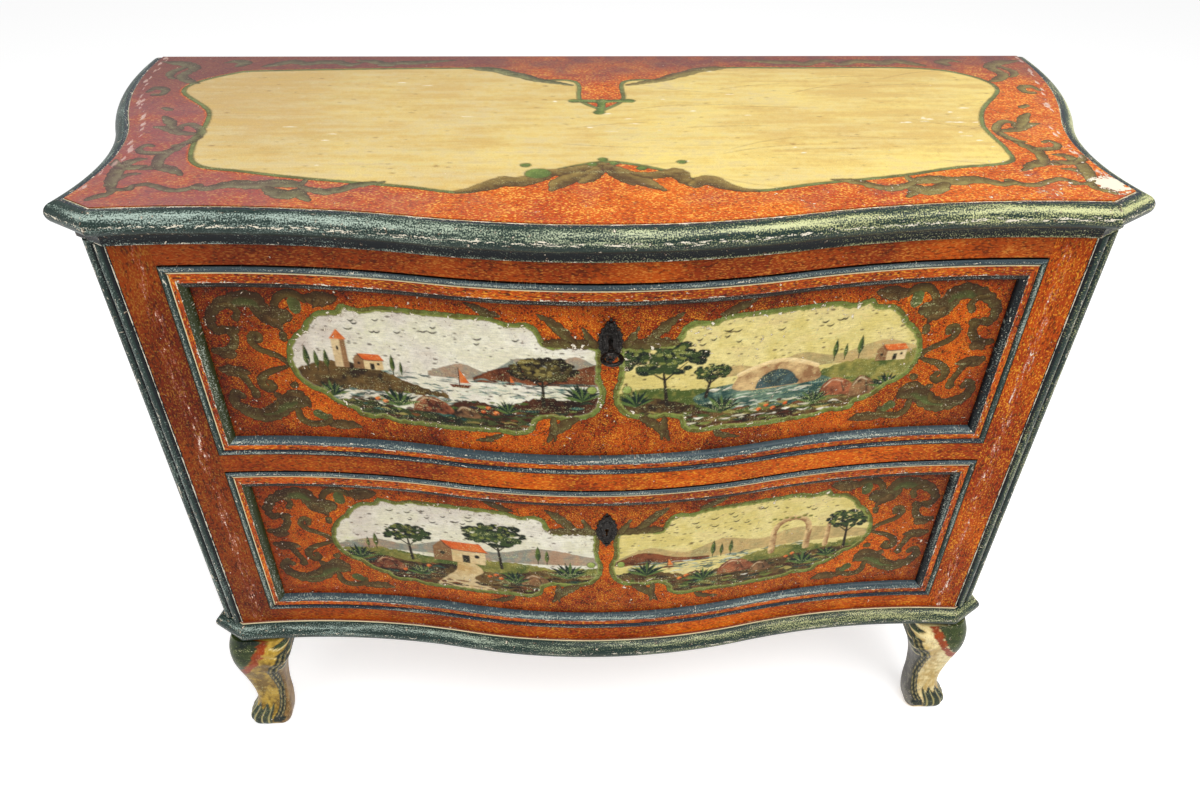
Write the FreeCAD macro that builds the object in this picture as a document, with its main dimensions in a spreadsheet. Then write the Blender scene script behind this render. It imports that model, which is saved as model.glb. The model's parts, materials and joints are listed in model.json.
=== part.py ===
"""Painted two-drawer commode with a serpentine front, built as loose pieces.

The front is one convex arc between two concave ones, the sides are drawn in at a
waist and flare towards canted front corners, and four short cabriole legs carry
the case.  X runs to the right, Z up, and the front faces -Y.  In the plan
functions y is counted inwards from the crown of the front; `plan` moves it to the
part's own frame, whose origin is the middle of the floor under the whole piece.
"""
import FreeCAD, Part
import math
import os

from FreeCAD import Matrix, Placement, Rotation, Vector

SIZES = [
    # plan of the case
    ("case_depth", 476.0),
    ("bulge_radius", 870.0),
    ("hollow_inset", 79.5),
    ("hollow_depth", 43.3),
    ("corner_inset", 17.5),
    ("corner_depth", 59.0),
    ("waist_half", 502.0),
    ("waist_depth", 138.0),
    ("waist_radius", 300.0),
    ("flare_out", 63.0),
    ("wide_depth", 450.0),
    # heights, from the floor up
    ("leg_height", 204.0),
    ("bottom_rail_height", 53.0),
    ("opening_height", 249.0),
    ("mid_rail_height", 25.0),
    ("top_rail_height", 40.0),
    ("top_thickness", 25.0),
    # carcass
    ("stile_width", 39.0),
    ("post_depth", 72.0),
    ("rail_depth", 40.0),
    ("side_thickness", 20.0),
    ("back_thickness", 12.0),
    ("back_gap", 0.8),
    ("back_side_gap", 0.2),
    ("rear_post_width", 40.0),
    ("rear_post_depth", 30.0),
    ("dust_thickness", 10.0),
    ("bottom_thickness", 16.0),
    ("upper_runner_height", 12.5),
    ("lower_runner_height", 26.5),
    ("runner_width", 24.0),
    ("guide_width", 14.0),
    ("guide_height", 15.0),
    ("guide_gap", 1.0),
    ("kicker_width", 20.0),
    ("kicker_gap", 1.5),
    ("block_width", 62.0),
    ("block_depth", 56.0),
    ("nail_radius", 1.6),
    ("nail_length", 30.0),
    ("nail_spread", 120.0),
    # mouldings
    ("top_overhang", 3.5),
    ("torus_radius", 12.5),
    ("torus_out", 8.5),
    ("torus_drop", 1.0),
    ("lip_out", 5.0),
    ("lip_height", 4.0),
    ("cornice_height", 40.0),
    ("base_radius", 14.0),
    ("base_fillet_out", 3.0),
    ("base_height", 31.0),
    ("cant_bead_radius", 6.0),
    ("cant_bead_out", 5.0),
    ("cant_strip_out", 1.5),
    ("cant_margin", 1.0),
    ("cant_edge", 2.0),
    # legs
    ("leg_width", 79.0),
    ("leg_depth", 70.0),
    ("leg_setback", 1.5),
    ("leg_advance", 10.0),
    ("rear_leg_setback", 7.0),
    ("knee_out", 7.0),
    ("ankle_width", 45.0),
    ("ankle_depth", 39.0),
    ("toe_out", 10.0),
    ("sole_width", 38.0),
    ("sole_depth", 34.0),
    # drawers
    ("drawer_side_gap", 1.0),
    ("drawer_top_gap", 2.0),
    ("drawer_foot_gap", 1.0),
    ("panel_recess", 8.0),
    ("front_thickness", 20.0),
    ("drawer_rebate", 60.0),
    ("drawer_side_thickness", 12.0),
    ("drawer_side_drop", 14.0),
    ("drawer_back_gap", 34.0),
    ("drawer_bottom_thickness", 8.0),
    ("drawer_bottom_lift", 6.0),
    ("bead_width", 6.0),
    ("bead_out", 2.0),
    ("band_width", 8.5),
    ("top_band_width", 13.5),
    ("ovolo_width", 7.0),
    ("ovolo_foot", 1.5),
    # lock, escutcheon and key
    ("keyhole_depth", 72.0),
    ("keyhole_radius", 2.7),
    ("keyhole_slot", 2.4),
    ("keyhole_drop", 10.0),
    ("lock_half", 38.0),
    ("lock_start", 20.0),
    ("lock_thickness", 14.0),
    ("lock_plate", 3.0),
    ("lock_tail", 22.0),
    ("lock_chamber_radius", 11.0),
    ("bolt_half", 12.5),
    ("bolt_clearance", 0.5),
    ("bolt_lift", 5.0),
    ("mortise_depth", 10.0),
    ("mortise_clearance", 2.0),
    ("escutcheon_half", 11.0),
    ("escutcheon_rise", 20.0),
    ("escutcheon_plate", 2.0),
    ("escutcheon_bead", 2.4),
    ("escutcheon_relief", 3.0),
    ("finial_radius", 5.0),
    ("pin_radius", 0.9),
    ("pin_head_radius", 1.8),
    ("pin_head_height", 1.2),
    ("pin_length", 10.0),
    ("key_radius", 2.3),
    ("key_collar", 1.6),
    ("key_collar_length", 3.0),
    ("key_reach", 36.0),
    ("key_bow_radius", 12.0),
    ("key_eye_radius", 7.0),
    ("key_bow_thickness", 4.0),
    ("key_bit_reach", 9.0),
    ("key_bit_thickness", 2.0),
    ("pin_clearance", 0.05),
]
BEAD_COUNT = 16
PLANKS = ("lower", "middle", "upper")

# How far a cutting tool runs past the face that it opens.
PAST = 1.0

document = FreeCAD.newDocument("commode")
sheet = document.addObject("Spreadsheet::Sheet", "Sizes")
for row, (alias, value) in enumerate(SIZES, start=1):
    sheet.set(f"A{row}", alias.replace("_", " "))
    sheet.set(f"B{row}", str(value))
    sheet.setAlias(f"B{row}", alias)
document.recompute()


class Dim:
    """A length in millimetres together with the sheet formula that gives it."""

    def __init__(self, mm, formula):
        self.mm = mm
        self.formula = formula

    @staticmethod
    def of(value):
        return value if isinstance(value, Dim) else Dim(float(value), repr(float(value)))

    def __add__(self, other):
        other = Dim.of(other)
        return Dim(self.mm + other.mm, f"({self.formula} + {other.formula})")

    def __sub__(self, other):
        other = Dim.of(other)
        return Dim(self.mm - other.mm, f"({self.formula} - {other.formula})")

    def __mul__(self, other):
        other = Dim.of(other)
        return Dim(self.mm * other.mm, f"({self.formula} * {other.formula})")

    def __truediv__(self, other):
        other = Dim.of(other)
        return Dim(self.mm / other.mm, f"({self.formula} / {other.formula})")

    def __neg__(self):
        return Dim.of(0.0) - self


class Sizes:
    """Every driving dimension of the sheet, by name."""

    def __getattr__(self, alias):
        return Dim(float(sheet.get(alias)), f"Sizes.{alias}")


S = Sizes()

# Half widths of the case, each told from the waist of its sides.
FRONT_HALF = S.waist_half - S.corner_inset
WIDE_HALF = S.waist_half + S.flare_out
HOLLOW_HALF = FRONT_HALF - S.hollow_inset
OPENING_HALF = FRONT_HALF - S.stile_width

# Levels above the floor.
CASE_FOOT = S.leg_height
LOWER_OPENING = CASE_FOOT + S.bottom_rail_height
MID_RAIL = LOWER_OPENING + S.opening_height
UPPER_OPENING = MID_RAIL + S.mid_rail_height
TOP_RAIL = UPPER_OPENING + S.opening_height
TOP_BOARD = TOP_RAIL + S.top_rail_height
TOP_FACE = TOP_BOARD + S.top_thickness
CASE_HEIGHT = TOP_BOARD - CASE_FOOT

# The crown of the front, in the part's frame.
CROWN = (S.key_reach - S.case_depth) / 2.0
INNER_BACK = S.case_depth - S.back_thickness
REAR_POST_FACE = INNER_BACK - S.rear_post_depth
DRAWER_BACK = INNER_BACK - S.drawer_back_gap
DRAWER_HALF = OPENING_HALF - S.drawer_side_gap
FRONT_BACK = S.panel_recess + S.front_thickness
RAIL_BACK = S.hollow_depth + S.rail_depth
DUST_BOARD = UPPER_OPENING - S.upper_runner_height - S.dust_thickness
BOTTOM_BOARD = LOWER_OPENING - S.lower_runner_height - S.bottom_thickness


def plan(x, y):
    """Return a plan point, with y counted inwards from the crown of the front."""
    return Vector(x, y + CROWN.mm, 0.0)


# ---------------------------------------------------------------- plan curves
class FrontCurve:
    """Convex arc between two concave arcs; offsets count outwards."""

    def __init__(self):
        self.bulge = S.bulge_radius.mm
        self.half = HOLLOW_HALF.mm
        self.depth = S.hollow_depth.mm
        chord = self.half ** 2 + self.depth ** 2
        self.hollow = chord / (2.0 * self.depth) - self.bulge

    def join(self, out):
        """Return x where the convex arc meets the concave one."""
        return self.half * (self.bulge + out) / (self.bulge + self.hollow)

    def at(self, x, out=0.0):
        """Return y at x."""
        if abs(x) <= self.join(out):
            return self.bulge - math.sqrt((self.bulge + out) ** 2 - x * x)
        run = abs(x) - self.half
        return self.depth - self.hollow + math.sqrt((self.hollow - out) ** 2 - run * run)

    def point(self, x, out=0.0):
        return plan(x, self.at(x, out))

    def stops(self, start, end, out):
        """Return the x of both ends and of each join between them, in order."""
        joins = [x for x in (-self.join(out), self.join(out)) if min(start, end) < x < max(start, end)]
        return [start] + sorted(joins, reverse=start > end) + [end]


class SideCurve:
    """Concave arc at the waist, then a convex one; measured along y."""

    def __init__(self, side):
        self.side = side
        self.waist = S.waist_half.mm
        self.waist_y = S.waist_depth.mm
        self.wide = WIDE_HALF.mm
        self.wide_y = S.wide_depth.mm
        self.inner = S.waist_radius.mm
        rise = self.wide - self.waist
        run = self.wide_y - self.waist_y
        self.outer = (rise ** 2 + run ** 2) / (2.0 * rise) - self.inner

    def join(self, out):
        """Return y where the two arcs meet."""
        share = (self.inner - out) / (self.inner + self.outer)
        return self.waist_y + (self.wide_y - self.waist_y) * share

    def at(self, y, out=0.0):
        """Return x at y."""
        if y <= self.join(out):
            run = y - self.waist_y
            return self.side * (self.waist + self.inner - math.sqrt((self.inner - out) ** 2 - run * run))
        run = y - self.wide_y
        return self.side * (self.wide - self.outer + math.sqrt((self.outer + out) ** 2 - run * run))

    def point(self, y, out=0.0):
        return plan(self.at(y, out), y)

    def stops(self, start, end, out):
        """Return the y of both ends and of the join between them, in order."""
        joins = [y for y in (self.join(out),) if min(start, end) < y < max(start, end)]
        return [start] + joins + [end]


FRONT = FrontCurve()
SIDES = {1: SideCurve(1), -1: SideCurve(-1)}


class Cant:
    """Straight face that cuts off a front corner of the case."""

    def __init__(self, side):
        self.side = side
        self.near = Vector(side * FRONT_HALF.mm, FRONT.at(FRONT_HALF.mm), 0.0)
        self.far = Vector(SIDES[side].at(S.corner_depth.mm), S.corner_depth.mm, 0.0)
        self.along = (self.far - self.near).normalize()
        self.out = Vector(side * self.along.y, -side * self.along.x, 0.0)
        self.length = (self.far - self.near).Length

    def point(self, run, out=0.0):
        """Return the plan point at a distance along the face and out from it."""
        spot = self.near + self.along * run + self.out * out
        return plan(spot.x, spot.y)

    def meet(self, centre, radius, guess):
        """Return where the line with this offset crosses a circle, nearest to guess."""
        start = guess - centre
        middle = start.dot(self.along)
        root = math.sqrt(middle ** 2 - start.dot(start) + radius ** 2)
        steps = sorted((-middle - root, -middle + root), key=abs)
        return guess + self.along * steps[0]

    def corners(self, out):
        """Return both ends of the face when the whole outline moves out."""
        front_centre = Vector(self.side * FRONT.half, FRONT.depth - FRONT.hollow, 0.0)
        curve = SIDES[self.side]
        side_centre = Vector(self.side * (curve.waist + curve.inner), curve.waist_y, 0.0)
        near = self.meet(front_centre, FRONT.hollow - out, self.near + self.out * out)
        far = self.meet(side_centre, curve.inner - out, self.far + self.out * out)
        return near, far

    def mitres(self):
        """Return the direction of the joint line at the near and the far end."""
        step = 0.01
        near_x = abs(self.near.x)
        front = Vector(step * self.side, FRONT.at(near_x) - FRONT.at(near_x - step), 0.0).normalize()
        curve = SIDES[self.side]
        flank = Vector(curve.at(self.far.y + step) - curve.at(self.far.y), step, 0.0).normalize()
        near = (front + self.along).normalize()
        far = (self.along + flank).normalize()
        return near, far


CANTS = {1: Cant(1), -1: Cant(-1)}


# ------------------------------------------------------------ drawing helpers
class Outline:
    """Closed sketch outline, drawn point after point."""

    def __init__(self, start):
        self.first = start
        self.last = start
        self.curves = []

    def line(self, *points):
        for point in points:
            if (point - self.last).Length > 1e-6:
                self.curves.append(Part.LineSegment(self.last, point))
                self.last = point
        return self

    def arc(self, middle, end):
        self.curves.append(Part.Arc(self.last, middle, end))
        self.last = end
        return self

    def follow(self, curve, start, end, out=0.0):
        """Run along a plan curve, one arc for each of its stretches."""
        self.line(curve.point(start, out))
        stops = curve.stops(start, end, out)
        for begin, stop in zip(stops, stops[1:]):
            self.arc(curve.point((begin + stop) / 2.0, out), curve.point(stop, out))
        return self

    def close(self):
        self.line(self.first)
        return self.curves


def bind(target, name, dim):
    """Tie one property to its sheet formula."""
    target.setExpression(name, Dim.of(dim).formula)


def origin_plane(body, role="XY_Plane"):
    return next(item for item in body.Origin.OriginFeatures if item.Role == role)


def draw(body, name, curves, place=None, level=None):
    """Add a sketch to a body, on its ground plane moved to a place or a level."""
    sketch = body.newObject("Sketcher::SketchObject", name)
    sketch.AttachmentSupport = [(origin_plane(body), "")]
    sketch.MapMode = "FlatFace"
    if place is not None:
        sketch.AttachmentOffset = place
    if level is not None:
        bind(sketch, "AttachmentOffset.Base.z", level)
    sketch.addGeometry(curves, False)
    document.recompute()
    return sketch


def upright(point, out):
    """Return the place of a section sketch: its x points out and its y points up."""
    up = Vector(0.0, 0.0, 1.0)
    across = out.cross(up)
    turn = Matrix(out.x, 0.0, across.x, 0.0, out.y, 0.0, across.y, 0.0, out.z, 1.0, across.z, 0.0)
    return Placement(point, Placement(turn).Rotation)


def new_body(label):
    body = document.addObject("PartDesign::Body", label)
    body.Label = label
    return body


def prism(label, curves, level, height):
    """Pad a plan outline upwards from a level."""
    body = new_body(label)
    pad = body.newObject("PartDesign::Pad", "pad")
    pad.Profile = draw(body, "outline", curves, level=level)
    bind(pad, "Length", height)
    body.Tip = pad
    document.recompute()
    return body


def trim(body, curves, place=None):
    """Cut an outline right through a body, on both sides of its sketch."""
    before = body.Shape.Volume
    pocket = body.newObject("PartDesign::Pocket", "trim")
    pocket.Profile = draw(body, "trim_outline", curves, place=place)
    pocket.Type = "ThroughAll"
    pocket.Midplane = True
    body.Tip = pocket
    document.recompute()
    if not body.Shape.Volume < before:
        raise ValueError(f"{body.Label}: a trim removed nothing")


def polygon(points):
    return Outline(points[0]).line(*points[1:]).close()


def box(label, corner, size):
    """Make a board from its low corner, y from the crown, and its three sizes."""
    board = document.addObject("Part::Box", label)
    board.Label = label
    for name, length in zip(("Length", "Width", "Height"), size):
        bind(board, name, length)
    spot = (Dim.of(corner[0]), Dim.of(corner[1]) + CROWN, Dim.of(corner[2]))
    for name, length in zip("xyz", spot):
        bind(board, f"Placement.Base.{name}", length)
    return board


def rod(label, spot, radius, length):
    """Make a round rod that runs inwards along Y from a spot."""
    cylinder = document.addObject("Part::Cylinder", label)
    cylinder.Label = label
    bind(cylinder, "Radius", radius)
    bind(cylinder, "Height", length)
    cylinder.Placement = Placement(Vector(), Rotation(Vector(1, 0, 0), -90))
    place = (Dim.of(spot[0]), Dim.of(spot[1]) + CROWN, Dim.of(spot[2]))
    for name, value_at in zip("xyz", place):
        bind(cylinder, f"Placement.Base.{name}", value_at)
    return cylinder


def fused(label, pieces):
    fuse = document.addObject("Part::MultiFuse", label)
    fuse.Label = label
    fuse.Shapes = pieces
    document.recompute()
    return fuse


def cut(label, blank, tools):
    """Cut tools out of a blank and give the result the node's label."""
    blank.Label = f"{label}_blank"
    result = document.addObject("Part::Cut", label)
    result.Base = blank
    result.Tool = tools[0] if len(tools) == 1 else fused(f"{label}_tools", tools)
    result.Label = label
    document.recompute()
    if not result.Shape.Volume < blank.Shape.Volume:
        raise ValueError(f"{label}: a cut removed nothing")
    return result


def group(label, pieces):
    """Hold several loose solids in one node."""
    compound = document.addObject("Part::Compound", label)
    compound.Label = label
    compound.Links = pieces
    return compound


nodes = {}


def keep(*pieces):
    for piece in pieces:
        nodes[piece.Label] = piece


def hand(side):
    return "right" if side > 0 else "left"


# -------------------------------------------------------------------- carcass
def curved_rail(label, level, height):
    """Rail between the front posts that follows the serpentine on both faces."""
    half = OPENING_HALF.mm
    back = -S.rail_depth.mm
    outline = Outline(FRONT.point(-half)).follow(FRONT, -half, half).follow(FRONT, half, -half, back)
    return prism(label, outline.close(), level, height)


def mortise(level):
    """Tool for the hole that a lock bolt shoots into, above a drawer."""
    half = S.bolt_half + S.mortise_clearance
    start = S.lock_start
    return box("mortise", (-half, start, level), (half * 2.0, S.lock_thickness, S.mortise_depth))


def rails():
    top = cut("top_rail", curved_rail("top_rail", TOP_RAIL, S.top_rail_height), [mortise(TOP_RAIL)])
    mid = cut("mid_rail", curved_rail("mid_rail", MID_RAIL, S.mid_rail_height), [mortise(MID_RAIL)])
    keep(top, mid, curved_rail("bottom_rail", CASE_FOOT, S.bottom_rail_height))


def front_post(side):
    """Stile with the canted corner, from the case foot to the top board."""
    inner = side * OPENING_HALF.mm
    depth = S.post_depth.mm
    cant = CANTS[side]
    outline = Outline(plan(inner, depth)).line(FRONT.point(inner))
    outline.follow(FRONT, inner, side * FRONT_HALF.mm)
    outline.line(cant.point(cant.length))
    outline.follow(SIDES[side], S.corner_depth.mm, depth)
    return prism(f"front_post_{hand(side)}", outline.close(), CASE_FOOT, CASE_HEIGHT)


def corner_bead(side):
    """Strip with two half-round beads that runs down the canted corner."""
    cant = CANTS[side]
    radius = S.cant_bead_radius.mm
    strip = S.cant_strip_out.mm
    peak = strip + S.cant_bead_out.mm
    margin = S.cant_margin.mm
    last = cant.length - margin
    edge = margin + S.cant_edge.mm
    outline = Outline(cant.point(margin)).line(cant.point(margin, strip), cant.point(edge, strip))
    outline.arc(cant.point(edge + radius, peak), cant.point(edge + 2.0 * radius, strip))
    outline.line(cant.point(cant.length - edge - 2.0 * radius, strip))
    outline.arc(cant.point(cant.length - edge - radius, peak), cant.point(cant.length - edge, strip))
    outline.line(cant.point(last, strip), cant.point(last))
    foot = CASE_FOOT + S.base_height
    height = TOP_FACE - S.cornice_height - foot
    return prism(f"corner_bead_{hand(side)}", outline.close(), foot, height)


def side_panel(side):
    curve = SIDES[side]
    start = S.post_depth.mm
    end = S.case_depth.mm
    inner = -S.side_thickness.mm
    outline = Outline(curve.point(start)).follow(curve, start, end).follow(curve, end, start, inner)
    return prism(f"side_panel_{hand(side)}", outline.close(), CASE_FOOT, CASE_HEIGHT)


def rear_post_inner():
    """Return how far out the inner face of a rear post stands."""
    return SIDES[1].at(INNER_BACK.mm, -S.side_thickness.mm) - S.rear_post_width.mm


def rear_post(side):
    curve = SIDES[side]
    inner = side * rear_post_inner()
    front = REAR_POST_FACE.mm
    back = INNER_BACK.mm
    outline = Outline(plan(inner, back)).line(plan(inner, front))
    outline.follow(curve, front, back, -S.side_thickness.mm)
    return prism(f"rear_post_{hand(side)}", outline.close(), CASE_FOOT, CASE_HEIGHT)


def shelf(label, level, thickness):
    """Board that fills the case behind a rail and is notched round the rear posts."""
    half = OPENING_HALF.mm
    rail_back = -S.rail_depth.mm
    ledge = FRONT.at(half, rail_back)
    inner = -S.side_thickness.mm
    face = REAR_POST_FACE.mm
    back = INNER_BACK.mm
    post = rear_post_inner()
    outline = Outline(FRONT.point(-half, rail_back)).follow(FRONT, -half, half, rail_back)
    outline.follow(SIDES[1], ledge, face, inner)
    outline.line(plan(post, face), plan(post, back), plan(-post, back), plan(-post, face))
    outline.follow(SIDES[-1], face, ledge, inner)
    return prism(label, outline.close(), level, thickness)


def runner(label, side, opening, height):
    """Strip under a drawer side, with the guide that keeps the drawer straight."""
    inner = DRAWER_HALF.mm - S.runner_width.mm
    guide = DRAWER_HALF.mm + S.guide_gap.mm
    outer = guide + S.guide_width.mm
    tread = opening.mm
    foot = tread - height.mm
    crest = tread + S.guide_height.mm
    section = [(inner, foot), (outer, foot), (outer, crest), (guide, crest), (guide, tread), (inner, tread)]
    body = new_body(label)
    pad = body.newObject("PartDesign::Pad", "pad")
    place = upright(plan(0.0, RAIL_BACK.mm), Vector(side, 0.0, 0.0))
    pad.Profile = draw(body, "section", polygon([Vector(out, up, 0.0) for out, up in section]), place=place)
    bind(pad, "Length", REAR_POST_FACE - RAIL_BACK)
    pad.Reversed = side > 0
    body.Tip = pad
    document.recompute()
    return body


def kicker(side):
    """Strip above the upper drawer that stops it tipping when it is open."""
    low = -DRAWER_HALF if side < 0 else DRAWER_HALF - S.kicker_width
    foot = TOP_RAIL - S.drawer_top_gap - S.drawer_side_drop + S.kicker_gap
    size = (S.kicker_width, REAR_POST_FACE - RAIL_BACK, TOP_BOARD - foot)
    return box(f"kicker_{hand(side)}", (low, RAIL_BACK, foot), size)


def nail_spots():
    """Return the spots where the nails start, as pairs of plank number and place."""
    across = Dim.of(rear_post_inner()) + S.rear_post_width / 2.0
    pitch = CASE_HEIGHT / len(PLANKS)
    spots = []
    for number in range(len(PLANKS)):
        middle = CASE_FOOT + pitch * (number + 0.5)
        for side in (1, -1):
            for up in (-0.5, 0.5):
                spot = (across * side, S.case_depth - S.nail_length, middle + S.nail_spread * up)
                spots.append((number, spot))
    return spots


def nail_holes(label, spots):
    return [rod(label, spot, S.nail_radius + S.pin_clearance, S.nail_length + PAST) for spot in spots]


def back_boards():
    """Three planks between the side panels, nailed to the rear posts."""
    half = Dim.of(SIDES[1].at(S.case_depth.mm, -S.side_thickness.mm)) - S.back_side_gap
    pitch = CASE_HEIGHT / len(PLANKS)
    spots = nail_spots()
    for number, name in enumerate(PLANKS):
        last = number == len(PLANKS) - 1
        height = pitch if last else pitch - S.back_gap
        level = CASE_FOOT + pitch * number
        plank = box("plank", (-half, INNER_BACK, level), (half * 2.0, S.back_thickness, height))
        own = [spot for row, spot in spots if row == number]
        keep(cut(f"back_board_{name}", plank, nail_holes("nail_hole", own)))
    keep(group("back_board_nails", [rod("nail", spot, S.nail_radius, S.nail_length) for row, spot in spots]))


def rear_posts():
    spots = nail_spots()
    for side in (1, -1):
        own = [spot for row, spot in spots if spot[0].mm * side > 0]
        keep(cut(f"rear_post_{hand(side)}", rear_post(side), nail_holes("post_hole", own)))


def top_board():
    """Top with the same plan as the case, a little larger all round but the back."""
    out = S.top_overhang.mm
    near, far = CANTS[1].corners(out)
    left_near, left_far = CANTS[-1].corners(out)
    back = S.case_depth.mm
    outline = Outline(plan(left_near.x, left_near.y)).follow(FRONT, left_near.x, near.x, out)
    outline.line(plan(far.x, far.y)).follow(SIDES[1], far.y, back, out)
    outline.line(SIDES[-1].point(back, out)).follow(SIDES[-1], back, left_far.y, out)
    return prism("top_board", outline.close(), TOP_BOARD, S.top_thickness)


# ------------------------------------------------------------------ mouldings
def cornice_section():
    """Lip, cove and torus round the edge of the top."""
    top = TOP_FACE.mm
    foot = top - S.cornice_height.mm
    seat = TOP_BOARD.mm
    edge = S.top_overhang.mm
    lip = S.lip_out.mm
    shoulder = foot + S.lip_height.mm
    centre = S.torus_out.mm
    radius = S.torus_radius.mm
    crest = top - S.torus_drop.mm
    throat = crest - 2.0 * radius
    outline = Outline(Vector(0.0, foot, 0.0)).line(Vector(lip, foot, 0.0), Vector(lip, shoulder, 0.0))
    outline.arc(Vector(lip + 0.25 * (centre - lip), shoulder + 0.6 * (throat - shoulder), 0.0),
                Vector(centre, throat, 0.0))
    outline.arc(Vector(centre + radius, crest - radius, 0.0), Vector(centre, crest, 0.0))
    outline.line(Vector(edge, crest, 0.0), Vector(edge, seat, 0.0), Vector(0.0, seat, 0.0))
    return outline.close()


def base_section():
    """Half-round with a small fillet above it, round the foot of the case."""
    foot = CASE_FOOT.mm
    radius = S.base_radius.mm
    fillet = S.base_fillet_out.mm
    shoulder = foot + radius + math.sqrt(radius ** 2 - fillet ** 2)
    crest = foot + S.base_height.mm
    outline = Outline(Vector(0.0, foot, 0.0))
    outline.arc(Vector(radius, foot + radius, 0.0), Vector(fillet, shoulder, 0.0))
    outline.line(Vector(fillet, crest, 0.0), Vector(0.0, crest, 0.0))
    return outline.close()


def sweep(body, section, curve, start, end):
    """Run a section along a plan curve from one stop to another."""
    curves = Outline(curve.point(start)).follow(curve, start, end).curves
    spine = draw(body, "spine", curves)
    pipe = body.newObject("PartDesign::AdditivePipe", "pipe")
    pipe.Profile = section
    pipe.Spine = (spine, [f"Edge{number + 1}" for number in range(len(curves))])
    body.Tip = pipe
    document.recompute()
    return pipe


def mirror_sideways(body, feature):
    """Repeat a feature on the left of the middle plane."""
    mirror = body.newObject("PartDesign::Mirrored", "mirror")
    mirror.Originals = [feature]
    mirror.MirrorPlane = (origin_plane(body, "YZ_Plane"), [""])
    body.Tip = mirror
    document.recompute()


def beyond(point, along, reach=400.0):
    """Return a large square that starts at a joint line and lies on its far side."""
    across = Vector(-along.y, along.x, 0.0)
    corners = [point - across * reach, point + across * reach]
    corners += [corners[1] + along * reach, corners[0] + along * reach]
    return polygon([plan(corner.x, corner.y) for corner in corners])


def front_moulding(label, section):
    body = new_body(label)
    profile = draw(body, "section", section, place=upright(plan(0.0, 0.0), Vector(0.0, -1.0, 0.0)))
    reach = FRONT_HALF.mm + 3.0 * S.torus_radius.mm
    mirror_sideways(body, sweep(body, profile, FRONT, 0.0, reach))
    for side in (1, -1):
        cant = CANTS[side]
        trim(body, beyond(cant.near, cant.mitres()[0]))
    return body


def cant_moulding(label, section, side):
    cant = CANTS[side]
    body = new_body(label)
    reach = 3.0 * S.torus_radius.mm
    start = cant.point(-reach)
    pad = body.newObject("PartDesign::Pad", "pad")
    pad.Profile = draw(body, "section", section, place=upright(start, cant.out))
    pad.Length = cant.length + 2.0 * reach
    pad.Reversed = side > 0
    body.Tip = pad
    document.recompute()
    near, far = cant.mitres()
    trim(body, beyond(cant.near, -near))
    trim(body, beyond(cant.far, far))
    return body


def side_moulding(label, section, side):
    curve = SIDES[side]
    body = new_body(label)
    place = upright(curve.point(curve.waist_y), Vector(side, 0.0, 0.0))
    profile = draw(body, "section", section, place=place)
    sweep(body, profile, curve, curve.waist_y, S.corner_depth.mm - 3.0 * S.torus_radius.mm)
    sweep(body, profile, curve, curve.waist_y, S.case_depth.mm + S.torus_radius.mm)
    trim(body, beyond(CANTS[side].far, -CANTS[side].mitres()[1]))
    trim(body, beyond(Vector(side * WIDE_HALF.mm, S.case_depth.mm, 0.0), Vector(0.0, 1.0, 0.0)))
    return body


def mouldings():
    for name, section in (("top", cornice_section), ("base", base_section)):
        keep(front_moulding(f"{name}_moulding_front", section()))
        for side in (1, -1):
            keep(cant_moulding(f"{name}_moulding_corner_{hand(side)}", section(), side))
            keep(side_moulding(f"{name}_moulding_side_{hand(side)}", section(), side))


# ----------------------------------------------------------------------- legs
def rounded_block(low, high, share=0.32):
    """Return a rectangle with round corners; share is the radius over the short side."""
    half = (high - low) / 2.0
    centre = (high + low) / 2.0
    radius = 2.0 * share * min(half.x, half.y)
    bow = radius * (1.0 - math.sqrt(0.5))
    outline = None
    for x, y, first in ((1, 1, True), (-1, 1, False), (-1, -1, True), (1, -1, False)):
        beside = Vector(x * half.x, y * (half.y - radius), 0.0)
        above = Vector(x * (half.x - radius), y * half.y, 0.0)
        begin, end = (beside, above) if first else (above, beside)
        middle = Vector(x * (half.x - bow), y * (half.y - bow), 0.0)
        outline = outline.line(centre + begin) if outline else Outline(centre + begin)
        outline.arc(centre + middle, centre + end)
    return outline.close()


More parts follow.
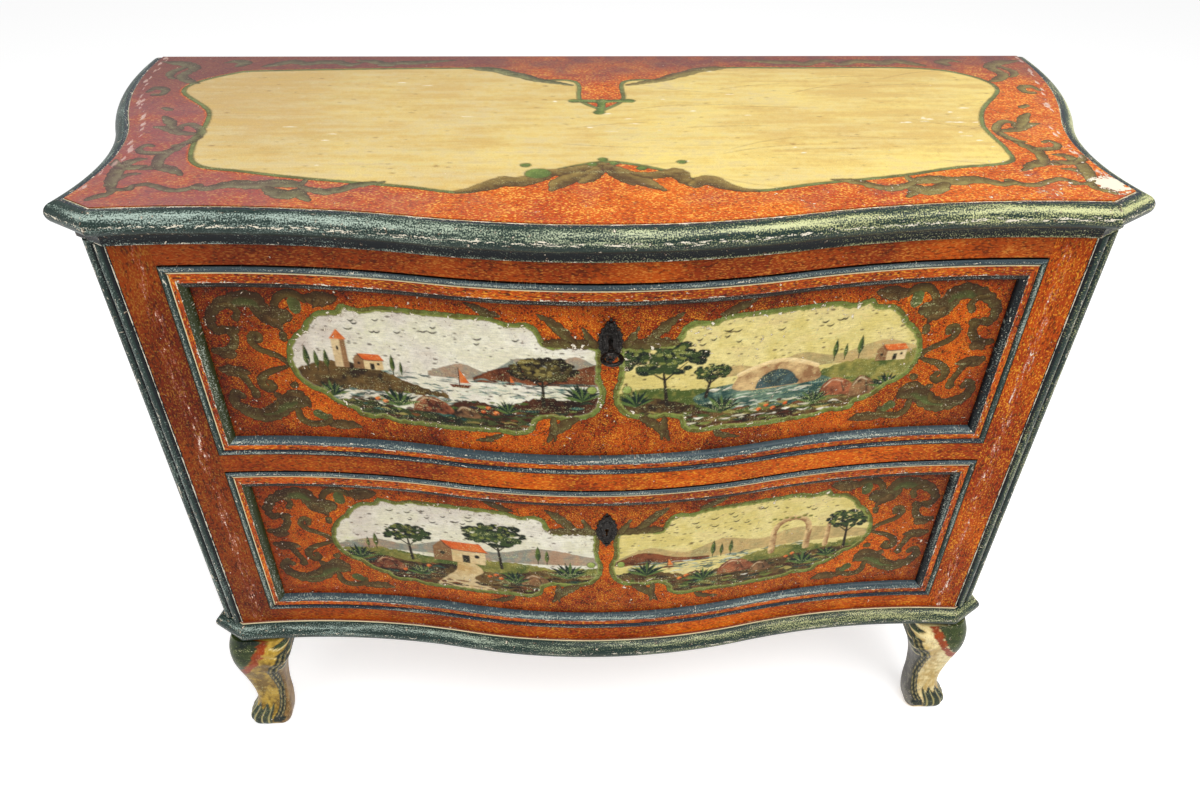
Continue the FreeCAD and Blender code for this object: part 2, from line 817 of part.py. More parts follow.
def leg(label, side, outer, face, inwards):
    """Cabriole leg: a knee under the case, a slim ankle and a turned-out foot.

    outer is how far out its top stands and face where its top begins along y;
    inwards is 1 where the leg looks to the front and -1 where it looks to the back.
    """
    width = S.leg_width.mm
    depth = S.leg_depth.mm
    knee = S.knee_out.mm
    slim = S.ankle_width.mm
    thin = S.ankle_depth.mm
    toe = S.toe_out.mm
    sole = S.sole_width.mm
    pad = S.sole_depth.mm
    ankle_out = -S.leg_setback.mm - 3.5
    # height share, how far out, width, how far in from the face, depth
    stations = [
        (1.00, 0.0, width, 0.0, depth),
        (0.90, 0.9 * knee, width + 0.5 * knee, -0.7 * knee, depth + 0.1 * knee),
        (0.80, knee, width + 0.3 * knee, -0.9 * knee, depth - 0.6 * knee),
        (0.69, 0.7 * knee, 0.3 * slim + 0.7 * width, -0.3 * knee, 0.5 * depth + 0.5 * thin),
        (0.54, 0.0, 0.7 * slim + 0.3 * width, 0.6 * knee, 0.16 * depth + 0.84 * thin),
        (0.37, ankle_out, slim + 1.0, knee, thin),
        (0.22, ankle_out + 2.0, slim + 2.0, 0.9 * knee, thin + 1.0),
        (0.11, toe, slim + toe + 3.0, 0.4 * knee, thin + 4.0),
        (0.04, toe, slim + toe, 0.3 * knee, thin + 3.0),
        (0.00, ankle_out + 2.0, sole, 0.9 * knee, pad),
    ]
    body = new_body(label)
    sections = []
    for share, out, wide, back, deep in stations:
        far = side * (outer + out)
        near = side * (outer + out - wide)
        start = face + inwards * back
        end = start + inwards * deep
        low = plan(min(far, near), min(start, end))
        high = plan(max(far, near), max(start, end))
        sections.append(draw(body, "station", rounded_block(low, high), level=S.leg_height * share))
    loft = body.newObject("PartDesign::AdditiveLoft", "loft")
    loft.Profile = sections[0]
    loft.Sections = sections[1:]
    body.Tip = loft
    document.recompute()
    return body


def legs():
    for side in (1, -1):
        front_outer = abs(CANTS[side].far.x) - S.leg_setback.mm
        front_face = FRONT.at(FRONT_HALF.mm) - S.leg_advance.mm
        keep(leg(f"front_leg_{hand(side)}", side, front_outer, front_face, 1.0))
        back = S.case_depth.mm - S.rear_leg_setback.mm
        rear_outer = abs(SIDES[side].at(back)) - S.leg_setback.mm
        keep(leg(f"rear_leg_{hand(side)}", side, rear_outer, back, -1.0))


def glue_blocks():
    """Blocks in the corners that tie the legs and rails to the bottom board."""
    height = BOTTOM_BOARD - CASE_FOOT
    front_half = S.waist_half - S.side_thickness - S.drawer_side_gap
    rear_half = Dim.of(rear_post_inner())
    blocks = []
    for side in (1, -1):
        for start, half in ((RAIL_BACK, front_half), (REAR_POST_FACE - S.block_depth, rear_half)):
            low = half - S.block_width if side > 0 else -half
            blocks.append(box("block", (low, start, CASE_FOOT), (S.block_width, S.block_depth, height)))
    return group("glue_blocks", blocks)


# -------------------------------------------------------------------- drawers
def face_width(band):
    """Return how wide a strip of the frame round a drawer panel is."""
    return S.bead_width.mm + band.mm + S.ovolo_width.mm


def strip_outline(band, place):
    """Draw a bead, a flat band and an ovolo.

    place turns the way in from the drawer's edge and the height over the case face
    into a point.
    """
    bead = S.bead_width.mm
    flat = bead + band.mm
    inner = face_width(band)
    seat = -S.panel_recess.mm
    foot = seat + S.ovolo_foot.mm
    outline = Outline(place(0.0, 0.0)).arc(place(bead / 2.0, S.bead_out.mm), place(bead, 0.0))
    outline.line(place(flat, 0.0))
    outline.arc(place(flat + 0.7 * S.ovolo_width.mm, 0.3 * foot), place(inner, foot))
    return outline.line(place(inner, seat), place(0.0, seat)).close()


def elevation():
    """Return the place of a sketch in the front view, level with the crown."""
    return Placement(plan(0.0, 0.0), Rotation(Vector(1, 0, 0), 90))


def past_mitre(edge, inward, side, band, upwards):
    """Return what lies past a corner joint of the frame, in the front view.

    It is above the joint line or below it (upwards) for a stile, and beside it for
    a rail.
    """
    corner = Vector(side * DRAWER_HALF.mm, edge, 0.0)
    reach = 3.0 * face_width(S.top_band_width)
    step = Vector(-side * face_width(S.band_width), inward * face_width(band), 0.0) * 3.0
    end = corner + step
    level = Vector(0.0, edge - inward * reach, 0.0)
    if upwards:
        return polygon([corner, end, Vector(end.x, level.y, 0.0), Vector(corner.x, level.y, 0.0)])
    wide = corner.x + side * reach
    return polygon([corner, end, Vector(wide, end.y, 0.0), Vector(wide, level.y, 0.0),
                    Vector(corner.x, level.y, 0.0)])


def face_rail(name, edge, inward, band):
    """Make the top or the bottom strip of the frame, along the serpentine."""
    body = new_body(f"{name}_face_rail")
    outline = strip_outline(band, lambda run, out: Vector(out, edge + inward * run, 0.0))
    profile = draw(body, "section", outline, place=upright(plan(0.0, 0.0), Vector(0.0, -1.0, 0.0)))
    right = sweep(body, profile, FRONT, 0.0, DRAWER_HALF.mm + face_width(band))
    mirror_sideways(body, right)
    for side in (1, -1):
        trim(body, past_mitre(edge, inward, side, band, False), place=elevation())
    return body


def face_stile(name, low, high, side):
    """Make one upright strip of the frame."""
    half = DRAWER_HALF.mm

    def place(run, out):
        return plan(side * (half - run), FRONT.at(half - run) - out)

    body = prism(f"{name}_face_stile", strip_outline(S.band_width, place), low, high - low)
    trim(body, past_mitre(high.mm, -1.0, side, S.top_band_width, True), place=elevation())
    trim(body, past_mitre(low.mm, 1.0, side, S.band_width, True), place=elevation())
    return body


def face_frame(name, low, high):
    """Four mitred strips round the painted panel of a drawer."""
    strips = [face_rail(name, high.mm, -1.0, S.top_band_width), face_rail(name, low.mm, 1.0, S.band_width)]
    strips += [face_stile(name, low, high, side) for side in (1, -1)]
    return group(f"{name}_drawer_face_moulding", strips)


def keyhole_tools(level, start, depth):
    """Round hole with the slot below it, run inwards from a start."""
    radius = S.keyhole_radius
    slot = S.keyhole_slot
    return [
        rod("keyhole", (0.0, start, level), radius, depth),
        box("keyslot", (slot / -2.0, start, level - S.keyhole_drop), (slot, depth, S.keyhole_drop)),
    ]


def pin_levels(level):
    rise = S.escutcheon_rise + S.finial_radius / 2.0
    return level + rise, level - rise


def drawer_front(name, foot, head, opening, level):
    half = DRAWER_HALF.mm
    face = -S.panel_recess.mm
    back = -FRONT_BACK.mm
    outline = Outline(FRONT.point(-half, face)).follow(FRONT, -half, half, face)
    outline.follow(FRONT, half, -half, back)
    blank = prism(f"{name}_drawer_front", outline.close(), foot, head - foot)
    side_top = head - S.drawer_side_drop
    inner = DRAWER_HALF - S.drawer_side_thickness
    tools = keyhole_tools(level, Dim.of(0.0), FRONT_BACK + PAST)
    lock_foot = level - S.lock_tail
    tools.append(box("lock_recess", (-S.lock_half, S.lock_start, lock_foot),
                     (S.lock_half * 2.0, FRONT_BACK, head - lock_foot + PAST)))
    for side in (1, -1):
        low = inner if side > 0 else -(inner + S.drawer_side_thickness * 2.0)
        tools.append(box("rebate", (low, S.drawer_rebate, opening - PAST),
                         (S.drawer_side_thickness * 2.0, FRONT_BACK * 2.0, side_top - opening + PAST)))
    for pin in pin_levels(level):
        tools.append(rod("pin_hole", (0.0, 0.0, pin), S.pin_radius + S.pin_clearance,
                         S.panel_recess + S.pin_length))
    return cut(f"{name}_drawer_front", blank, tools)


def lock(name, head, level):
    """Iron lock case behind the drawer front, open at the top for its bolt."""
    start = S.lock_start
    foot = level - S.lock_tail
    half = S.lock_half
    depth = S.lock_thickness
    plate = S.lock_plate
    hollow = depth - plate * 2.0
    blank = box("case", (-half, start, foot), (half * 2.0, depth, head - foot))
    channel = S.bolt_half + S.bolt_clearance
    tools = [
        box("channel", (-channel, start + plate, level), (channel * 2.0, hollow, head - level + PAST)),
        rod("chamber", (0.0, start + plate, level), S.lock_chamber_radius, hollow),
        rod("pipe", (0.0, start - PAST, level), S.keyhole_radius, depth + PAST * 2.0),
        box("slot", (S.keyhole_slot / -2.0, start - PAST, level - S.keyhole_drop),
            (S.keyhole_slot, plate + PAST * 2.0, S.keyhole_drop)),
    ]
    case = cut(f"{name}_lock_case", blank, tools)
    slack = S.bolt_clearance
    bolt_foot = level + S.bolt_lift
    bolt = box(f"{name}_lock_bolt", (-S.bolt_half, start + plate + slack, bolt_foot),
               (S.bolt_half * 2.0, hollow - slack * 2.0, head - slack - bolt_foot))
    return case, bolt


def escutcheon(name, level):
    """Oval iron plate with a beaded edge, a finial at each end and a keyhole."""
    face = S.panel_recess.mm
    height = level.mm
    half = S.escutcheon_half.mm
    rise = S.escutcheon_rise.mm
    inwards = Vector(0, 1, 0)

    def disc(x, z, radius, thickness):
        return Part.makeCylinder(radius, thickness, plan(x, face - thickness) + Vector(0, 0, z), inwards)

    oval = Part.Ellipse(Vector(), rise, half).toShape()
    plate = Part.Face(Part.Wire([oval])).extrude(Vector(0, 0, S.escutcheon_plate.mm))
    plate.Placement = Placement(plan(0.0, face) + Vector(0, 0, height), Rotation(inwards, 90)
                                * Rotation(Vector(1, 0, 0), 90))
    parts = [plate]
    for number in range(BEAD_COUNT):
        angle = 2.0 * math.pi * number / BEAD_COUNT
        parts.append(disc(half * math.sin(angle), height + rise * math.cos(angle),
                          S.escutcheon_bead.mm, S.escutcheon_relief.mm))
    pins = [pin.mm for pin in pin_levels(level)]
    parts += [disc(0.0, pin, S.finial_radius.mm, S.escutcheon_relief.mm) for pin in pins]
    solid = parts[0].multiFuse(parts[1:]).removeSplitter()
    deep = S.escutcheon_relief.mm + 2.0 * PAST
    start = plan(0.0, face - deep + PAST)
    holes = [Part.makeCylinder(S.keyhole_radius.mm, deep, start + Vector(0, 0, height), inwards)]
    slot = S.keyhole_slot.mm
    holes.append(Part.makeBox(slot, deep, S.keyhole_drop.mm,
                              start + Vector(-slot / 2.0, 0, height - S.keyhole_drop.mm)))
    reach = S.pin_radius.mm + S.pin_clearance.mm
    holes += [Part.makeCylinder(reach, deep, start + Vector(0, 0, pin), inwards) for pin in pins]
    feature = document.addObject("Part::Feature", f"{name}_escutcheon")
    feature.Label = f"{name}_escutcheon"
    feature.Shape = solid.cut(holes)
    return feature


def escutcheon_pins(name, level):
    pins = []
    face = S.panel_recess - S.escutcheon_relief
    for height in pin_levels(level):
        shank = rod("shank", (0.0, face, height), S.pin_radius, S.pin_length)
        head = rod("head", (0.0, face - S.pin_head_height, height), S.pin_head_radius, S.pin_head_height)
        pins.append(fused("pin", [shank, head]))
    return group(f"{name}_escutcheon_pins", pins)


def key(level):
    """Iron key in the upper lock, its bow and bit lying flat."""
    bow_centre = S.key_bow_radius - S.key_reach
    tip = S.lock_start + S.lock_thickness - S.lock_plate / 2.0
    thick = S.key_bow_thickness
    shaft_start = bow_centre + (S.key_bow_radius + S.key_eye_radius) / 2.0
    shaft = rod("shaft", (0.0, shaft_start, level), S.key_radius, tip - shaft_start)
    collar = rod("collar", (0.0, bow_centre + S.key_bow_radius, level), S.key_radius + S.key_collar,
                 S.key_collar_length)
    bit_start = S.lock_start + S.lock_plate + S.bolt_clearance
    bit_width = S.lock_thickness - S.lock_plate * 2.0 - S.bolt_clearance * 2.0
    bit = box("bit", (0.0, bit_start, level - S.key_bit_thickness / 2.0),
              (S.key_bit_reach, bit_width, S.key_bit_thickness))
    disc = document.addObject("Part::Cylinder", "bow")
    eye = document.addObject("Part::Cylinder", "eye")
    for piece, radius, height in ((disc, S.key_bow_radius, thick), (eye, S.key_eye_radius, thick * 2.0)):
        bind(piece, "Radius", radius)
        bind(piece, "Height", height)
        bind(piece, "Placement.Base.y", bow_centre + CROWN)
        bind(piece, "Placement.Base.z", level - height / 2.0)
    bow = cut("bow", disc, [eye])
    return fused("upper_key", [shaft, collar, bit, bow])


def drawer(name, opening):
    """All the pieces of one drawer, from the level of its opening."""
    foot = opening + S.drawer_foot_gap
    head = opening + S.opening_height - S.drawer_top_gap
    level = opening + S.opening_height - S.keyhole_depth
    side_top = head - S.drawer_side_drop
    inner = DRAWER_HALF - S.drawer_side_thickness
    keep(drawer_front(name, foot, head, opening, level))
    keep(face_frame(name, foot, head))
    length = DRAWER_BACK - S.drawer_rebate
    for side in (1, -1):
        low = inner if side > 0 else -DRAWER_HALF
        keep(box(f"{name}_drawer_side_{hand(side)}", (low, S.drawer_rebate, opening),
                 (S.drawer_side_thickness, length, side_top - opening)))
    shelf_top = opening + S.drawer_bottom_lift + S.drawer_bottom_thickness
    keep(box(f"{name}_drawer_back", (-inner, DRAWER_BACK - S.drawer_side_thickness, shelf_top),
             (inner * 2.0, S.drawer_side_thickness, side_top - shelf_top)))
    half = inner.mm
    back = DRAWER_BACK.mm
    outline = Outline(plan(half, back)).line(plan(-half, back))
    outline.follow(FRONT, -half, half, -FRONT_BACK.mm)
    keep(prism(f"{name}_drawer_bottom", outline.close(), opening + S.drawer_bottom_lift,
               S.drawer_bottom_thickness))
    case, bolt = lock(name, head, level)
    keep(case, bolt, escutcheon(name, level), escutcheon_pins(name, level))
    return level


# ------------------------------------------------------------------- assembly
rails()
for side in (1, -1):
    keep(front_post(side), corner_bead(side), side_panel(side), kicker(side))
    keep(runner(f"lower_runner_{hand(side)}", side, LOWER_OPENING, S.lower_runner_height))
    keep(runner(f"upper_runner_{hand(side)}", side, UPPER_OPENING, S.upper_runner_height))
back_boards()
rear_posts()
keep(shelf("dust_board", DUST_BOARD, S.dust_thickness))
keep(shelf("bottom_board", BOTTOM_BOARD, S.bottom_thickness))
keep(top_board())
mouldings()
legs()
keep(glue_blocks())
drawer("lower", LOWER_OPENING)
keep(key(drawer("upper", UPPER_OPENING)))
document.recompute()

# ----------------------------------------------------------- checks and files
for item in document.Objects:
    if "Invalid" in item.State or "Error" in item.State:
        raise ValueError(f"{item.Label}: {item.State}")
for label, piece in nodes.items():
    if piece.Shape.isNull() or not piece.Shape.isValid() or not piece.Shape.Solids:
        raise ValueError(f"{label}: no valid solid")

os.makedirs("parts", exist_ok=True)
for label, piece in nodes.items():
    piece.Shape.exportStep(f"parts/{label}.step")
print(len(nodes), "nodes written")
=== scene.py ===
"""Painted commode with a serpentine front, dressed over its fixed frame.

The carcass, drawers, locks and key keep the places that the frame gives them.
This script adds the mouldings, the framed drawer faces, the legs with their carved
front pair, the ironwork and the painted top, panels and sides, and gives every board
of the case its own finish.  Plan sizes are in metres; painted ornament is drawn in
millimetres on flat canvases that are then laid over the curved faces.
"""
from __future__ import annotations

import json
import logging
import math
from dataclasses import dataclass
from enum import Enum
from typing import Any, Callable, Iterable, Sequence

import bpy
import numpy as np
from mathutils import Matrix, Vector

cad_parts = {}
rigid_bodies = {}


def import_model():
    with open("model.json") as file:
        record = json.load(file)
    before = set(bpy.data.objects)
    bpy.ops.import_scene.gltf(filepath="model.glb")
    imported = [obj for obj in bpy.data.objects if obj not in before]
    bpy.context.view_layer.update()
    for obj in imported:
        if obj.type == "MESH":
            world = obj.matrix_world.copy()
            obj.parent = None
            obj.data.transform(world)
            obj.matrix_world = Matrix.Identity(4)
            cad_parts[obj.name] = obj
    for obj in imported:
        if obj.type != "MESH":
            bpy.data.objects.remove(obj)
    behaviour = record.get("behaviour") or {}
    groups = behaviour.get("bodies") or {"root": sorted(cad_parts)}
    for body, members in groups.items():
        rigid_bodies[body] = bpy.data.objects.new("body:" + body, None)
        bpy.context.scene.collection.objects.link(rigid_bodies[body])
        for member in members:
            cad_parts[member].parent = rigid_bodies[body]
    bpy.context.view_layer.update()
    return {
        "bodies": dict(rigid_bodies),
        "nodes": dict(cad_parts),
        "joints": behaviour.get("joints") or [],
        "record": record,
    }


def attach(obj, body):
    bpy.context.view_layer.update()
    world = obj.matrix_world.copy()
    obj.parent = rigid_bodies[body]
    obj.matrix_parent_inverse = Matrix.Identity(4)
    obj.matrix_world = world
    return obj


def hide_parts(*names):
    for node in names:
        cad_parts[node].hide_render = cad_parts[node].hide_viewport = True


LOG = logging.getLogger("commode")
MM = 0.001
CROWN = -0.220
CASE_DEPTH = 0.476
TOP_FACE = 0.845
CASE_FOOT = 0.204
FACE_DEPTH = 8.0 * MM
DRAWER_FACE = CROWN + FACE_DEPTH
SMOOTH = math.radians(38.0)
Colour = tuple[float, float, float]
Knot = tuple[float, float, float]
Pair = tuple[Colour, Colour]
Part = tuple[slice, slice]


def tone(red: int, green: int, blue: int) -> Colour:
    """Turn a paint colour given in screen steps of 0 to 255 into a linear one.

    Args:
        red: Red step.
        green: Green step.
        blue: Blue step.

    Returns:
        The linear colour.
    """
    steps = [value / 255.0 for value in (red, green, blue)]
    flat = [s / 12.92 if s <= 0.04045 else ((s + 0.055) / 1.055) ** 2.4 for s in steps]
    return flat[0], flat[1], flat[2]


class Hand(Enum):
    """Which side of the piece, as the sign of X."""

    LEFT = -1
    RIGHT = 1

    @property
    def word(self) -> str:
        """Name as it stands in the frame's node names."""
        return self.name.lower()


# ------------------------------------------------------------------ node maths
class Val:
    """A value in a material, so that shader maths reads as plain expressions."""

    def __init__(self, book: Book, socket: bpy.types.NodeSocket) -> None:
        """Wrap an output socket of a node book."""
        self.book = book
        self.socket = socket

    def _math(self, operation: str, *terms: Any) -> Val:
        """Add one Math node."""
        return self.book.add("ShaderNodeMath", {"operation": operation}, dict(enumerate(terms)))

    def __add__(self, other: Any) -> Val:
        """Sum."""
        return self._math("ADD", self, other)

    __radd__ = __add__

    def __sub__(self, other: Any) -> Val:
        """Difference."""
        return self._math("SUBTRACT", self, other)

    def __rsub__(self, other: Any) -> Val:
        """Difference from a number."""
        return self._math("SUBTRACT", other, self)

    def __mul__(self, other: Any) -> Val:
        """Product."""
        return self._math("MULTIPLY", self, other)

    __rmul__ = __mul__

    def most(self, other: Any) -> Val:
        """Larger of two values."""
        return self._math("MAXIMUM", self, other)

    def size(self) -> Val:
        """Value without its sign."""
        return self._math("ABSOLUTE", self)

    def sign(self) -> Val:
        """Return minus one or one."""
        return self._math("SIGN", self)

    def step(self, low: float, high: float) -> Val:
        """Rise smoothly from 0 at low to 1 at high.

        Args:
            low: Value where the step starts.
            high: Value where it is full; below low, the step falls instead.

        Returns:
            The stepped value, between 0 and 1.
        """
        start, end, left, right = (low, high, 0.0, 1.0) if low < high else (high, low, 1.0, 0.0)
        return self.book.add(
            "ShaderNodeMapRange",
            {"interpolation_type": "SMOOTHSTEP"},
            {0: self, 1: start, 2: end, 3: left, 4: right},
        )


class Book:
    """Node book of one material: makes nodes, fills sockets and joins them."""

    def __init__(self, name: str) -> None:
        """Start an empty material that ends in one principled shader.

        Args:
            name: Name of the material.
        """
        self.material = bpy.data.materials.new(name)
        self.material.use_nodes = True
        self.tree = self.material.node_tree
        self.tree.nodes.clear()
        self.shader = self.tree.nodes.new("ShaderNodeBsdfPrincipled")
        output = self.tree.nodes.new("ShaderNodeOutputMaterial")
        self.tree.links.new(self.shader.outputs[0], output.inputs[0])

    def fill(self, socket: bpy.types.NodeSocket, value: Any) -> None:
        """Link a value into a socket, or set the socket's own number or colour.

        Args:
            socket: Socket of a node.
            value: What goes into it.
        """
        if isinstance(value, Val):
            self.tree.links.new(value.socket, socket)
        elif isinstance(value, tuple) and socket.type == "RGBA":
            socket.default_value = (*value[:3], 1.0)
        else:
            socket.default_value = value

    def add(self, kind: str, settings: dict[str, Any], values: dict[Any, Any], out: Any = 0) -> Val:
        """Add a node.

        Args:
            kind: Node type.
            settings: Properties of the node.
            values: What goes into its sockets, by number or name.
            out: Number or name of the output that is handed back.

        Returns:
            The chosen output.
        """
        node = self.tree.nodes.new(kind)
        for name, value in settings.items():
            setattr(node, name, value)
        for name, value in values.items():
            self.fill(node.inputs[name], value)
        return Val(self, node.outputs[out])

    def place(self) -> Val:
        """Place on the object."""
        return self.add("ShaderNodeTexCoord", {}, {}, "Object")

    def layer(self, name: str, out: str = "Fac") -> Val:
        """Value painted on the mesh itself, by its attribute name."""
        return self.add("ShaderNodeAttribute", {"attribute_name": name}, {}, out)

    def stretched(self, place: Val, scale: tuple[float, float, float]) -> Val:
        """Scale a pattern's place by an amount along each axis."""
        return self.add("ShaderNodeMapping", {}, {"Vector": place, "Scale": scale})

    def grain(self, place: Val, scale: float, detail: float = 2.0, warp: float = 0.0) -> Val:
        """Cloudy noise between 0 and 1.

        Args:
            place: Where on the object.
            scale: How many clouds to a metre.
            detail: How many finer layers it has.
            warp: How far its lines are bent.

        Returns:
            The noise.
        """
        return self.add(
            "ShaderNodeTexNoise",
            {},
            {"Vector": place, "Scale": scale, "Detail": detail, "Distortion": warp},
        )

    def mix(self, share: Any, first: Any, second: Any, blend: str = "MIX") -> Val:
        """Mix two colours by a share."""
        settings = {"data_type": "RGBA", "blend_type": blend}
        return self.add("ShaderNodeMix", settings, {0: share, 6: first, 7: second}, 2)

    def parts(self, vector: Val) -> list[Val]:
        """Split a vector into its three numbers.

        Args:
            vector: What to split.

        Returns:
            Its three numbers.
        """
        first = self.add("ShaderNodeSeparateXYZ", {}, {0: vector})
        node = first.socket.node
        return [Val(self, node.outputs[number]) for number in range(3)]

    def bump(self, height: Val, depth: float) -> Val:
        """Raise a surface by a height that is up to depth metres."""
        return self.add("ShaderNodeBump", {}, {"Height": height, "Distance": depth, "Strength": 0.6})

    def close(self, **values: Any) -> bpy.types.Material:
        """Fill the principled shader's sockets, named with underscores for spaces.

        Args:
            values: What goes into them.

        Returns:
            The material.
        """
        for name, value in values.items():
            self.fill(self.shader.inputs[name.replace("_", " ")], value)
        return self.material


# -------------------------------------------------------------------- finishes
@dataclass(frozen=True)
class RedGround:
    """Colours of the mottled vermilion ground and how its mottling is stretched."""

    warm: Colour = tone(190, 76, 4)
    deep: Colour = tone(136, 42, 4)
    dark: Colour = tone(34, 11, 3)
    light: Colour = tone(248, 174, 52)
    stretch: tuple[float, float, float] = (1.0, 1.0, 1.0)
    scale: float = 440.0
    dark_share: float = 0.88
    light_share: float = 0.66

    def coat(self, book: Book, place: Val) -> Val:
        """Lay the ground.

        Args:
            book: Node book of the material.
            place: Where on the object.

        Returns:
            The ground's colour.
        """
        drawn = book.stretched(place, self.stretch)
        drift = book.grain(place, 7.0, 3.0)
        base = book.mix(drift.step(0.36, 0.62), self.warm, self.deep)
        patch = (book.grain(drawn, self.scale * 0.16, 3.0, 0.6) - 0.5) * 0.35
        blots = book.grain(drawn, self.scale, 3.0, 0.5) + patch
        base = book.mix(blots.step(0.47, 0.68) * self.dark_share, base, self.dark)
        specks = book.grain(book.stretched(drawn, (1.0, 1.0, 1.3)), self.scale * 1.5, 3.0) - patch * 0.8
        return book.mix(specks.step(0.50, 0.70) * self.light_share, base, self.light)


@dataclass(frozen=True)
class OldPaint:
    """Ornament over the red ground, under one old varnish, with chips and rubbing.

    The mesh carries the layers: paint (its colour), cover (how far inside the paint,
    in millimetres), wear (how chipped), grime (how stained, together with painted shade
    and sheen), rub (how much of its top coat is rubbed thin, together with painted
    highlights on the crests of mouldings) and chalk (how much bare white gesso shows
    along an arris, together with painted white highlight flecks on the nose of a half
    round). Stain, veil and kept say how grime and painted shade darken the paint, what
    colour the painted sheen over the top's left and back has, and how much of the
    darkening the ornament escapes.
    """

    name: str
    ground: RedGround = RedGround()
    along_run: bool = False
    brush: tuple[float, float, float] = (60.0, 700.0, 700.0)
    brush_share: float = 0.34
    gloss: float = 0.42
    rub: Colour = tone(192, 194, 138)
    rub_left: Colour = tone(192, 194, 138)
    stain: Colour = (0.42, 0.30, 0.30)
    veil: Colour = tone(148, 106, 116)
    veil_share: float = 0.0
    kept: float = 0.0
    coat: float = 0.06
    ragged: float = 1.0

    def make(self) -> bpy.types.Material:
        """Build the material.

        Returns:
            The material.
        """
        book = Book(self.name)
        place = book.layer("run", "Vector") if self.along_run else book.place()
        fine = book.grain(place, 640.0, 3.0)
        strokes = book.grain(book.stretched(place, self.brush), 1.0, 4.0, 0.3)
        shade = (strokes - 0.5) * (2.0 * self.brush_share) + (fine - 0.5) * 0.55 + 1.0
        shades = book.add("ShaderNodeCombineXYZ", {}, {0: shade, 1: shade, 2: shade})
        ink = book.mix(1.0, book.layer("paint", "Color"), shades, "MULTIPLY")
        patches = book.grain(book.stretched(place, (11.0, 130.0, 130.0)), 1.0, 2.0, 0.4)
        smear = book.grain(book.stretched(place, (80.0, 420.0, 420.0)), 1.0, 4.0, 0.5)
        smear = patches * 0.6 + smear * 0.4 + (fine - 0.5) * 1.1 + (strokes - 0.5) * 0.15
        # Rubbed paint and painted highlights on the crests of mouldings take a pale tone.
        rubbed = (smear + book.layer("rub") * 0.24).step(0.57, 0.92)
        across, inward, _ = book.parts(book.place())
        # Left of the middle the pale tone changes to the left one; on the mouldings this is a bluish painted
        # reflection.
        ink = book.mix(rubbed * 0.8, ink, book.mix(across.step(-0.35, 0.25), self.rub_left, self.rub))
        edge = book.layer("cover") + (fine - 0.5) * self.ragged + (strokes - 0.5) * self.ragged * 0.6
        inked = edge.step(-0.35, 0.35)
        colour = book.mix(inked, self.ground.coat(book, place), ink)
        # Where the grime layer is strong the colour darkens: grime in random patches, and painted shade near
        # the drawer panels' frames and along their left side.
        stained_and_shaded = book.mix(1.0, colour, self.stain, "MULTIPLY")
        # On the top: a pink painted sheen over the left and the back, and the colour darker towards the back.
        if self.veil_share:
            stained_and_shaded = book.mix(self.veil_share, stained_and_shaded, self.veil)
            stained_and_shaded = book.mix(inward.step(0.02, 0.22) * 0.46, stained_and_shaded, tone(40, 24, 16))
        colour = book.mix(book.layer("grime") * (1.0 - inked * self.kept), colour, stained_and_shaded)
        flakes = book.grain(place, 210.0, 4.0, 0.5) + (fine - 0.5) * 0.25 + book.layer("wear") * 0.34
        chips = flakes.step(0.86, 0.90)
        colour = book.mix(flakes.step(0.80, 0.86) * 0.55, colour, tone(110, 76, 52))
        scrape = book.grain(book.stretched(place, (90.0, 420.0, 420.0)), 1.0, 4.0, 0.8) + (fine - 0.5) * 0.5
        # Bare white gesso along arrises, together with painted white highlight flecks on the crests of
        # mouldings.
        chips = chips.most((scrape + book.layer("chalk") * 0.30).step(0.74, 0.82))
        colour = book.mix(chips, colour, tone(226, 217, 196))
        height = strokes * 0.5 + fine * 0.4 + inked * 0.25 - chips * 0.9
        return book.close(
            Base_Color=colour,
            Roughness=fine * 0.22 + (self.gloss - 0.08) + chips * 0.3,
            Specular_IOR_Level=0.08,
            Coat_Weight=self.coat,
            Coat_Roughness=0.26,
            Normal=book.bump(height, 0.0005),
        )


@dataclass(frozen=True)
class CaseBoard:
    """Case board that is painted on its outer faces and bare wood inside."""

    ARRIS_X = 0.462

    name: str
    wood: BarePine
    ground: RedGround
    front_only: bool = True
    worn_arris: bool = False
    shadow: Colour = (0.40, 0.34, 0.48)

    def make(self) -> bpy.types.Material:
        """Build the material.

        Returns:
            The material.
        """
        book = Book(self.name)
        place = book.place()
        x, _, _ = book.parts(place)
        normal_x, normal_y, _ = book.parts(book.add("ShaderNodeNewGeometry", {}, {}, "Normal"))
        outer = normal_y.step(-0.30, -0.40)
        if not self.front_only:
            outer = outer.most((normal_x * x.sign()).step(0.30, 0.45))
        painted = self.ground.coat(book, place)
        dusk = book.mix(1.0, painted, self.shadow, "MULTIPLY")
        painted = book.mix(x.step(0.05, -0.46) * 0.8, painted, dusk)
        fine = book.grain(place, 520.0, 3.0)
        if self.worn_arris:
            near = (x.size() - self.ARRIS_X).size().step(0.009, 0.001)
            drag = book.grain(book.stretched(place, (300.0, 300.0, 60.0)), 1.0, 5.0, 0.8) + (fine - 0.5) * 0.5
            painted = book.mix(near * drag.step(0.50, 0.74), painted, tone(190, 122, 98))
            painted = book.mix(near * drag.step(0.66, 0.72), painted, tone(232, 222, 206))
        bare, bare_height = self.wood.coat(book, place)
        colour = book.mix(outer, bare, painted)
        flakes = book.grain(place, 170.0, 4.0, 0.5).step(0.735, 0.76) * outer
        colour = book.mix(flakes, colour, tone(224, 212, 190))
        height = bare_height * (1.0 - outer) + fine * outer * 0.5
        rough = 0.78 - outer * 0.36 + fine * 0.14
        return book.close(
            Base_Color=colour, Roughness=rough, Specular_IOR_Level=0.08, Coat_Weight=outer * 0.05,
            Coat_Roughness=0.25, Normal=book.bump(height, 0.0004),
        )


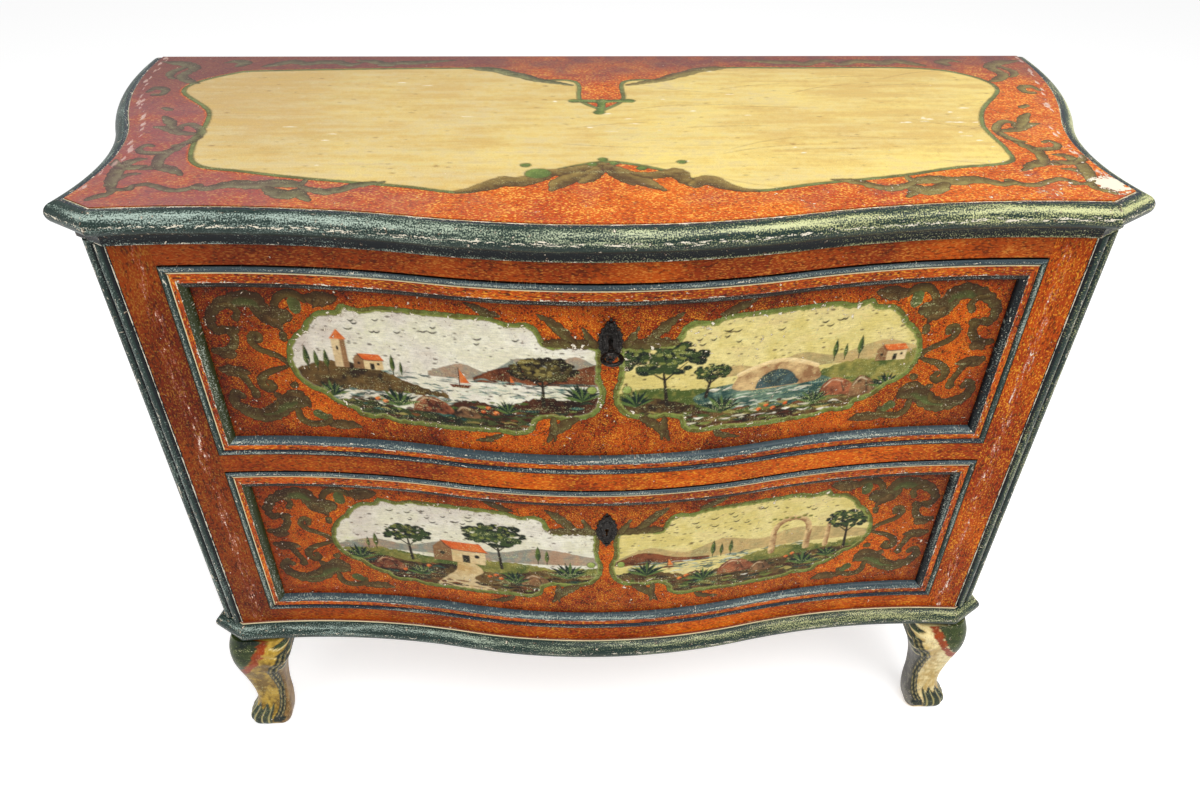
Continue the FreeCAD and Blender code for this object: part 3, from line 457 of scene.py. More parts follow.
@dataclass(frozen=True)
class BarePine:
    """Unpainted conifer board, darkened by age, its grain along one axis."""

    name: str
    grain: tuple[float, float, float] = (2.2, 46.0, 46.0)
    pale: Colour = tone(172, 130, 84)
    dark: Colour = tone(112, 74, 42)
    grime: Colour = tone(62, 44, 30)

    def coat(self, book: Book, place: Val) -> tuple[Val, Val]:
        """Lay the wood.

        Args:
            book: Node book of the material.
            place: Where on the object.

        Returns:
            Its colour and its relief.
        """
        long = book.stretched(place, self.grain)
        rings = book.grain(long, 1.0, 3.0, 1.6)
        pores = book.grain(long, 9.0, 2.0, 0.4)
        colour = book.mix(rings.step(0.35, 0.68), self.pale, self.dark)
        colour = book.mix(pores.step(0.52, 0.72) * 0.5, colour, self.dark)
        dirt = book.grain(place, 7.0, 4.0)
        colour = book.mix(dirt.step(0.45, 0.75) * 0.55, colour, self.grime)
        return colour, rings * 0.4 + pores * 0.5

    def make(self) -> bpy.types.Material:
        """Build the material.

        Returns:
            The material.
        """
        book = Book(self.name)
        place = book.place()
        colour, height = self.coat(book, place)
        return book.close(
            Base_Color=colour, Roughness=book.grain(place, 60.0) * 0.2 + 0.66,
            Normal=book.bump(height, 0.0005),
        )


@dataclass(frozen=True)
class WroughtIron:
    """Blackened iron, rubbed bright on its high spots."""

    name: str
    black: Colour = tone(30, 27, 25)
    rubbed: Colour = tone(92, 88, 84)

    def make(self) -> bpy.types.Material:
        """Build the material.

        Returns:
            The material.
        """
        book = Book(self.name)
        place = book.place()
        scale = book.grain(place, 420.0, 4.0)
        rust = book.grain(place, 150.0, 3.0)
        colour = book.mix(scale.step(0.50, 0.72) * 0.6, self.black, self.rubbed)
        colour = book.mix(rust.step(0.60, 0.72) * 0.5, colour, tone(74, 42, 26))
        return book.close(
            Base_Color=colour, Metallic=0.8, Roughness=scale * 0.3 + 0.30,
            Normal=book.bump(scale, 0.0003),
        )


class Finishes:
    """All finishes of the piece, each made once."""

    def __init__(self) -> None:
        """Build every material."""
        self.panel = OldPaint("panel_paint").make()
        top_ground = RedGround(
            warm=tone(206, 94, 9), deep=tone(184, 68, 9), dark=tone(98, 32, 10), light=tone(250, 192, 84),
            stretch=(0.6, 1.0, 1.0), scale=400.0, dark_share=0.66, light_share=0.78,
        )
        self.top = OldPaint(
            "top_paint", top_ground, brush=(16.0, 420.0, 420.0), brush_share=0.12, gloss=0.36,
            stain=(0.50, 0.40, 0.66), veil_share=0.46, kept=0.5, ragged=1.6,
        ).make()
        self.side = OldPaint("side_paint", RedGround(stretch=(1.0, 1.0, 0.6))).make()
        # The mouldings' left pale tone is a bluish painted reflection.
        self.moulding = OldPaint(
            "moulding_paint", along_run=True, brush=(26.0, 620.0, 620.0), brush_share=0.45, gloss=0.34,
            rub=tone(208, 210, 150), rub_left=tone(178, 196, 184), coat=0.16, ragged=0.5,
        ).make()
        self.frame = OldPaint(
            "frame_paint", RedGround(stretch=(0.35, 1.0, 1.0)), along_run=True, brush=(40.0, 900.0, 900.0),
            brush_share=0.5, rub=tone(176, 186, 172), rub_left=tone(176, 186, 172), coat=0.14, ragged=0.25,
        ).make()
        self.leg = OldPaint(
            "leg_paint", brush=(300.0, 300.0, 60.0), brush_share=0.36, gloss=0.32, ragged=0.3,
        ).make()
        across = BarePine("pine_across")
        inward = BarePine("pine_inward", grain=(46.0, 2.2, 46.0))
        upright = BarePine("pine_upright", grain=(46.0, 46.0, 2.2))
        self.pine_across = across.make()
        self.pine_inward = inward.make()
        self.back = BarePine(
            "back_pine", pale=tone(120, 84, 54), dark=tone(74, 50, 32), grime=tone(40, 30, 24),
        ).make()
        bright, low = tone(202, 85, 8), tone(148, 50, 7)
        rail_ground = RedGround(bright, low, stretch=(0.42, 1.0, 1.0), dark_share=0.66, light_share=0.6)
        self.rail = CaseBoard("rail_paint", across, rail_ground).make()
        dusky = RedGround(
            warm=tone(186, 78, 12), deep=tone(134, 48, 9), light=tone(226, 150, 62), stretch=(0.38, 1.0, 1.0),
            dark_share=0.66, light_share=0.55,
        )
        self.top_rail = CaseBoard("top_rail_paint", across, dusky).make()
        post_ground = RedGround(bright, low, stretch=(1.0, 1.0, 0.42), dark_share=0.70, light_share=0.6)
        self.post = CaseBoard(
            "post_paint", upright, post_ground, front_only=False, worn_arris=True, shadow=(0.24, 0.22, 0.50),
        ).make()
        drawn_up = RedGround(stretch=(1.0, 1.0, 0.5))
        self.flank = CaseBoard("flank_paint", upright, drawn_up, front_only=False).make()
        self.board = CaseBoard("top_board_paint", across, RedGround(), front_only=False).make()
        self.iron = WroughtIron("wrought_iron").make()


# ---------------------------------------------------------------- plan curves
@dataclass(frozen=True)
class FrontPlan:
    """Convex arc between two concave ones; y counts inwards from the crown."""

    bulge: float = 0.870
    half: float = 0.405
    depth: float = 0.0433

    @property
    def hollow(self) -> float:
        """Radius of the concave arcs."""
        return (self.half**2 + self.depth**2) / (2.0 * self.depth) - self.bulge

    def at(self, x: Any, out: Any = 0.0) -> Any:
        """Return y at x, on the line that stands out from the face.

        Args:
            x: Place across.
            out: How far the line stands out.

        Returns:
            Its place along Y.
        """
        reach = np.abs(x)
        join = self.half * (self.bulge + out) / (self.bulge + self.hollow)
        convex = self.bulge - np.sqrt((self.bulge + out) ** 2 - np.minimum(reach, join) ** 2)
        run = np.maximum(reach, join) - self.half
        concave = self.depth - self.hollow + np.sqrt((self.hollow - out) ** 2 - run**2)
        return np.where(reach <= join, convex, concave)


@dataclass(frozen=True)
class SidePlan:
    """Side of the case: concave at the waist, then convex towards the back."""

    waist: float = 0.502
    waist_y: float = 0.138
    wide: float = 0.565
    wide_y: float = 0.450
    inner: float = 0.300

    def at(self, y: Any, out: Any = 0.0) -> Any:
        """Return how far out the side stands at y.

        Args:
            y: Place from front to back.
            out: How far the line stands out.

        Returns:
            Its place along X.
        """
        rise = self.wide - self.waist
        run = self.wide_y - self.waist_y
        outer = (rise**2 + run**2) / (2.0 * rise) - self.inner
        join = self.waist_y + run * (self.inner - out) / (self.inner + outer)
        near = np.minimum(y, join) - self.waist_y
        far = np.maximum(y, join) - self.wide_y
        hollow = self.waist + self.inner - np.sqrt((self.inner - out) ** 2 - near**2)
        swell = self.wide - outer + np.sqrt((outer + out) ** 2 - far**2)
        return np.where(y <= join, hollow, swell)


FRONT = FrontPlan()
SIDE = SidePlan()


@dataclass(frozen=True)
class CantPlan:
    """Straight face that cuts off a front corner, told for the right side."""

    near_x: float = 0.4845
    far_y: float = 0.059

    @property
    def near(self) -> Vector:
        """Plan point where the front ends."""
        return Vector((self.near_x, float(FRONT.at(self.near_x))))

    @property
    def far(self) -> Vector:
        """Plan point where the side starts."""
        return Vector((float(SIDE.at(self.far_y)), self.far_y))

    def meet(self, centre: Vector, radius: float, guess: Vector, along: Vector) -> Vector:
        """Return where a line through guess crosses a circle, nearest to guess.

        Args:
            centre: Centre of the circle.
            radius: Its radius.
            guess: Point on the line.
            along: Direction of the line.

        Returns:
            The crossing.
        """
        start = guess - centre
        middle = start.dot(along)
        root = math.sqrt(middle**2 - start.dot(start) + radius**2)
        return guess + along * min((-middle - root, -middle + root), key=abs)

    def corners(self, out: float) -> tuple[Vector, Vector]:
        """Return both ends of the face when the whole outline moves out.

        Args:
            out: How far the outline moves.

        Returns:
            The near end and the far end.
        """
        along = (self.far - self.near).normalized()
        normal = Vector((along.y, -along.x))
        front = Vector((FRONT.half, FRONT.depth - FRONT.hollow))
        side = Vector((SIDE.waist + SIDE.inner, SIDE.waist_y))
        near = self.meet(front, FRONT.hollow - out, self.near + normal * out, along)
        far = self.meet(side, SIDE.inner - out, self.far + normal * out, along)
        return near, far

    def point(self, run: float, out: float) -> Vector:
        """Return a plan point at a run along the face and a distance out."""
        along = (self.far - self.near).normalized()
        return self.near + along * run + Vector((along.y, -along.x)) * out

    @property
    def length(self) -> float:
        """Width of the face."""
        return (self.far - self.near).length


CANT = CantPlan()


class Run(Enum):
    """Stretches of the outline that a moulding follows."""

    FRONT = "front"
    CORNER = "corner"
    SIDE = "side"

    def trace(self, share: np.ndarray, out: float) -> np.ndarray:
        """Follow the stretch, told for the right side.

        Args:
            share: How far along, from 0 to 1, at each step.
            out: How far out from the case.

        Returns:
            Plan points, one row for each step, y counted from the crown.
        """
        near, far = CANT.corners(out)
        if self is Run.FRONT:
            x = (2.0 * share - 1.0) * near.x
            return np.stack([x, FRONT.at(x, out)], 1)
        if self is Run.CORNER:
            return np.array(near)[None] + (np.array(far) - np.array(near))[None] * share[:, None]
        y = far.y + share * (CASE_DEPTH - far.y)
        return np.stack([SIDE.at(y, out), y], 1)


# ------------------------------------------------------------------- modelling
class Bench:
    """Modelling by hand: primitives shaped in edit mode, then set in place."""

    MOST_CUTS = 100

    @staticmethod
    def clear() -> None:
        """Deselect everything."""
        if bpy.context.object and bpy.context.object.mode != "OBJECT":
            bpy.ops.object.mode_set(mode="OBJECT")
        bpy.ops.object.select_all(action="DESELECT")

    @staticmethod
    def named(name: str) -> bpy.types.Object:
        """Name the active object and keep its place in its mesh.

        Args:
            name: Its new name.

        Returns:
            The object.
        """
        piece = bpy.context.active_object
        piece.name = name
        piece.data.name = name
        bpy.ops.object.transform_apply(location=True, rotation=True, scale=True)
        return piece

    @staticmethod
    def choose(piece: bpy.types.Object) -> None:
        """Select one piece alone and make it active.

        Args:
            piece: Piece to choose.
        """
        Bench.clear()
        piece.select_set(True)
        bpy.context.view_layer.objects.active = piece

    @staticmethod
    def cut(piece: bpy.types.Object, cutter: bpy.types.Object) -> None:
        """Cut a piece with another one, which is used up.

        Args:
            piece: Piece to cut.
            cutter: What is taken out of it.
        """
        Bench.choose(cutter)
        bpy.ops.object.transform_apply(location=True, rotation=True, scale=True)
        change = piece.modifiers.new("cut", "BOOLEAN")
        change.operation = "DIFFERENCE"
        change.solver = "EXACT"
        change.object = cutter
        Bench.choose(piece)
        bpy.ops.object.modifier_apply(modifier=change.name)
        bpy.data.objects.remove(cutter)

    @staticmethod
    def twin(
        model: bpy.types.Object, place: Sequence[float], size: Sequence[float] = (1.0, 1.0, 1.0)
    ) -> bpy.types.Object:
        """Copy a model that lies at the origin, with its own mesh.

        Args:
            model: Model to copy.
            place: Where the copy lies.
            size: Its scale along each axis.

        Returns:
            The copy.
        """
        piece = model.copy()
        piece.data = model.data.copy()
        bpy.context.scene.collection.objects.link(piece)
        Bench.move(piece, Bench.spots(model) * np.array(size) + np.array(place))
        return piece

    @staticmethod
    def pick_edges(piece: bpy.types.Object, chosen: Callable[[np.ndarray, np.ndarray], np.ndarray]) -> None:
        """Go to edit mode with the edges selected whose two ends pass a test.

        Args:
            piece: Piece to edit.
            chosen: Test that a place has to pass.
        """
        mesh = piece.data
        bpy.ops.object.mode_set(mode="EDIT")
        bpy.ops.mesh.select_mode(type="EDGE")
        bpy.ops.mesh.select_all(action="DESELECT")
        bpy.ops.object.mode_set(mode="OBJECT")
        ends = np.zeros(len(mesh.edges) * 2, np.int32)
        mesh.edges.foreach_get("vertices", ends)
        spots = Bench.spots(piece)
        ends = ends.reshape(-1, 2)
        mesh.edges.foreach_set("select", chosen(spots[ends[:, 0]], spots[ends[:, 1]]))
        bpy.ops.object.mode_set(mode="EDIT")

    @staticmethod
    def spots(piece: bpy.types.Object) -> np.ndarray:
        """Return the places of a piece's vertices.

        Args:
            piece: Piece to read.

        Returns:
            One row for each vertex.
        """
        flat = np.zeros(len(piece.data.vertices) * 3, np.float32)
        piece.data.vertices.foreach_get("co", flat)
        return flat.reshape(-1, 3)

    @staticmethod
    def move(piece: bpy.types.Object, spots: np.ndarray) -> None:
        """Set the places of a piece's vertices.

        Args:
            piece: Piece to move.
            spots: New place of each vertex.
        """
        piece.data.vertices.foreach_set("co", np.ascontiguousarray(spots, np.float32).ravel())
        piece.data.update()

    @staticmethod
    def layer(piece: bpy.types.Object, name: str, values: np.ndarray) -> None:
        """Store a value, a vector or a colour for each vertex.

        Args:
            piece: Piece that carries it.
            name: Its name.
            values: One row for each vertex.
        """
        values = np.asarray(values, np.float32)
        if values.ndim == 1:
            kind, field = "FLOAT", "value"
        elif name == "run":
            kind, field = "FLOAT_VECTOR", "vector"
        else:
            kind, field = "FLOAT_COLOR", "color"
            values = np.concatenate([values, np.ones((len(values), 1), np.float32)], 1)
        piece.data.attributes.new(name, kind, "POINT").data.foreach_set(field, values.ravel())

    @staticmethod
    def finish(piece: bpy.types.Object, material: bpy.types.Material) -> bpy.types.Object:
        """Face outwards, shade smooth between sharp edges and coat with a material.

        Args:
            piece: Piece to finish.
            material: Its coat.

        Returns:
            The finished piece.
        """
        Bench.choose(piece)
        bpy.ops.object.mode_set(mode="EDIT")
        bpy.ops.mesh.select_all(action="SELECT")
        bpy.ops.mesh.normals_make_consistent(inside=False)
        bpy.ops.object.mode_set(mode="OBJECT")
        bpy.ops.object.shade_smooth_by_angle(angle=SMOOTH)
        piece.data.materials.clear()
        piece.data.materials.append(material)
        return piece

    @staticmethod
    def tube(name: str, rings: np.ndarray) -> tuple[bpy.types.Object, np.ndarray, np.ndarray]:
        """Model a closed bar: a cylinder cut into rings, each then set in place.

        Args:
            name: Name of the piece.
            rings: Places, by ring, by point round the ring and by axis.

        Returns:
            The piece, and the ring and the point of each vertex.
        """
        count, around = rings.shape[:2]
        Bench.clear()
        bpy.ops.mesh.primitive_cylinder_add(vertices=around, radius=1.0, depth=1.0, end_fill_type="NGON")
        piece = Bench.named(name)
        steps = count - 1
        cuts = [steps - 1] if steps <= Bench.MOST_CUTS else [1, steps // 2 - 1]
        for cut in cuts:
            if cut > 0:
                Bench.pick_edges(piece, lambda a, b: np.abs(a[:, 2] - b[:, 2]) > 1e-3)
                bpy.ops.mesh.subdivide(number_cuts=cut)
                bpy.ops.object.mode_set(mode="OBJECT")
        raw = Bench.spots(piece)
        ring = np.rint((raw[:, 2] + 0.5) * steps).astype(int)
        turn = np.arctan2(raw[:, 0], raw[:, 1]) / (2.0 * math.pi) * around
        spoke = np.rint(turn).astype(int) % around
        Bench.move(piece, rings[ring, spoke])
        return piece, ring, spoke

    @staticmethod
    def on_grid(piece: bpy.types.Object, places: np.ndarray) -> np.ndarray:
        """Return where each vertex of a plain square grid belongs, by its column and row.

        Args:
            piece: Grid.
            places: Places by row, by column and by axis.

        Returns:
            One row for each vertex.
        """
        rows, columns = places.shape[:2]
        raw = Bench.spots(piece)
        column = np.rint((raw[:, 0] + 0.5) * (columns - 1)).astype(int)
        row = np.rint((raw[:, 1] + 0.5) * (rows - 1)).astype(int)
        return places[row, column]

    @staticmethod
    def sheet(name: str, places: np.ndarray, inward: Vector, ruled: bool) -> bpy.types.Object:
        """Model a thin closed skin whose outer face is a fine grid.

        Args:
            name: Name of the piece.
            places: Places of the outer face, by row, by column and by axis.
            inward: How the skin's back lies from its face.
            ruled: Whether the back runs straight from the foot to the head; otherwise
                it is one flat face.

        Returns:
            The skin, its first vertices being those of the grid.
        """
        rows, columns = places.shape[:2]
        Bench.clear()
        bpy.ops.mesh.primitive_grid_add(x_subdivisions=columns - 1, y_subdivisions=rows - 1, size=1.0)
        piece = Bench.named(name)
        if ruled:
            for level in (-0.5, 0.5):
                Bench.pick_edges(piece, lambda a, b, k=level: (
                    (np.abs(a[:, 1] - k) + np.abs(b[:, 1] - k) < 1e-5)
                    & (np.abs(a[:, 2]) < 1e-6) & (np.abs(b[:, 2]) < 1e-6)
                ))
                bpy.ops.mesh.extrude_edges_move(TRANSFORM_OT_translate={"value": (0.0, 0.0, -1.0)})
                bpy.ops.object.mode_set(mode="OBJECT")
            Bench.pick_edges(piece, lambda a, b: (a[:, 2] < -0.5) & (b[:, 2] < -0.5))
            bpy.ops.mesh.bridge_edge_loops()
            bpy.ops.mesh.select_all(action="SELECT")
            bpy.ops.mesh.fill_holes(sides=0)
            bpy.ops.object.mode_set(mode="OBJECT")
            spots = Bench.on_grid(piece, places)
            spots[Bench.spots(piece)[:, 2] < -0.5] += np.array(inward)
            Bench.move(piece, spots)
            return piece
        Bench.move(piece, Bench.on_grid(piece, places))
        bpy.ops.object.mode_set(mode="EDIT")
        bpy.ops.mesh.select_mode(type="EDGE")
        bpy.ops.mesh.select_all(action="DESELECT")
        bpy.ops.mesh.select_non_manifold()
        bpy.ops.mesh.extrude_edges_move(TRANSFORM_OT_translate={"value": tuple(inward)})
        bpy.ops.mesh.edge_face_add()
        bpy.ops.object.mode_set(mode="OBJECT")
        return piece

    @staticmethod
    def join(name: str, pieces: Sequence[bpy.types.Object]) -> bpy.types.Object:
        """Join loose pieces into one.

        Args:
            name: Name of the whole.
            pieces: Pieces to join.

        Returns:
            The whole.
        """
        Bench.clear()
        for piece in pieces:
            piece.select_set(True)
        bpy.context.view_layer.objects.active = pieces[0]
        bpy.ops.object.join()
        return Bench.named(name)


def mirrored(places: np.ndarray, hand: Hand) -> np.ndarray:
    """Turn places told for the right side into those of a given side."""
    return places * np.array([hand.value, 1.0, 1.0])


def shown(piece: bpy.types.Object, body: str, slot: str, *nodes: str) -> bpy.types.Object:
    """Tie a finished piece to its body and hide the nodes that it stands for.

    Args:
        piece: Finished piece.
        body: Body that it rides on.
        slot: Its slot; not used.
        nodes: Nodes that it replaces.

    Returns:
        The same piece.
    """
    if nodes:
        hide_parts(*nodes)
    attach(piece, body)
    return piece


# --------------------------------------------------------------------- canvas
def spline(knots: Sequence[Sequence[float]], step: float = 1.0) -> np.ndarray:
    """Draw a smooth line through knots.

    Args:
        knots: Points, each with two places and any further values to blend.
        step: Length of a piece of the line, in the canvas's unit.

    Returns:
        Points along the line, with the values blended.
    """
    points = np.asarray(knots, float)
    points = np.concatenate([2.0 * points[:1] - points[1:2], points, 2.0 * points[-1:] - points[-2:-1]])
    rows = []
    for before, start, end, after in zip(points, points[1:], points[2:], points[3:]):
        count = max(2, int(np.hypot(*(end - start)[:2]) / step))
        t = np.linspace(0.0, 1.0, count, endpoint=False)[:, None]
        square = 2.0 * before - 5.0 * start + 4.0 * end - after
        cube = 3.0 * start - before - 3.0 * end + after
        rows.append(0.5 * (2.0 * start + (end - before) * t + square * t**2 + cube * t**3))
    rows.append(points[-2:-1])
    return np.concatenate(rows)


def clouds(shape: tuple[int, int], cell: float, seed: int, layers: int = 3) -> np.ndarray:
    """Make soft seeded noise from -0.5 to 0.5 over a canvas; cell is its coarsest patch in cells.

    Args:
        shape: Rows and columns.
        cell: Size of the coarsest patch in cells.
        seed: Start of the draws.
        layers: How many finer layers it has.

    Returns:
        The noise.
    """
    rng = np.random.default_rng(seed)
    total = np.zeros(shape)
    weight = 0.0
    for layer in range(layers):
        size = max(1.0, cell / 2**layer)
        coarse = rng.random((int(shape[0] / size) + 3, int(shape[1] / size) + 3))
        rows, columns = np.arange(shape[0]) / size, np.arange(shape[1]) / size
        top, left = rows.astype(int), columns.astype(int)
        down, over = (rows - top)[:, None], (columns - left)[None]
        down, over = down * down * (3.0 - 2.0 * down), over * over * (3.0 - 2.0 * over)
        first = coarse[top][:, left] * (1.0 - over) + coarse[top][:, left + 1] * over
        second = coarse[top + 1][:, left] * (1.0 - over) + coarse[top + 1][:, left + 1] * over
        total += (first * (1.0 - down) + second * down) / 2**layer
        weight += 1.0 / 2**layer
    return total / weight - 0.5


def blend(first: Colour, second: Colour, share: np.ndarray) -> np.ndarray:
    """Blend two colours by a share for each cell."""
    return np.asarray(first) * (1.0 - share[..., None]) + np.asarray(second) * share[..., None]


@dataclass(frozen=True)
class Brush:
    """How a stroke is coloured: its body, its lit side and its rim."""

    body: Colour
    light: Colour
    rim: Colour = tone(52, 34, 16)
    rim_width: float = 0.9
    ragged: float = 1.6
    lobe: float = 0.0
    veins: float = 0.0

    def shaded(self, glow: np.ndarray) -> np.ndarray:
        """Colour each cell by how much light falls on it, from 0 to 1."""
        return blend(self.body, self.light, np.clip(glow, 0.0, 1.0))


def plain(body: Colour, light: Colour | None = None, ragged: float = 1.6) -> Brush:
    """Make a brush without a rim; without a light it has one colour."""
    return Brush(body, light or body, rim_width=0.0, ragged=ragged)


class Canvas:
    """Flat field that ornament is painted on, told in millimetres."""

    DEEPEST = 9.0
    WHOLE = (slice(None), slice(None))

    def __init__(self, left: float, foot: float, width: float, height: float, cell: float, seed: int) -> None:
        """Start a bare field.

        Args:
            left: Lowest place across.
            foot: Lowest place upwards.
            width: Extent across.
            height: Extent upwards.
            cell: Size of one cell.
            seed: Start of its noise.
        """
        self.left, self.foot, self.cell = left, foot, cell
        shape = (int(round(height / cell)), int(round(width / cell)))
        self.shape = shape
        self.x = left + (np.arange(shape[1]) + 0.5) * cell
        self.z = foot + (np.arange(shape[0]) + 0.5) * cell
        self.ink = np.zeros((*shape, 3))
        self.cover = np.full(shape, -self.DEEPEST)
        self.wear = np.zeros(shape)
        # The grime layer holds grime together with painted shade and sheen.
        self.grime = np.zeros(shape)
        self.clip = np.ones(shape)
        self.noise = clouds(shape, 5.0 / cell, seed, 3)
        self.drift = clouds(shape, 26.0 / cell, seed + 1, 3)
        self.rng = np.random.default_rng(seed + 2)

    def streaks(self, cell: float, seed: int) -> np.ndarray:
        """Make soft noise that is drawn out across the field; cell is its coarsest patch upwards in cells.

        Args:
            cell: Size of the coarsest patch upwards in cells.
            seed: Start of the draws.

        Returns:
            The noise.
        """
        rows, columns = self.shape
        narrow = clouds((rows, columns // 6 + 2), cell, seed)
        place = np.arange(columns) / 6.0
        left = place.astype(int)
        return narrow[:, left] * (1.0 - place + left) + narrow[:, left + 1] * (place - left)

    def window(self, x: np.ndarray, z: np.ndarray, margin: float) -> tuple[Part, np.ndarray, np.ndarray]:
        """Return the part of the field round some points, and the places of its cells.

        Args:
            x: Places across.
            z: Places upwards.
            margin: How much wider the part is.

        Returns:
            The part, and the places of its columns and rows.
        """
        columns = np.searchsorted(self.x, (x.min() - margin, x.max() + margin))
        rows = np.searchsorted(self.z, (z.min() - margin, z.max() + margin))
        part = (slice(*rows), slice(*columns))
        return part, self.x[part[1]][None, :], self.z[part[0]][:, None]

    def lay(self, part: Part, inside: np.ndarray, colour: Any, share: float = 1.0) -> None:
        """Lay paint where inside is above 0.

        Args:
            part: Part of the field.
            inside: Distance inside the shape, in millimetres, at each cell.
            colour: One colour, or a colour for each cell.
            share: How much it hides.
        """
        inside = inside + 0.0 * self.cover[part]
        alpha = np.clip(0.5 + inside / (1.2 * self.cell), 0.0, 1.0) * self.clip[part] * share
        bare = self.cover[part] < -0.6
        mixed = self.ink[part] * (1.0 - alpha[..., None]) + np.asarray(colour) * alpha[..., None]
        filled = np.where((bare & (inside > -2.5))[..., None], np.asarray(colour) + 0.0 * mixed, mixed)
        self.ink[part] = filled
        reach = np.where(self.clip[part] > 0.5, np.minimum(inside, self.DEEPEST), -self.DEEPEST)
        self.cover[part] = np.maximum(self.cover[part], reach)

    def stroke(self, knots: Sequence[Knot], brush: Brush, share: float = 1.0, side: float = 1.0) -> None:
        """Paint a ribbon through knots of place across, place upwards and half width.

        Args:
            knots: Places and half widths along the ribbon.
            brush: How it is coloured.
            share: How much it hides.
            side: Which edge is lit.
        """
        line = spline(knots, 1.6)
        half = np.maximum(line[:, 2], 0.25)
        steps = np.hypot(*np.diff(line[:, :2], axis=0).T)
        run = np.concatenate([[0.0], np.cumsum(steps)])
        if brush.lobe:
            half = half * (0.74 + 0.46 * np.abs(np.sin(run / brush.lobe * math.pi)))
        part, x, z = self.window(line[:, 0], line[:, 1], half.max() + brush.rim_width + 3.0)
        if x.size == 0 or z.size == 0:
            return
        best = np.full(self.cover[part].shape, -self.DEEPEST)
        across = np.zeros(best.shape)
        along = np.zeros(best.shape)
        for number in range(len(line) - 1):
            start, gap = line[number, :2], line[number + 1, :2] - line[number, :2]
            length = max(float(gap @ gap), 1e-9)
            t = np.clip(((x - start[0]) * gap[0] + (z - start[1]) * gap[1]) / length, 0.0, 1.0)
            near_x, near_z = x - start[0] - gap[0] * t, z - start[1] - gap[1] * t
            reach = half[number] + (half[number + 1] - half[number]) * t
            inside = reach - np.hypot(near_x, near_z)
            better = inside > best
            turn = np.sign(gap[0] * near_z - gap[1] * near_x)
            across = np.where(better, turn * np.clip(1.0 - inside / reach, 0.0, 1.0), across)
            along = np.where(better, run[number] + steps[number] * t, along)
            best = np.maximum(best, inside)
        best = best + self.noise[part] * brush.ragged
        if brush.rim_width:
            self.lay(part, best + brush.rim_width, brush.rim, share)
        glow = np.clip(0.42 + 0.50 * across * side + 1.3 * self.noise[part], 0.0, 1.0)
        if brush.veins:
            ribs = np.abs((along / brush.veins + 0.9 * np.abs(across)) % 1.0 - 0.5)
            glow = glow - 0.7 * np.clip(1.0 - ribs * 7.0, 0.0, 1.0)
        self.lay(part, best, brush.shaded(glow), share)

    def blob(self, x: float, z: float, wide: float, high: float, brush: Brush, share: float = 1.0) -> None:
        """Paint an oval dab by its half sizes.

        Args:
            x: Place across.
            z: Place upwards.
            wide: Half its breadth.
            high: Half its height.
            brush: How it is coloured.
            share: How much it hides.
        """
        part, across, up = self.window(np.array([x]), np.array([z]), max(wide, high) + brush.rim_width + 3.0)
        scaled = np.hypot((across - x) / wide, (up - z) / high)
        inside = (1.0 - scaled) * min(wide, high) + self.noise[part] * brush.ragged
        if brush.rim_width:
            self.lay(part, inside + brush.rim_width, brush.rim, share)
        glow = 0.5 + 0.35 * ((up - z) / high - (across - x) / wide) + self.noise[part]
        self.lay(part, inside, brush.shaded(glow), share)

    def inside(self, corners: Sequence[Sequence[float]], smooth: bool = False, part: Any = None) -> np.ndarray:
        """Return how far each cell, of the field or of a part of it, lies inside an outline.

        Args:
            corners: Outline.
            smooth: Whether it is drawn as a smooth line.
            part: Part of the field; all of it if None.

        Returns:
            Distances in millimetres, below 0 outside.
        """
        ring = np.asarray(corners, float)
        if smooth:
            ring = spline(np.concatenate([ring, ring[:1]]), 4.0)[:-1]
        part = part or self.WHOLE
        x, z = self.x[part[1]][None, :], self.z[part[0]][:, None]
        hit = np.zeros((z.size, x.size), bool)
        near = np.full(hit.shape, 1e9)
        for start, end in zip(ring, np.roll(ring, -1, axis=0)):
            gap = end - start
            length = max(float(gap @ gap), 1e-9)
            t = np.clip(((x - start[0]) * gap[0] + (z - start[1]) * gap[1]) / length, 0.0, 1.0)
            near = np.minimum(near, (x - start[0] - gap[0] * t) ** 2 + (z - start[1] - gap[1] * t) ** 2)
            if start[1] != end[1]:
                crossing = start[0] + (z - start[1]) * gap[0] / gap[1]
                hit ^= ((start[1] > z) != (end[1] > z)) & (x < crossing)
        return np.where(hit, 1.0, -1.0) * np.sqrt(near)

    def fill(
        self, corners: Sequence[Sequence[float]], brush: Brush, share: float = 1.0, smooth: bool = False
    ) -> None:
        """Paint a closed shape.

        Args:
            corners: Outline.
            brush: How it is coloured.
            share: How much it hides.
            smooth: Whether it is drawn as a smooth line.
        """
        ring = np.asarray(corners, float)
        part, _, _ = self.window(ring[:, 0], ring[:, 1], 8.0)
        noise, drift = self.noise[part], self.drift[part]
        if noise.size == 0:
            return
        inside = self.inside(corners, smooth, part) + noise * brush.ragged
        if brush.rim_width:
            self.lay(part, inside + brush.rim_width, brush.rim, share)
        self.lay(part, inside, brush.shaded(0.5 + 1.8 * drift + 1.2 * noise), share)

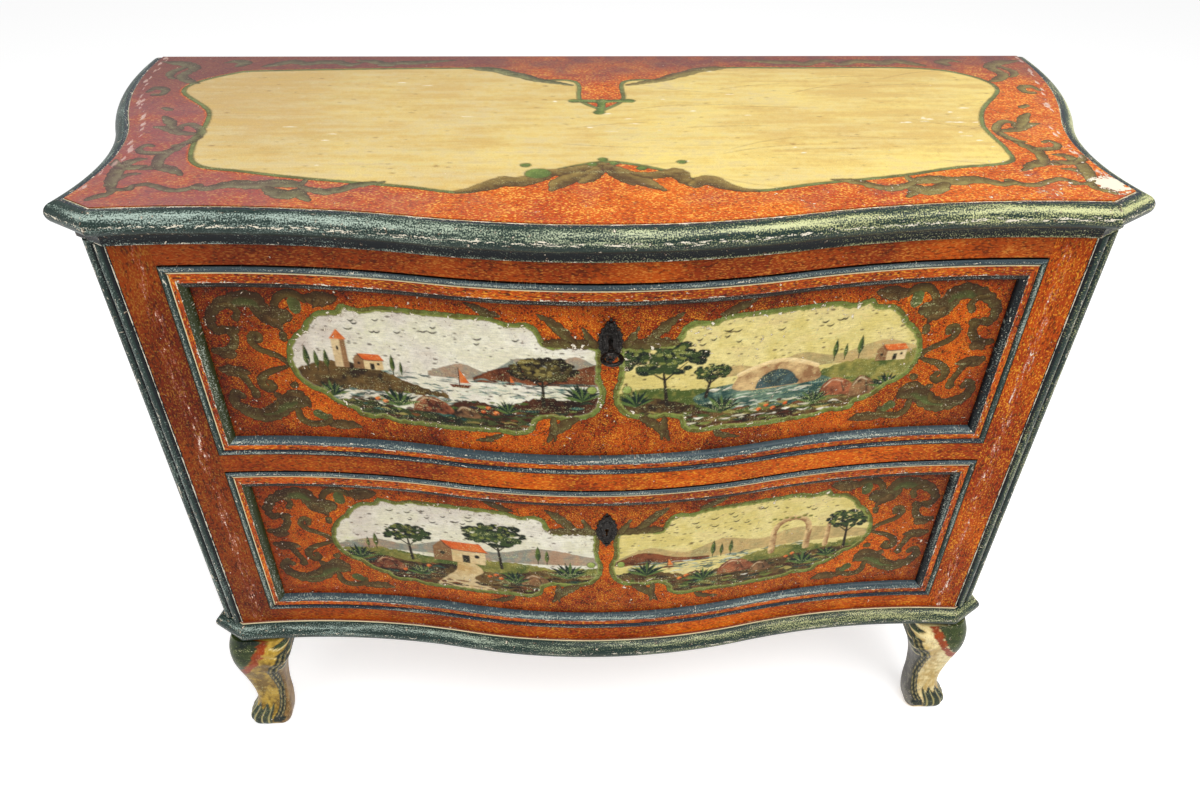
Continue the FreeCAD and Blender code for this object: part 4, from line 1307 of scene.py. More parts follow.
    def lay_on(self, piece: bpy.types.Object, across: np.ndarray, up: np.ndarray) -> None:
        """Store the painting on a piece's vertices, by their places on the field.

        Args:
            piece: Piece that carries it.
            across: Each vertex's place across.
            up: Its place upwards.
        """
        column = np.clip((across - self.left) / self.cell - 0.5, 0.0, self.shape[1] - 1.001)
        row = np.clip((up - self.foot) / self.cell - 0.5, 0.0, self.shape[0] - 1.001)
        first, top = column.astype(int), row.astype(int)
        over, down = column - first, row - top
        layers = {"paint": self.ink, "cover": self.cover, "wear": self.wear, "grime": self.grime}
        for name, field in layers.items():
            wide = over[:, None] if field.ndim == 3 else over
            high = down[:, None] if field.ndim == 3 else down
            upper = field[top, first] * (1.0 - wide) + field[top, first + 1] * wide
            lower = field[top + 1, first] * (1.0 - wide) + field[top + 1, first + 1] * wide
            Bench.layer(piece, name, upper * (1.0 - high) + lower * high)


# ------------------------------------------------------------------ mouldings
@dataclass(frozen=True)
class Spot:
    """Point of a moulding's section, with the paint that it carries."""

    first: float
    second: float
    paint: Colour
    cover: float = 2.0
    rub: float = 0.0
    chalk: float = 0.0


def bell(value: float, middle: float, width: float) -> float:
    """Return a smooth hump of height 1 round a middle."""
    return math.exp(-(((value - middle) / width) ** 2))


def torus(centre: tuple[float, float], radius: float, end: float, worn_and_highlit: float = 1.0) -> list[Spot]:
    """Return a half round's section, from underneath to an angle in degrees, rubbed and painted with highlights
    on two bands, and painted in shade underneath.

    Args:
        centre: Centre of the half round.
        radius: Its radius.
        end: Angle where it ends.
        worn_and_highlit: How strongly it is rubbed and painted with highlights.

    Returns:
        The points.
    """
    spots = []
    for angle in np.linspace(-88.0, end, 27):
        turn = math.radians(angle)
        # Rubbing and painted highlight on a band high on the front of the half round and on a band at its nose.
        rub = worn_and_highlit * (0.15 + 0.85 * bell(angle, 48.0, 22.0) + 0.35 * bell(angle, 2.0, 14.0))
        # Painted shade: the underside of the half round, facing down, takes the darkest tone.
        paint = Teal.NIGHT.value if angle < -50.0 else Teal.DEEP.value
        first, second = centre[0] + radius * math.cos(turn), centre[1] + radius * math.sin(turn)
        # Painted highlight: white flecks along the nose of the half round.
        spots.append(Spot(first, second, paint, 2.0, rub, worn_and_highlit * 0.80 * bell(angle, 4.0, 13.0)))
    return spots


def coat(piece: bpy.types.Object, spoke: np.ndarray, section: Sequence[Spot], worn_and_highlit: Any = 1.0) -> None:
    """Store a section's paint on a bar's vertices.

    Args:
        piece: Bar to paint.
        spoke: Point of the section of each vertex.
        section: The section.
        worn_and_highlit: How strongly it is rubbed and painted with highlights; one number, or one for each
            vertex.
    """
    for name in ("paint", "cover", "rub", "chalk"):
        values = np.array([getattr(spot, name) for spot in section])[spoke]
        Bench.layer(piece, name, values * worn_and_highlit if name == "rub" else values)


class Teal(Enum):
    """Colours of the dark mouldings."""

    NIGHT = tone(12, 18, 22)
    NAVY = tone(26, 36, 46)
    DEEP = tone(32, 49, 44)
    TEAL = tone(38, 54, 50)
    BLUE = tone(54, 68, 74)
    OLIVE = tone(44, 50, 24)
    CREAM = tone(222, 208, 166)
    ROSE = tone(184, 122, 98)
    SHADE = tone(24, 14, 8)


@dataclass(frozen=True)
class Cornice:
    """Heavy half round under the edge of the top, over a small lip."""

    foot: float = 805.0
    lip_out: float = 5.0
    lip_height: float = 4.0
    torus_centre: float = 831.5
    torus_radius: float = 12.5
    torus_out: float = 8.5
    board_out: float = 3.5
    board_foot: float = 820.0

    def section(self) -> list[Spot]:
        """Return the section, told in distance out and height.

        Returns:
            The section's points.
        """
        navy, night = Teal.NAVY.value, Teal.NIGHT.value
        low = self.torus_centre - self.torus_radius
        high = self.torus_centre + self.torus_radius
        lip = self.foot + self.lip_height
        # The cove and the lip under the half round are painted near-black as painted shade.
        cove = [
            Spot(self.lip_out + (self.torus_out - self.lip_out) * (1.0 - math.cos(turn)),
                 lip + (low - lip) * math.sin(turn), night)
            for turn in np.linspace(0.0, math.pi / 2.0, 7)
        ]
        return [
            Spot(0.0, self.foot, night), Spot(self.lip_out - 0.6, self.foot, night, 2.0, 0.5, 0.5),
            Spot(self.lip_out, self.foot + 0.6, night, 2.0, 0.7, 0.6), Spot(self.lip_out, lip - 0.4, night),
            *cove, *torus((self.torus_out, self.torus_centre), self.torus_radius, 88.0),
            Spot(self.torus_out - 0.2, high, navy), Spot(self.board_out + 1.6, high, navy, 2.0, 0.3, 0.6),
            Spot(self.board_out, high, Teal.CREAM.value, 2.0, 0.0, 0.9),
            Spot(self.board_out, self.board_foot, navy), Spot(0.0, self.board_foot, navy),
        ]


@dataclass(frozen=True)
class Plinth:
    """Half round under a small fillet at the foot of the case."""

    foot: float = 204.0
    radius: float = 14.0
    fillet: float = 3.0
    head: float = 235.0

    def section(self) -> list[Spot]:
        """Return the section, told in distance out and height.

        Returns:
            The section's points.
        """
        end = math.degrees(math.acos(self.fillet / self.radius))
        cream, navy = Teal.CREAM.value, Teal.NAVY.value
        return [
            Spot(0.0, self.foot, navy), *torus((0.0, self.foot + self.radius), self.radius, end, 0.7),
            Spot(self.fillet, self.head - 2.4, navy), Spot(self.fillet, self.head - 1.8, cream, 2.0, 0.0, 0.5),
            Spot(self.fillet, self.head - 0.6, cream), Spot(self.fillet - 0.6, self.head, tone(120, 60, 40)),
            Spot(0.0, self.head, tone(110, 50, 34)),
        ]


class Mouldings:
    """Cornice and plinth mouldings in five lengths each, with mitred corners."""

    STEPS = {Run.FRONT: 200, Run.CORNER: 12, Run.SIDE: 84}

    def __init__(self, finishes: Finishes) -> None:
        """Keep the finishes."""
        self.finishes = finishes

    def length(self, name: str, run: Run, hand: Hand, section: list[Spot]) -> bpy.types.Object:
        """Model and paint one length of moulding.

        Args:
            name: Name of the piece.
            run: Stretch of the outline.
            hand: Which side it is for.
            section: Its section.

        Returns:
            The finished piece.
        """
        count = self.STEPS[run] + 1
        share = np.linspace(0.0, 1.0, count)
        rings = np.zeros((count, len(section), 3))
        for number, spot in enumerate(section):
            trace = run.trace(share, spot.first * MM)
            rings[:, number, :2] = trace + np.array([0.0, CROWN])
            rings[:, number, 2] = spot.second * MM
        piece, ring, spoke = Bench.tube(name, mirrored(rings, hand))
        middle = rings[:, len(section) // 2]
        run_length = np.concatenate([[0.0], np.cumsum(np.linalg.norm(np.diff(middle, axis=0), axis=1))])
        start = {Run.FRONT: 0.0, Run.CORNER: 1.1, Run.SIDE: 1.3}[run] + (2.0 if hand is Hand.LEFT else 0.0)
        edge = np.minimum(ring, count - 1 - ring) * (run_length[-1] / count)
        steps = np.diff([(s.first, s.second) for s in section], axis=0)
        girth = np.concatenate([[0.0], np.cumsum(np.hypot(*steps.T))])
        Bench.layer(piece, "run", np.stack([start + run_length[ring], girth[spoke] * MM, 0.0 * edge], 1))
        across = Bench.spots(piece)[:, 0]
        # Rubbing and painted highlight grow stronger towards the right and a little towards the left, and fade
        # at the far left end.
        worn_and_highlit = 0.92 + 0.56 * np.clip(across / 0.45, 0.0, 1.0) + 0.30 * np.clip(-across / 0.30, 0.0, 1.0)
        worn_and_highlit -= 0.66 * np.clip((-across - 0.49) / 0.02, 0.0, 1.0)
        coat(piece, spoke, section, worn_and_highlit)
        Bench.layer(piece, "wear", 0.48 + 0.25 * np.exp(-edge / 0.006))
        return Bench.finish(piece, self.finishes.moulding)

    def build(self) -> list[bpy.types.Object]:
        """Model every length.

        Returns:
            The finished pieces.
        """
        pieces = []
        for stem, section in (("top_moulding", Cornice().section()), ("base_moulding", Plinth().section())):
            piece = self.length(f"{stem}_front_painted", Run.FRONT, Hand.RIGHT, section)
            pieces.append(shown(piece, "carcass", "painted_moulding", f"{stem}_front"))
            for hand in Hand:
                for run in (Run.CORNER, Run.SIDE):
                    node = f"{stem}_{run.value}_{hand.word}"
                    piece = self.length(f"{node}_painted", run, hand, section)
                    pieces.append(shown(piece, "carcass", "painted_moulding", node))
        return pieces


@dataclass(frozen=True)
class CornerBead:
    """Upright strip on the cut-off corner, worked into two half rounds."""

    foot: float = 235.0
    head: float = 805.0
    margin: float = 1.0
    edge: float = 2.0
    strip_out: float = 1.5
    radius: float = 6.0
    bead_out: float = 5.0
    rings: int = 121

    def section(self) -> list[Spot]:
        """Return the section, told in run along the corner and distance out.

        Returns:
            The section's points.
        """
        deep, night, edge = Teal.DEEP.value, Teal.NIGHT.value, Teal.BLUE.value
        length = CANT.length / MM
        centres = (self.margin + self.edge + self.radius, length - self.margin - self.edge - self.radius)
        squash = self.bead_out / self.radius
        spots = [Spot(self.margin, 0.0, night), Spot(self.margin, self.strip_out, edge, 2.0, 0.4, 1.5),
                 Spot(self.margin + self.edge * 0.6, self.strip_out, night)]
        for centre in centres:
            for turn in np.linspace(0.0, math.pi, 15):
                lit = math.sin(turn) ** 4
                along = centre - self.radius * math.cos(turn)
                out = self.strip_out + self.radius * squash * math.sin(turn)
                paint = deep if lit > 0.05 else night
                spots.append(Spot(along, out, paint, 2.0, 0.45 * lit, 0.55 * lit))
        end = length - self.margin
        spots += [
            Spot(end - self.edge * 0.6, self.strip_out, night), Spot(end, self.strip_out, edge, 2.0, 0.4, 1.5),
            Spot(end, 0.0, night),
        ]
        return spots

    def build(self, finishes: Finishes) -> list[bpy.types.Object]:
        """Model both corners.

        Args:
            finishes: Finishes to choose from.

        Returns:
            The finished pieces.
        """
        section = self.section()
        pieces = []
        levels = np.linspace(self.foot, self.head, self.rings)
        for hand in Hand:
            rings = np.zeros((self.rings, len(section), 3))
            for number, spot in enumerate(section):
                place = CANT.point(spot.first * MM, spot.second * MM)
                rings[:, number] = (place.x, place.y + CROWN, 0.0)
                rings[:, number, 2] = levels * MM
            piece, ring, spoke = Bench.tube(f"corner_bead_{hand.word}_painted", mirrored(rings, hand))
            girth = np.array([spot.first for spot in section])
            start = 5.0 + hand.value
            Bench.layer(piece, "run", np.stack([start + levels[ring] * MM, girth[spoke] * MM, 0.0 * ring], 1))
            coat(piece, spoke, section)
            Bench.layer(piece, "wear", np.full(len(ring), 0.46))
            Bench.finish(piece, finishes.moulding)
            pieces.append(shown(piece, "carcass", "painted_moulding", f"corner_bead_{hand.word}"))
        return pieces


# -------------------------------------------------------------- drawer frames
class Rail(Enum):
    """Sides of a drawer's frame."""

    HEAD = "head"
    FOOT = "foot"
    LEFT = "left"
    RIGHT = "right"


@dataclass(frozen=True)
class FaceFrame:
    """Mitred moulding round a drawer's face: bead, painted band and ovolo."""

    foot: float
    head: float
    half: float = 444.5
    bead: float = 6.0
    bead_out: float = 2.0
    band: float = 8.5
    head_band: float = 13.5
    ovolo: float = 7.0
    ovolo_foot: float = 6.5
    seat: float = 8.0
    long_rings: int = 181
    short_rings: int = 61

    def width(self, rail: Rail) -> float:
        """Width of a side of the frame."""
        return self.bead + self.ovolo + (self.head_band if rail is Rail.HEAD else self.band)

    def section(self, rail: Rail) -> list[Spot]:
        """Return the section, told in distance in from the edge and distance out.

        Args:
            rail: Side of the frame.

        Returns:
            The section's points.
        """
        # Painted light and shade: the head's bead and the foot's ovolo face up and take lighter tones, while
        # the head's ovolo faces down and is painted in shade, as is the foot's bead.
        bead = {Rail.HEAD: Teal.BLUE.value, Rail.LEFT: Teal.TEAL.value, Rail.RIGHT: Teal.DEEP.value,
                Rail.FOOT: Teal.NAVY.value}[rail]
        inner = {Rail.HEAD: Teal.SHADE.value, Rail.LEFT: Teal.OLIVE.value, Rail.RIGHT: Teal.NIGHT.value,
                 Rail.FOOT: Teal.BLUE.value}[rail]
        shade, cream, rose = Teal.SHADE.value, Teal.CREAM.value, Teal.ROSE.value
        band = self.head_band if rail is Rail.HEAD else self.band
        has_painted_highlight = rail in (Rail.HEAD, Rail.LEFT)
        spots = [Spot(0.0, -self.seat, shade), Spot(0.0, 0.0, shade)]
        for turn in np.linspace(0.12, math.pi - 0.12, 11):
            middle = self.bead / 2.0
            height = self.bead_out * math.sin(turn)
            crest = math.sin(turn) ** 4
            spots.append(Spot(middle - middle * math.cos(turn), height, bead, 1.0, 0.7 * crest, 0.45 * crest))
        flat = self.bead + band
        spots += [
            # On the head and the left side a cream painted highlight runs beside the bead; the other sides get
            # a rose line.
            Spot(self.bead, 0.0, shade, 1.0), Spot(self.bead + 0.5, -0.35, shade, 0.8 if has_painted_highlight else 0.3),
            Spot(self.bead + 1.1, 0.0, cream if has_painted_highlight else rose, 0.4 if has_painted_highlight else -0.5),
            Spot(self.bead + 1.9, 0.0, cream if has_painted_highlight else rose, 0.25 if has_painted_highlight else -0.9),
            Spot(self.bead + 2.6, 0.0, cream, -1.0), Spot(flat - 2.2, 0.0, inner, -1.6, 0.0, 0.3),
            Spot(flat - 1.2, 0.0, rose, -0.35, 0.0, 0.7), Spot(flat - 0.5, 0.0, inner, 0.6, 0.0, 0.5),
        ]
        for turn in np.linspace(0.0, math.pi / 2.0, 9):
            lit = bell(turn, 0.4, 0.35) * (0.9 if rail is Rail.FOOT else 0.45)
            drop = -self.ovolo_foot * (1.0 - math.cos(turn))
            spots.append(Spot(flat + self.ovolo * math.sin(turn), drop, inner, 2.0, lit, 0.5 * lit))
        width = self.width(rail)
        spots += [Spot(width, -self.ovolo_foot - 0.7, inner), Spot(width, -self.seat, shade)]
        return spots

    def side(self, name: str, rail: Rail) -> bpy.types.Object:
        """Model and paint one side of the frame.

        Args:
            name: Name of the piece.
            rail: Side of the frame.

        Returns:
            The side.
        """
        section = self.section(rail)
        level = rail in (Rail.HEAD, Rail.FOOT)
        count = self.long_rings if level else self.short_rings
        share = np.linspace(0.0, 1.0, count)
        rings = np.zeros((count, len(section), 3))
        for number, spot in enumerate(section):
            inward = spot.first
            if level:
                x_end = self.half - inward * self.width(Rail.LEFT) / self.width(rail)
                x = (2.0 * share - 1.0) * x_end
                z = np.full(count, self.head - inward if rail is Rail.HEAD else self.foot + inward)
            else:
                hand = -1.0 if rail is Rail.LEFT else 1.0
                x = np.full(count, hand * (self.half - inward))
                top = self.head - inward * self.width(Rail.HEAD) / self.width(rail)
                low = self.foot + inward * self.width(Rail.FOOT) / self.width(rail)
                z = low + share * (top - low)
            rings[:, number, 0] = x * MM
            rings[:, number, 1] = FRONT.at(x * MM, spot.second * MM) + CROWN
            rings[:, number, 2] = z * MM
        piece, ring, spoke = Bench.tube(name, rings)
        spots = Bench.spots(piece)
        along = spots[:, 0] if level else spots[:, 2]
        girth = np.array([spot.first for spot in section])[spoke] * MM
        start = {Rail.HEAD: 0.0, Rail.FOOT: 2.0, Rail.LEFT: 4.0, Rail.RIGHT: 6.0}[rail] + self.foot * 0.01
        edge = np.minimum(ring, count - 1 - ring) / count
        Bench.layer(piece, "run", np.stack([start + along, girth, 0.0 * along], 1))
        coat(piece, spoke, section)
        Bench.layer(piece, "wear", 0.40 + 0.25 * np.exp(-edge * 60.0))
        return piece

    def build(self, drawer: str, finishes: Finishes) -> bpy.types.Object:
        """Model the whole frame of a drawer.

        Args:
            drawer: Name of the drawer.
            finishes: Finishes to choose from.

        Returns:
            The finished piece.
        """
        sides = [self.side(f"{drawer}_{rail.value}", rail) for rail in Rail]
        frame = Bench.join(f"{drawer}_drawer_frame", sides)
        Bench.finish(frame, finishes.frame)
        return shown(frame, f"{drawer}_drawer", "painted_moulding", f"{drawer}_drawer_face_moulding")


# ------------------------------------------------------------------- ornament
LEAF = Brush(tone(74, 54, 24), tone(108, 84, 44), tone(50, 26, 10), 0.7, 3.2, lobe=8.0, veins=7.0)
GREEN_LEAF = Brush(tone(72, 72, 34), tone(88, 98, 48), tone(50, 36, 12), 0.0, 2.6)
STEM = Brush(tone(72, 54, 22), tone(98, 80, 36), tone(50, 26, 10), 0.7, 1.8)
ACANTHUS = Brush(tone(74, 54, 26), tone(98, 88, 46), tone(50, 26, 10), 0.7, 3.6, lobe=10.0, veins=9.0)


@dataclass(frozen=True)
class Spray:
    """Acanthus scrolls that fill the corner of a drawer's face, told for the right."""

    lift: float = 0.0

    def strokes(self) -> list[tuple[list[Knot], Brush]]:
        """Return each ribbon with its brush, the lowest first.

        Returns:
            The ribbons.
        """
        return [
            ([(276, 741, 0.5), (284, 740, 5.0), (295, 738, 7.5), (305, 738, 5.0), (313, 741, 2.0)], LEAF),
            ([(298, 736, 4.0), (303, 728, 0.6)], LEAF),
            ([(311, 735, 2.0), (316, 741, 4.0), (325, 744, 4.6), (336, 740, 4.0), (343, 729, 3.6),
              (341, 717, 3.0)], STEM),
            ([(322, 726, 6.5), (322.5, 733, 6.5)], GREEN_LEAF),
            ([(330, 714, 1.5), (338, 717, 8.5), (349, 714, 9.5), (357, 722, 8.5), (362, 733, 8.5),
              (371, 736, 8.5), (383, 735, 7.5), (396, 731, 6.0), (407, 722, 5.2), (413, 709, 4.6),
              (409, 696, 3.6)], ACANTHUS),
            ([(359, 725, 2.0), (366, 732, 4.0), (377, 733, 4.2), (388, 728, 1.5)], GREEN_LEAF),
            ([(356, 715, 4.0), (352, 709, 5.0), (345, 706, 4.0), (341, 700, 1.5)], LEAF),
            ([(341, 693, 3.6), (341.5, 688, 3.4)], STEM),
            ([(398, 729, 2.6), (389, 728, 3.2), (383, 721, 3.2), (386, 713, 3.6)], STEM),
            ([(408, 697, 5.0), (402, 699, 4.6)], STEM),
            ([(391, 698, 4.5), (396, 697, 4.0), (393, 688, 4.2), (398, 677, 4.6), (407, 671, 4.8),
              (417, 672, 3.5)], STEM),
            ([(399, 668, 5.0), (409, 666, 4.2)], LEAF),
            ([(343, 653, 1.6), (348, 662, 3.0), (360, 669, 3.2), (371, 675, 3.4), (377, 685, 3.4),
              (373, 693, 3.4), (367, 691, 3.4), (368, 685, 3.2)], STEM),
            ([(344, 652, 1.6), (355, 648, 3.0), (367, 643, 3.6), (376, 635, 4.4), (377, 626, 4.2),
              (371, 620, 4.0), (365, 624, 3.6), (368, 630, 3.2)], STEM),
            ([(341, 627, 3.6), (343, 626, 3.6)], STEM),
            ([(387, 643, 1.0), (396, 645, 4.5), (405, 645, 6.5), (415, 648, 3.0)], LEAF),
            ([(401, 643, 3.0), (395, 637, 3.6), (391, 627, 3.4), (387, 618, 3.6), (387, 612, 4.6)], STEM),
            ([(330, 596, 1.0), (334, 606, 4.5), (343, 615, 5.0), (349, 609, 6.5), (357, 605, 6.0),
              (364, 612, 3.0)], LEAF),
            ([(333, 600, 3.0), (345, 602, 6.5), (357, 599, 8.5), (368, 590, 9.0), (382, 584, 8.0),
              (398, 588, 6.5), (410, 599, 5.0), (412, 611, 4.4), (406, 617, 3.6), (402, 611, 3.0)],
             ACANTHUS),
            ([(345, 602, 2.0), (357, 597, 4.2), (370, 589, 4.0), (384, 585, 1.5)], GREEN_LEAF),
            ([(367, 602, 2.4), (371, 593, 3.2), (381, 589, 2.6)], STEM),
            ([(276, 570, 0.6), (286, 573, 4.5), (299, 573, 5.5), (311, 572, 3.0)], LEAF),
            ([(311, 584, 2.6), (313, 577, 3.6), (322, 573, 4.2), (335, 573, 4.2), (343, 580, 4.0),
              (345, 592, 3.0)], STEM),
            ([(318, 584, 5.5), (323, 588, 6.0)], GREEN_LEAF),
        ]

    def paint(self, canvas: Canvas) -> None:
        """Paint it at both ends of a face.

        Args:
            canvas: Field of the face.
        """
        for side in (1.0, -1.0):
            for knots, brush in self.strokes():
                placed = [(side * x, z + self.lift, half) for x, z, half in knots]
                canvas.stroke(placed, brush, side=-side)


@dataclass(frozen=True)
class Cartouche:
    """Shaped cream field with a green border, told for the right half of a face."""

    lift: float = 0.0
    border: float = 6.4

    def outline(self, side: float) -> list[tuple[float, float]]:
        """Return the border's outer edge.

        Args:
            side: Which half, as the sign of X.

        Returns:
            Its corners.
        """
        edge = [
            (10, 668), (9, 690), (14, 702), (40, 706), (62, 703), (70, 712), (74, 722), (86, 729),
            (100, 727), (110, 729), (120, 733), (160, 734), (200, 734), (236, 734), (252, 730), (266, 732),
            (275, 734), (281, 726), (298, 724), (312, 714), (320, 702), (327, 697), (338, 682), (343, 662),
            (341, 646), (334, 632), (322, 621), (312, 617), (302, 606), (288, 598), (280, 596), (276, 588),
            (262, 585), (246, 586), (234, 581), (200, 580), (160, 580), (120, 582), (104, 580), (90, 582),
            (80, 590), (78, 600), (66, 606), (52, 604), (36, 604), (20, 608), (10, 618), (5, 630), (4, 645),
            (8, 655),
        ]
        return [(side * x, z + self.lift) for x, z in edge]

    def paint(self, canvas: Canvas, side: float, cream: Colour, warm: Colour) -> np.ndarray:
        """Paint the border and the field.

        Args:
            canvas: Field of the face.
            side: Which half, as the sign of X.
            cream: Colour of the field.
            warm: Colour of its clouds.

        Returns:
            How far each cell lies inside the cream field.
        """
        whole = canvas.WHOLE
        inside = canvas.inside(self.outline(side), smooth=True) + canvas.noise * 2.2
        green = np.clip(0.45 + 2.4 * canvas.drift + 1.6 * canvas.noise, 0.0, 1.0)
        canvas.lay(whole, inside + 0.5, tone(58, 42, 16))
        canvas.lay(whole, inside, blend(tone(88, 82, 32), tone(112, 128, 58), green))
        field = inside - self.border + 1.6 * canvas.noise
        canvas.lay(whole, field + 2.2, tone(142, 152, 76), 0.75)
        canvas.lay(whole, field + 0.5, tone(104, 100, 52), 0.8)
        share = np.clip(0.5 + 2.4 * canvas.drift + 1.2 * canvas.noise, 0.0, 1.0)
        canvas.lay(whole, field, blend(cream, warm, share))
        return field


# ----------------------------------------------------------------- landscapes
def wash(*steps: int) -> Pair:
    """Pair a shaded and a lit tone, given one after the other; three steps give one tone."""
    return tone(*steps[:3]), tone(*steps[-3:])


INK = wash(34, 27, 18)
MAROON = wash(78, 28, 18, 112, 52, 32)
ROOF = wash(198, 80, 28, 224, 126, 60)
WALL = wash(200, 170, 120, 228, 206, 158)
SHADED_WALL = wash(124, 88, 56, 156, 118, 78)
STONE = wash(142, 102, 66, 216, 184, 128)
HAZE = wash(126, 132, 120, 178, 146, 116)
WARM_HAZE = wash(158, 142, 94, 198, 168, 110)
BARE_HILL = wash(62, 26, 14, 134, 76, 44)
MEADOW = wash(70, 84, 34, 152, 142, 70)
BANK = wash(40, 26, 14, 112, 86, 44)
DUSK = wash(30, 14, 8, 84, 44, 24)
MOSS = wash(24, 28, 18, 74, 82, 40)
STREAM = wash(38, 68, 62, 128, 152, 124)
DIRT_ROAD = wash(186, 150, 94, 226, 206, 156)
CYPRESS = wash(30, 50, 26, 96, 112, 48)
FOLIAGE = (wash(22, 32, 22), wash(50, 66, 32), wash(116, 122, 58))
DRY_FOLIAGE = (wash(30, 22, 14), wash(66, 56, 28), wash(124, 110, 58))
BOULDER = wash(66, 26, 16, 170, 100, 64)
GREY_BOULDER = wash(48, 30, 20, 150, 108, 70)
SPIKE = (wash(16, 34, 26), wash(82, 104, 50))
SPECK = wash(72, 54, 30)
GRASS = (tone(66, 86, 34), tone(112, 124, 56), tone(34, 56, 36), tone(160, 144, 78))
EARTH = (tone(70, 32, 16), tone(34, 18, 12), tone(116, 66, 34), tone(60, 20, 14), tone(20, 14, 10))
TEALS = (tone(22, 58, 52), tone(50, 92, 80), tone(18, 42, 46))
RIPPLES = (tone(112, 138, 126), tone(70, 100, 94), tone(194, 200, 178), tone(44, 72, 68))
SNOW = (tone(232, 226, 206), tone(214, 206, 176))


class Landscape:
    """Small generic landscape; its motifs are placed from its lower left corner."""

    def __init__(self, canvas: Canvas, left: float, foot: float, seed: int) -> None:
        """Start at a place on the canvas.

        Args:
            canvas: Field that it is painted on.
            left: Where its left edge lies.
            foot: Where its lower edge lies.
            seed: Start of its random draws.
        """
        self.canvas, self.left, self.foot = canvas, left, foot
        self.rng = np.random.default_rng(seed)

    def line(self, knots: Iterable[Knot], pair: Pair, share: float = 1.0, ragged: float = 0.5) -> None:
        """Paint one bare stroke."""
        placed = [(self.left + x, self.foot + z, half) for x, z, half in knots]
        self.canvas.stroke(placed, plain(*pair, ragged), share)

    def dab(self, x: float, z: float, wide: float, high: float, pair: Pair, share: float = 1.0,
            ragged: float = 1.6) -> None:
        """Paint one oval dab."""
        self.canvas.blob(self.left + x, self.foot + z, wide, high, plain(*pair, ragged), share)

    def shape(self, corners: Sequence[tuple[float, float]], pair: Pair, smooth: bool = False,
              ragged: float = 0.8) -> None:
        """Paint a closed shape."""
        placed = [(self.left + x, self.foot + z) for x, z in corners]
        self.canvas.fill(placed, plain(*pair, ragged), 1.0, smooth)

    def block(self, x: float, z: float, wide: float, high: float, pair: Pair) -> None:
        """Paint an upright rectangle."""
        self.shape([(x, z), (x, z + high), (x + wide, z + high), (x + wide, z)], pair)

    def hills(self, foot: float, pair: Pair, *crest: tuple[float, float], ragged: float = 1.2) -> None:
        """Paint rising ground.

        Args:
            foot: Level that it goes down to.
            pair: Its tones.
            crest: Points of its skyline.
            ragged: How broken its edge is.
        """
        skyline = [(float(x), float(z)) for x, z in spline(crest, 6.0)]
        self.shape([*skyline, (crest[-1][0], foot), (crest[0][0], foot)], pair, ragged=ragged)

    def land(self, pair: Pair, *crest: tuple[float, float]) -> None:
        """Paint near ground, down past the picture's foot."""
        self.hills(-60.0, pair, *crest, ragged=6.0)

    def scatter(self, box: tuple[float, float, float, float], count: int, colours: Sequence[Colour],
                length: float = 20.0, half: float = 2.4) -> None:
        """Brush many short level strokes.

        Args:
            box: Left, foot, right and head of the band that they lie in.
            count: How many.
            colours: Tones to choose from.
            length: Length of the longest.
            half: Half width of the thickest.
        """
        for _ in range(count):
            x, z = self.rng.uniform(box[0], box[2]), self.rng.uniform(box[1], box[3])
            reach = self.rng.uniform(0.25, 1.0) * length
            tilt = self.rng.uniform(-0.16, 0.16) * reach
            thick = self.rng.uniform(0.35, 1.0) * half
            shade = tuple(np.asarray(colours[self.rng.integers(len(colours))]) * self.rng.uniform(0.7, 1.2))
            self.line([(x, z, thick * 0.3), (x + reach / 2.0, z + tilt, thick), (x + reach, z, thick * 0.3)],
                      (shade, shade), 0.85, 1.6)

    def tree(self, x: float, z: float, high: float, wide: float, tones: Sequence[Pair]) -> None:
        """Paint a broad tree with a leaning trunk.

        Args:
            x: Where its foot is.
            z: Level of its foot.
            high: Its height.
            wide: Breadth of its crown.
            tones: Dark, middle and lit foliage.
        """
        lean = self.rng.uniform(-0.12, 0.12) * high
        self.line([(x, z, 2.2), (x + lean * 0.4, z + 0.3 * high, 1.7), (x + lean, z + 0.7 * high, 0.9)], INK)
        for way in (-1.0, 1.0):
            tip = (x + lean + way * wide * 0.3, z + 0.66 * high, 0.5)
            self.line([(x + lean * 0.5, z + 0.4 * high, 1.1), tip], INK)
        for pair, count, spread, grow in zip(tones, (70, 46, 26), (1.0, 0.92, 0.78), (1.15, 0.85, 0.5)):
            shift = 0.06 * wide if grow < 0.6 else 0.0
            for _ in range(count):
                turn, reach = self.rng.uniform(0.0, 2.0 * math.pi), math.sqrt(self.rng.uniform()) * spread
                size = self.rng.uniform(0.045, 0.08) * grow * wide
                self.dab(x + lean - shift + reach * math.cos(turn) * wide / 2.0,
                         z + 0.74 * high + shift + reach * math.sin(turn) * high * 0.24,
                         size, size * self.rng.uniform(0.5, 0.8), pair, ragged=2.4)

    def cypresses(self, z: float, *spots: tuple[float, float]) -> None:
        """Paint slim pointed trees, each by its place and height.

        Args:
            z: Level of their feet.
            spots: Place and height of each.
        """
        for x, high in spots:
            self.line([(x, z, 0.5), (x, z + 0.2 * high, 0.6)], INK)
            self.line([(x, z + 0.18 * high, 0.6), (x, z + 0.45 * high, 0.11 * high),
                       (x, z + 0.8 * high, 0.07 * high), (x, z + high, 0.3)], CYPRESS)

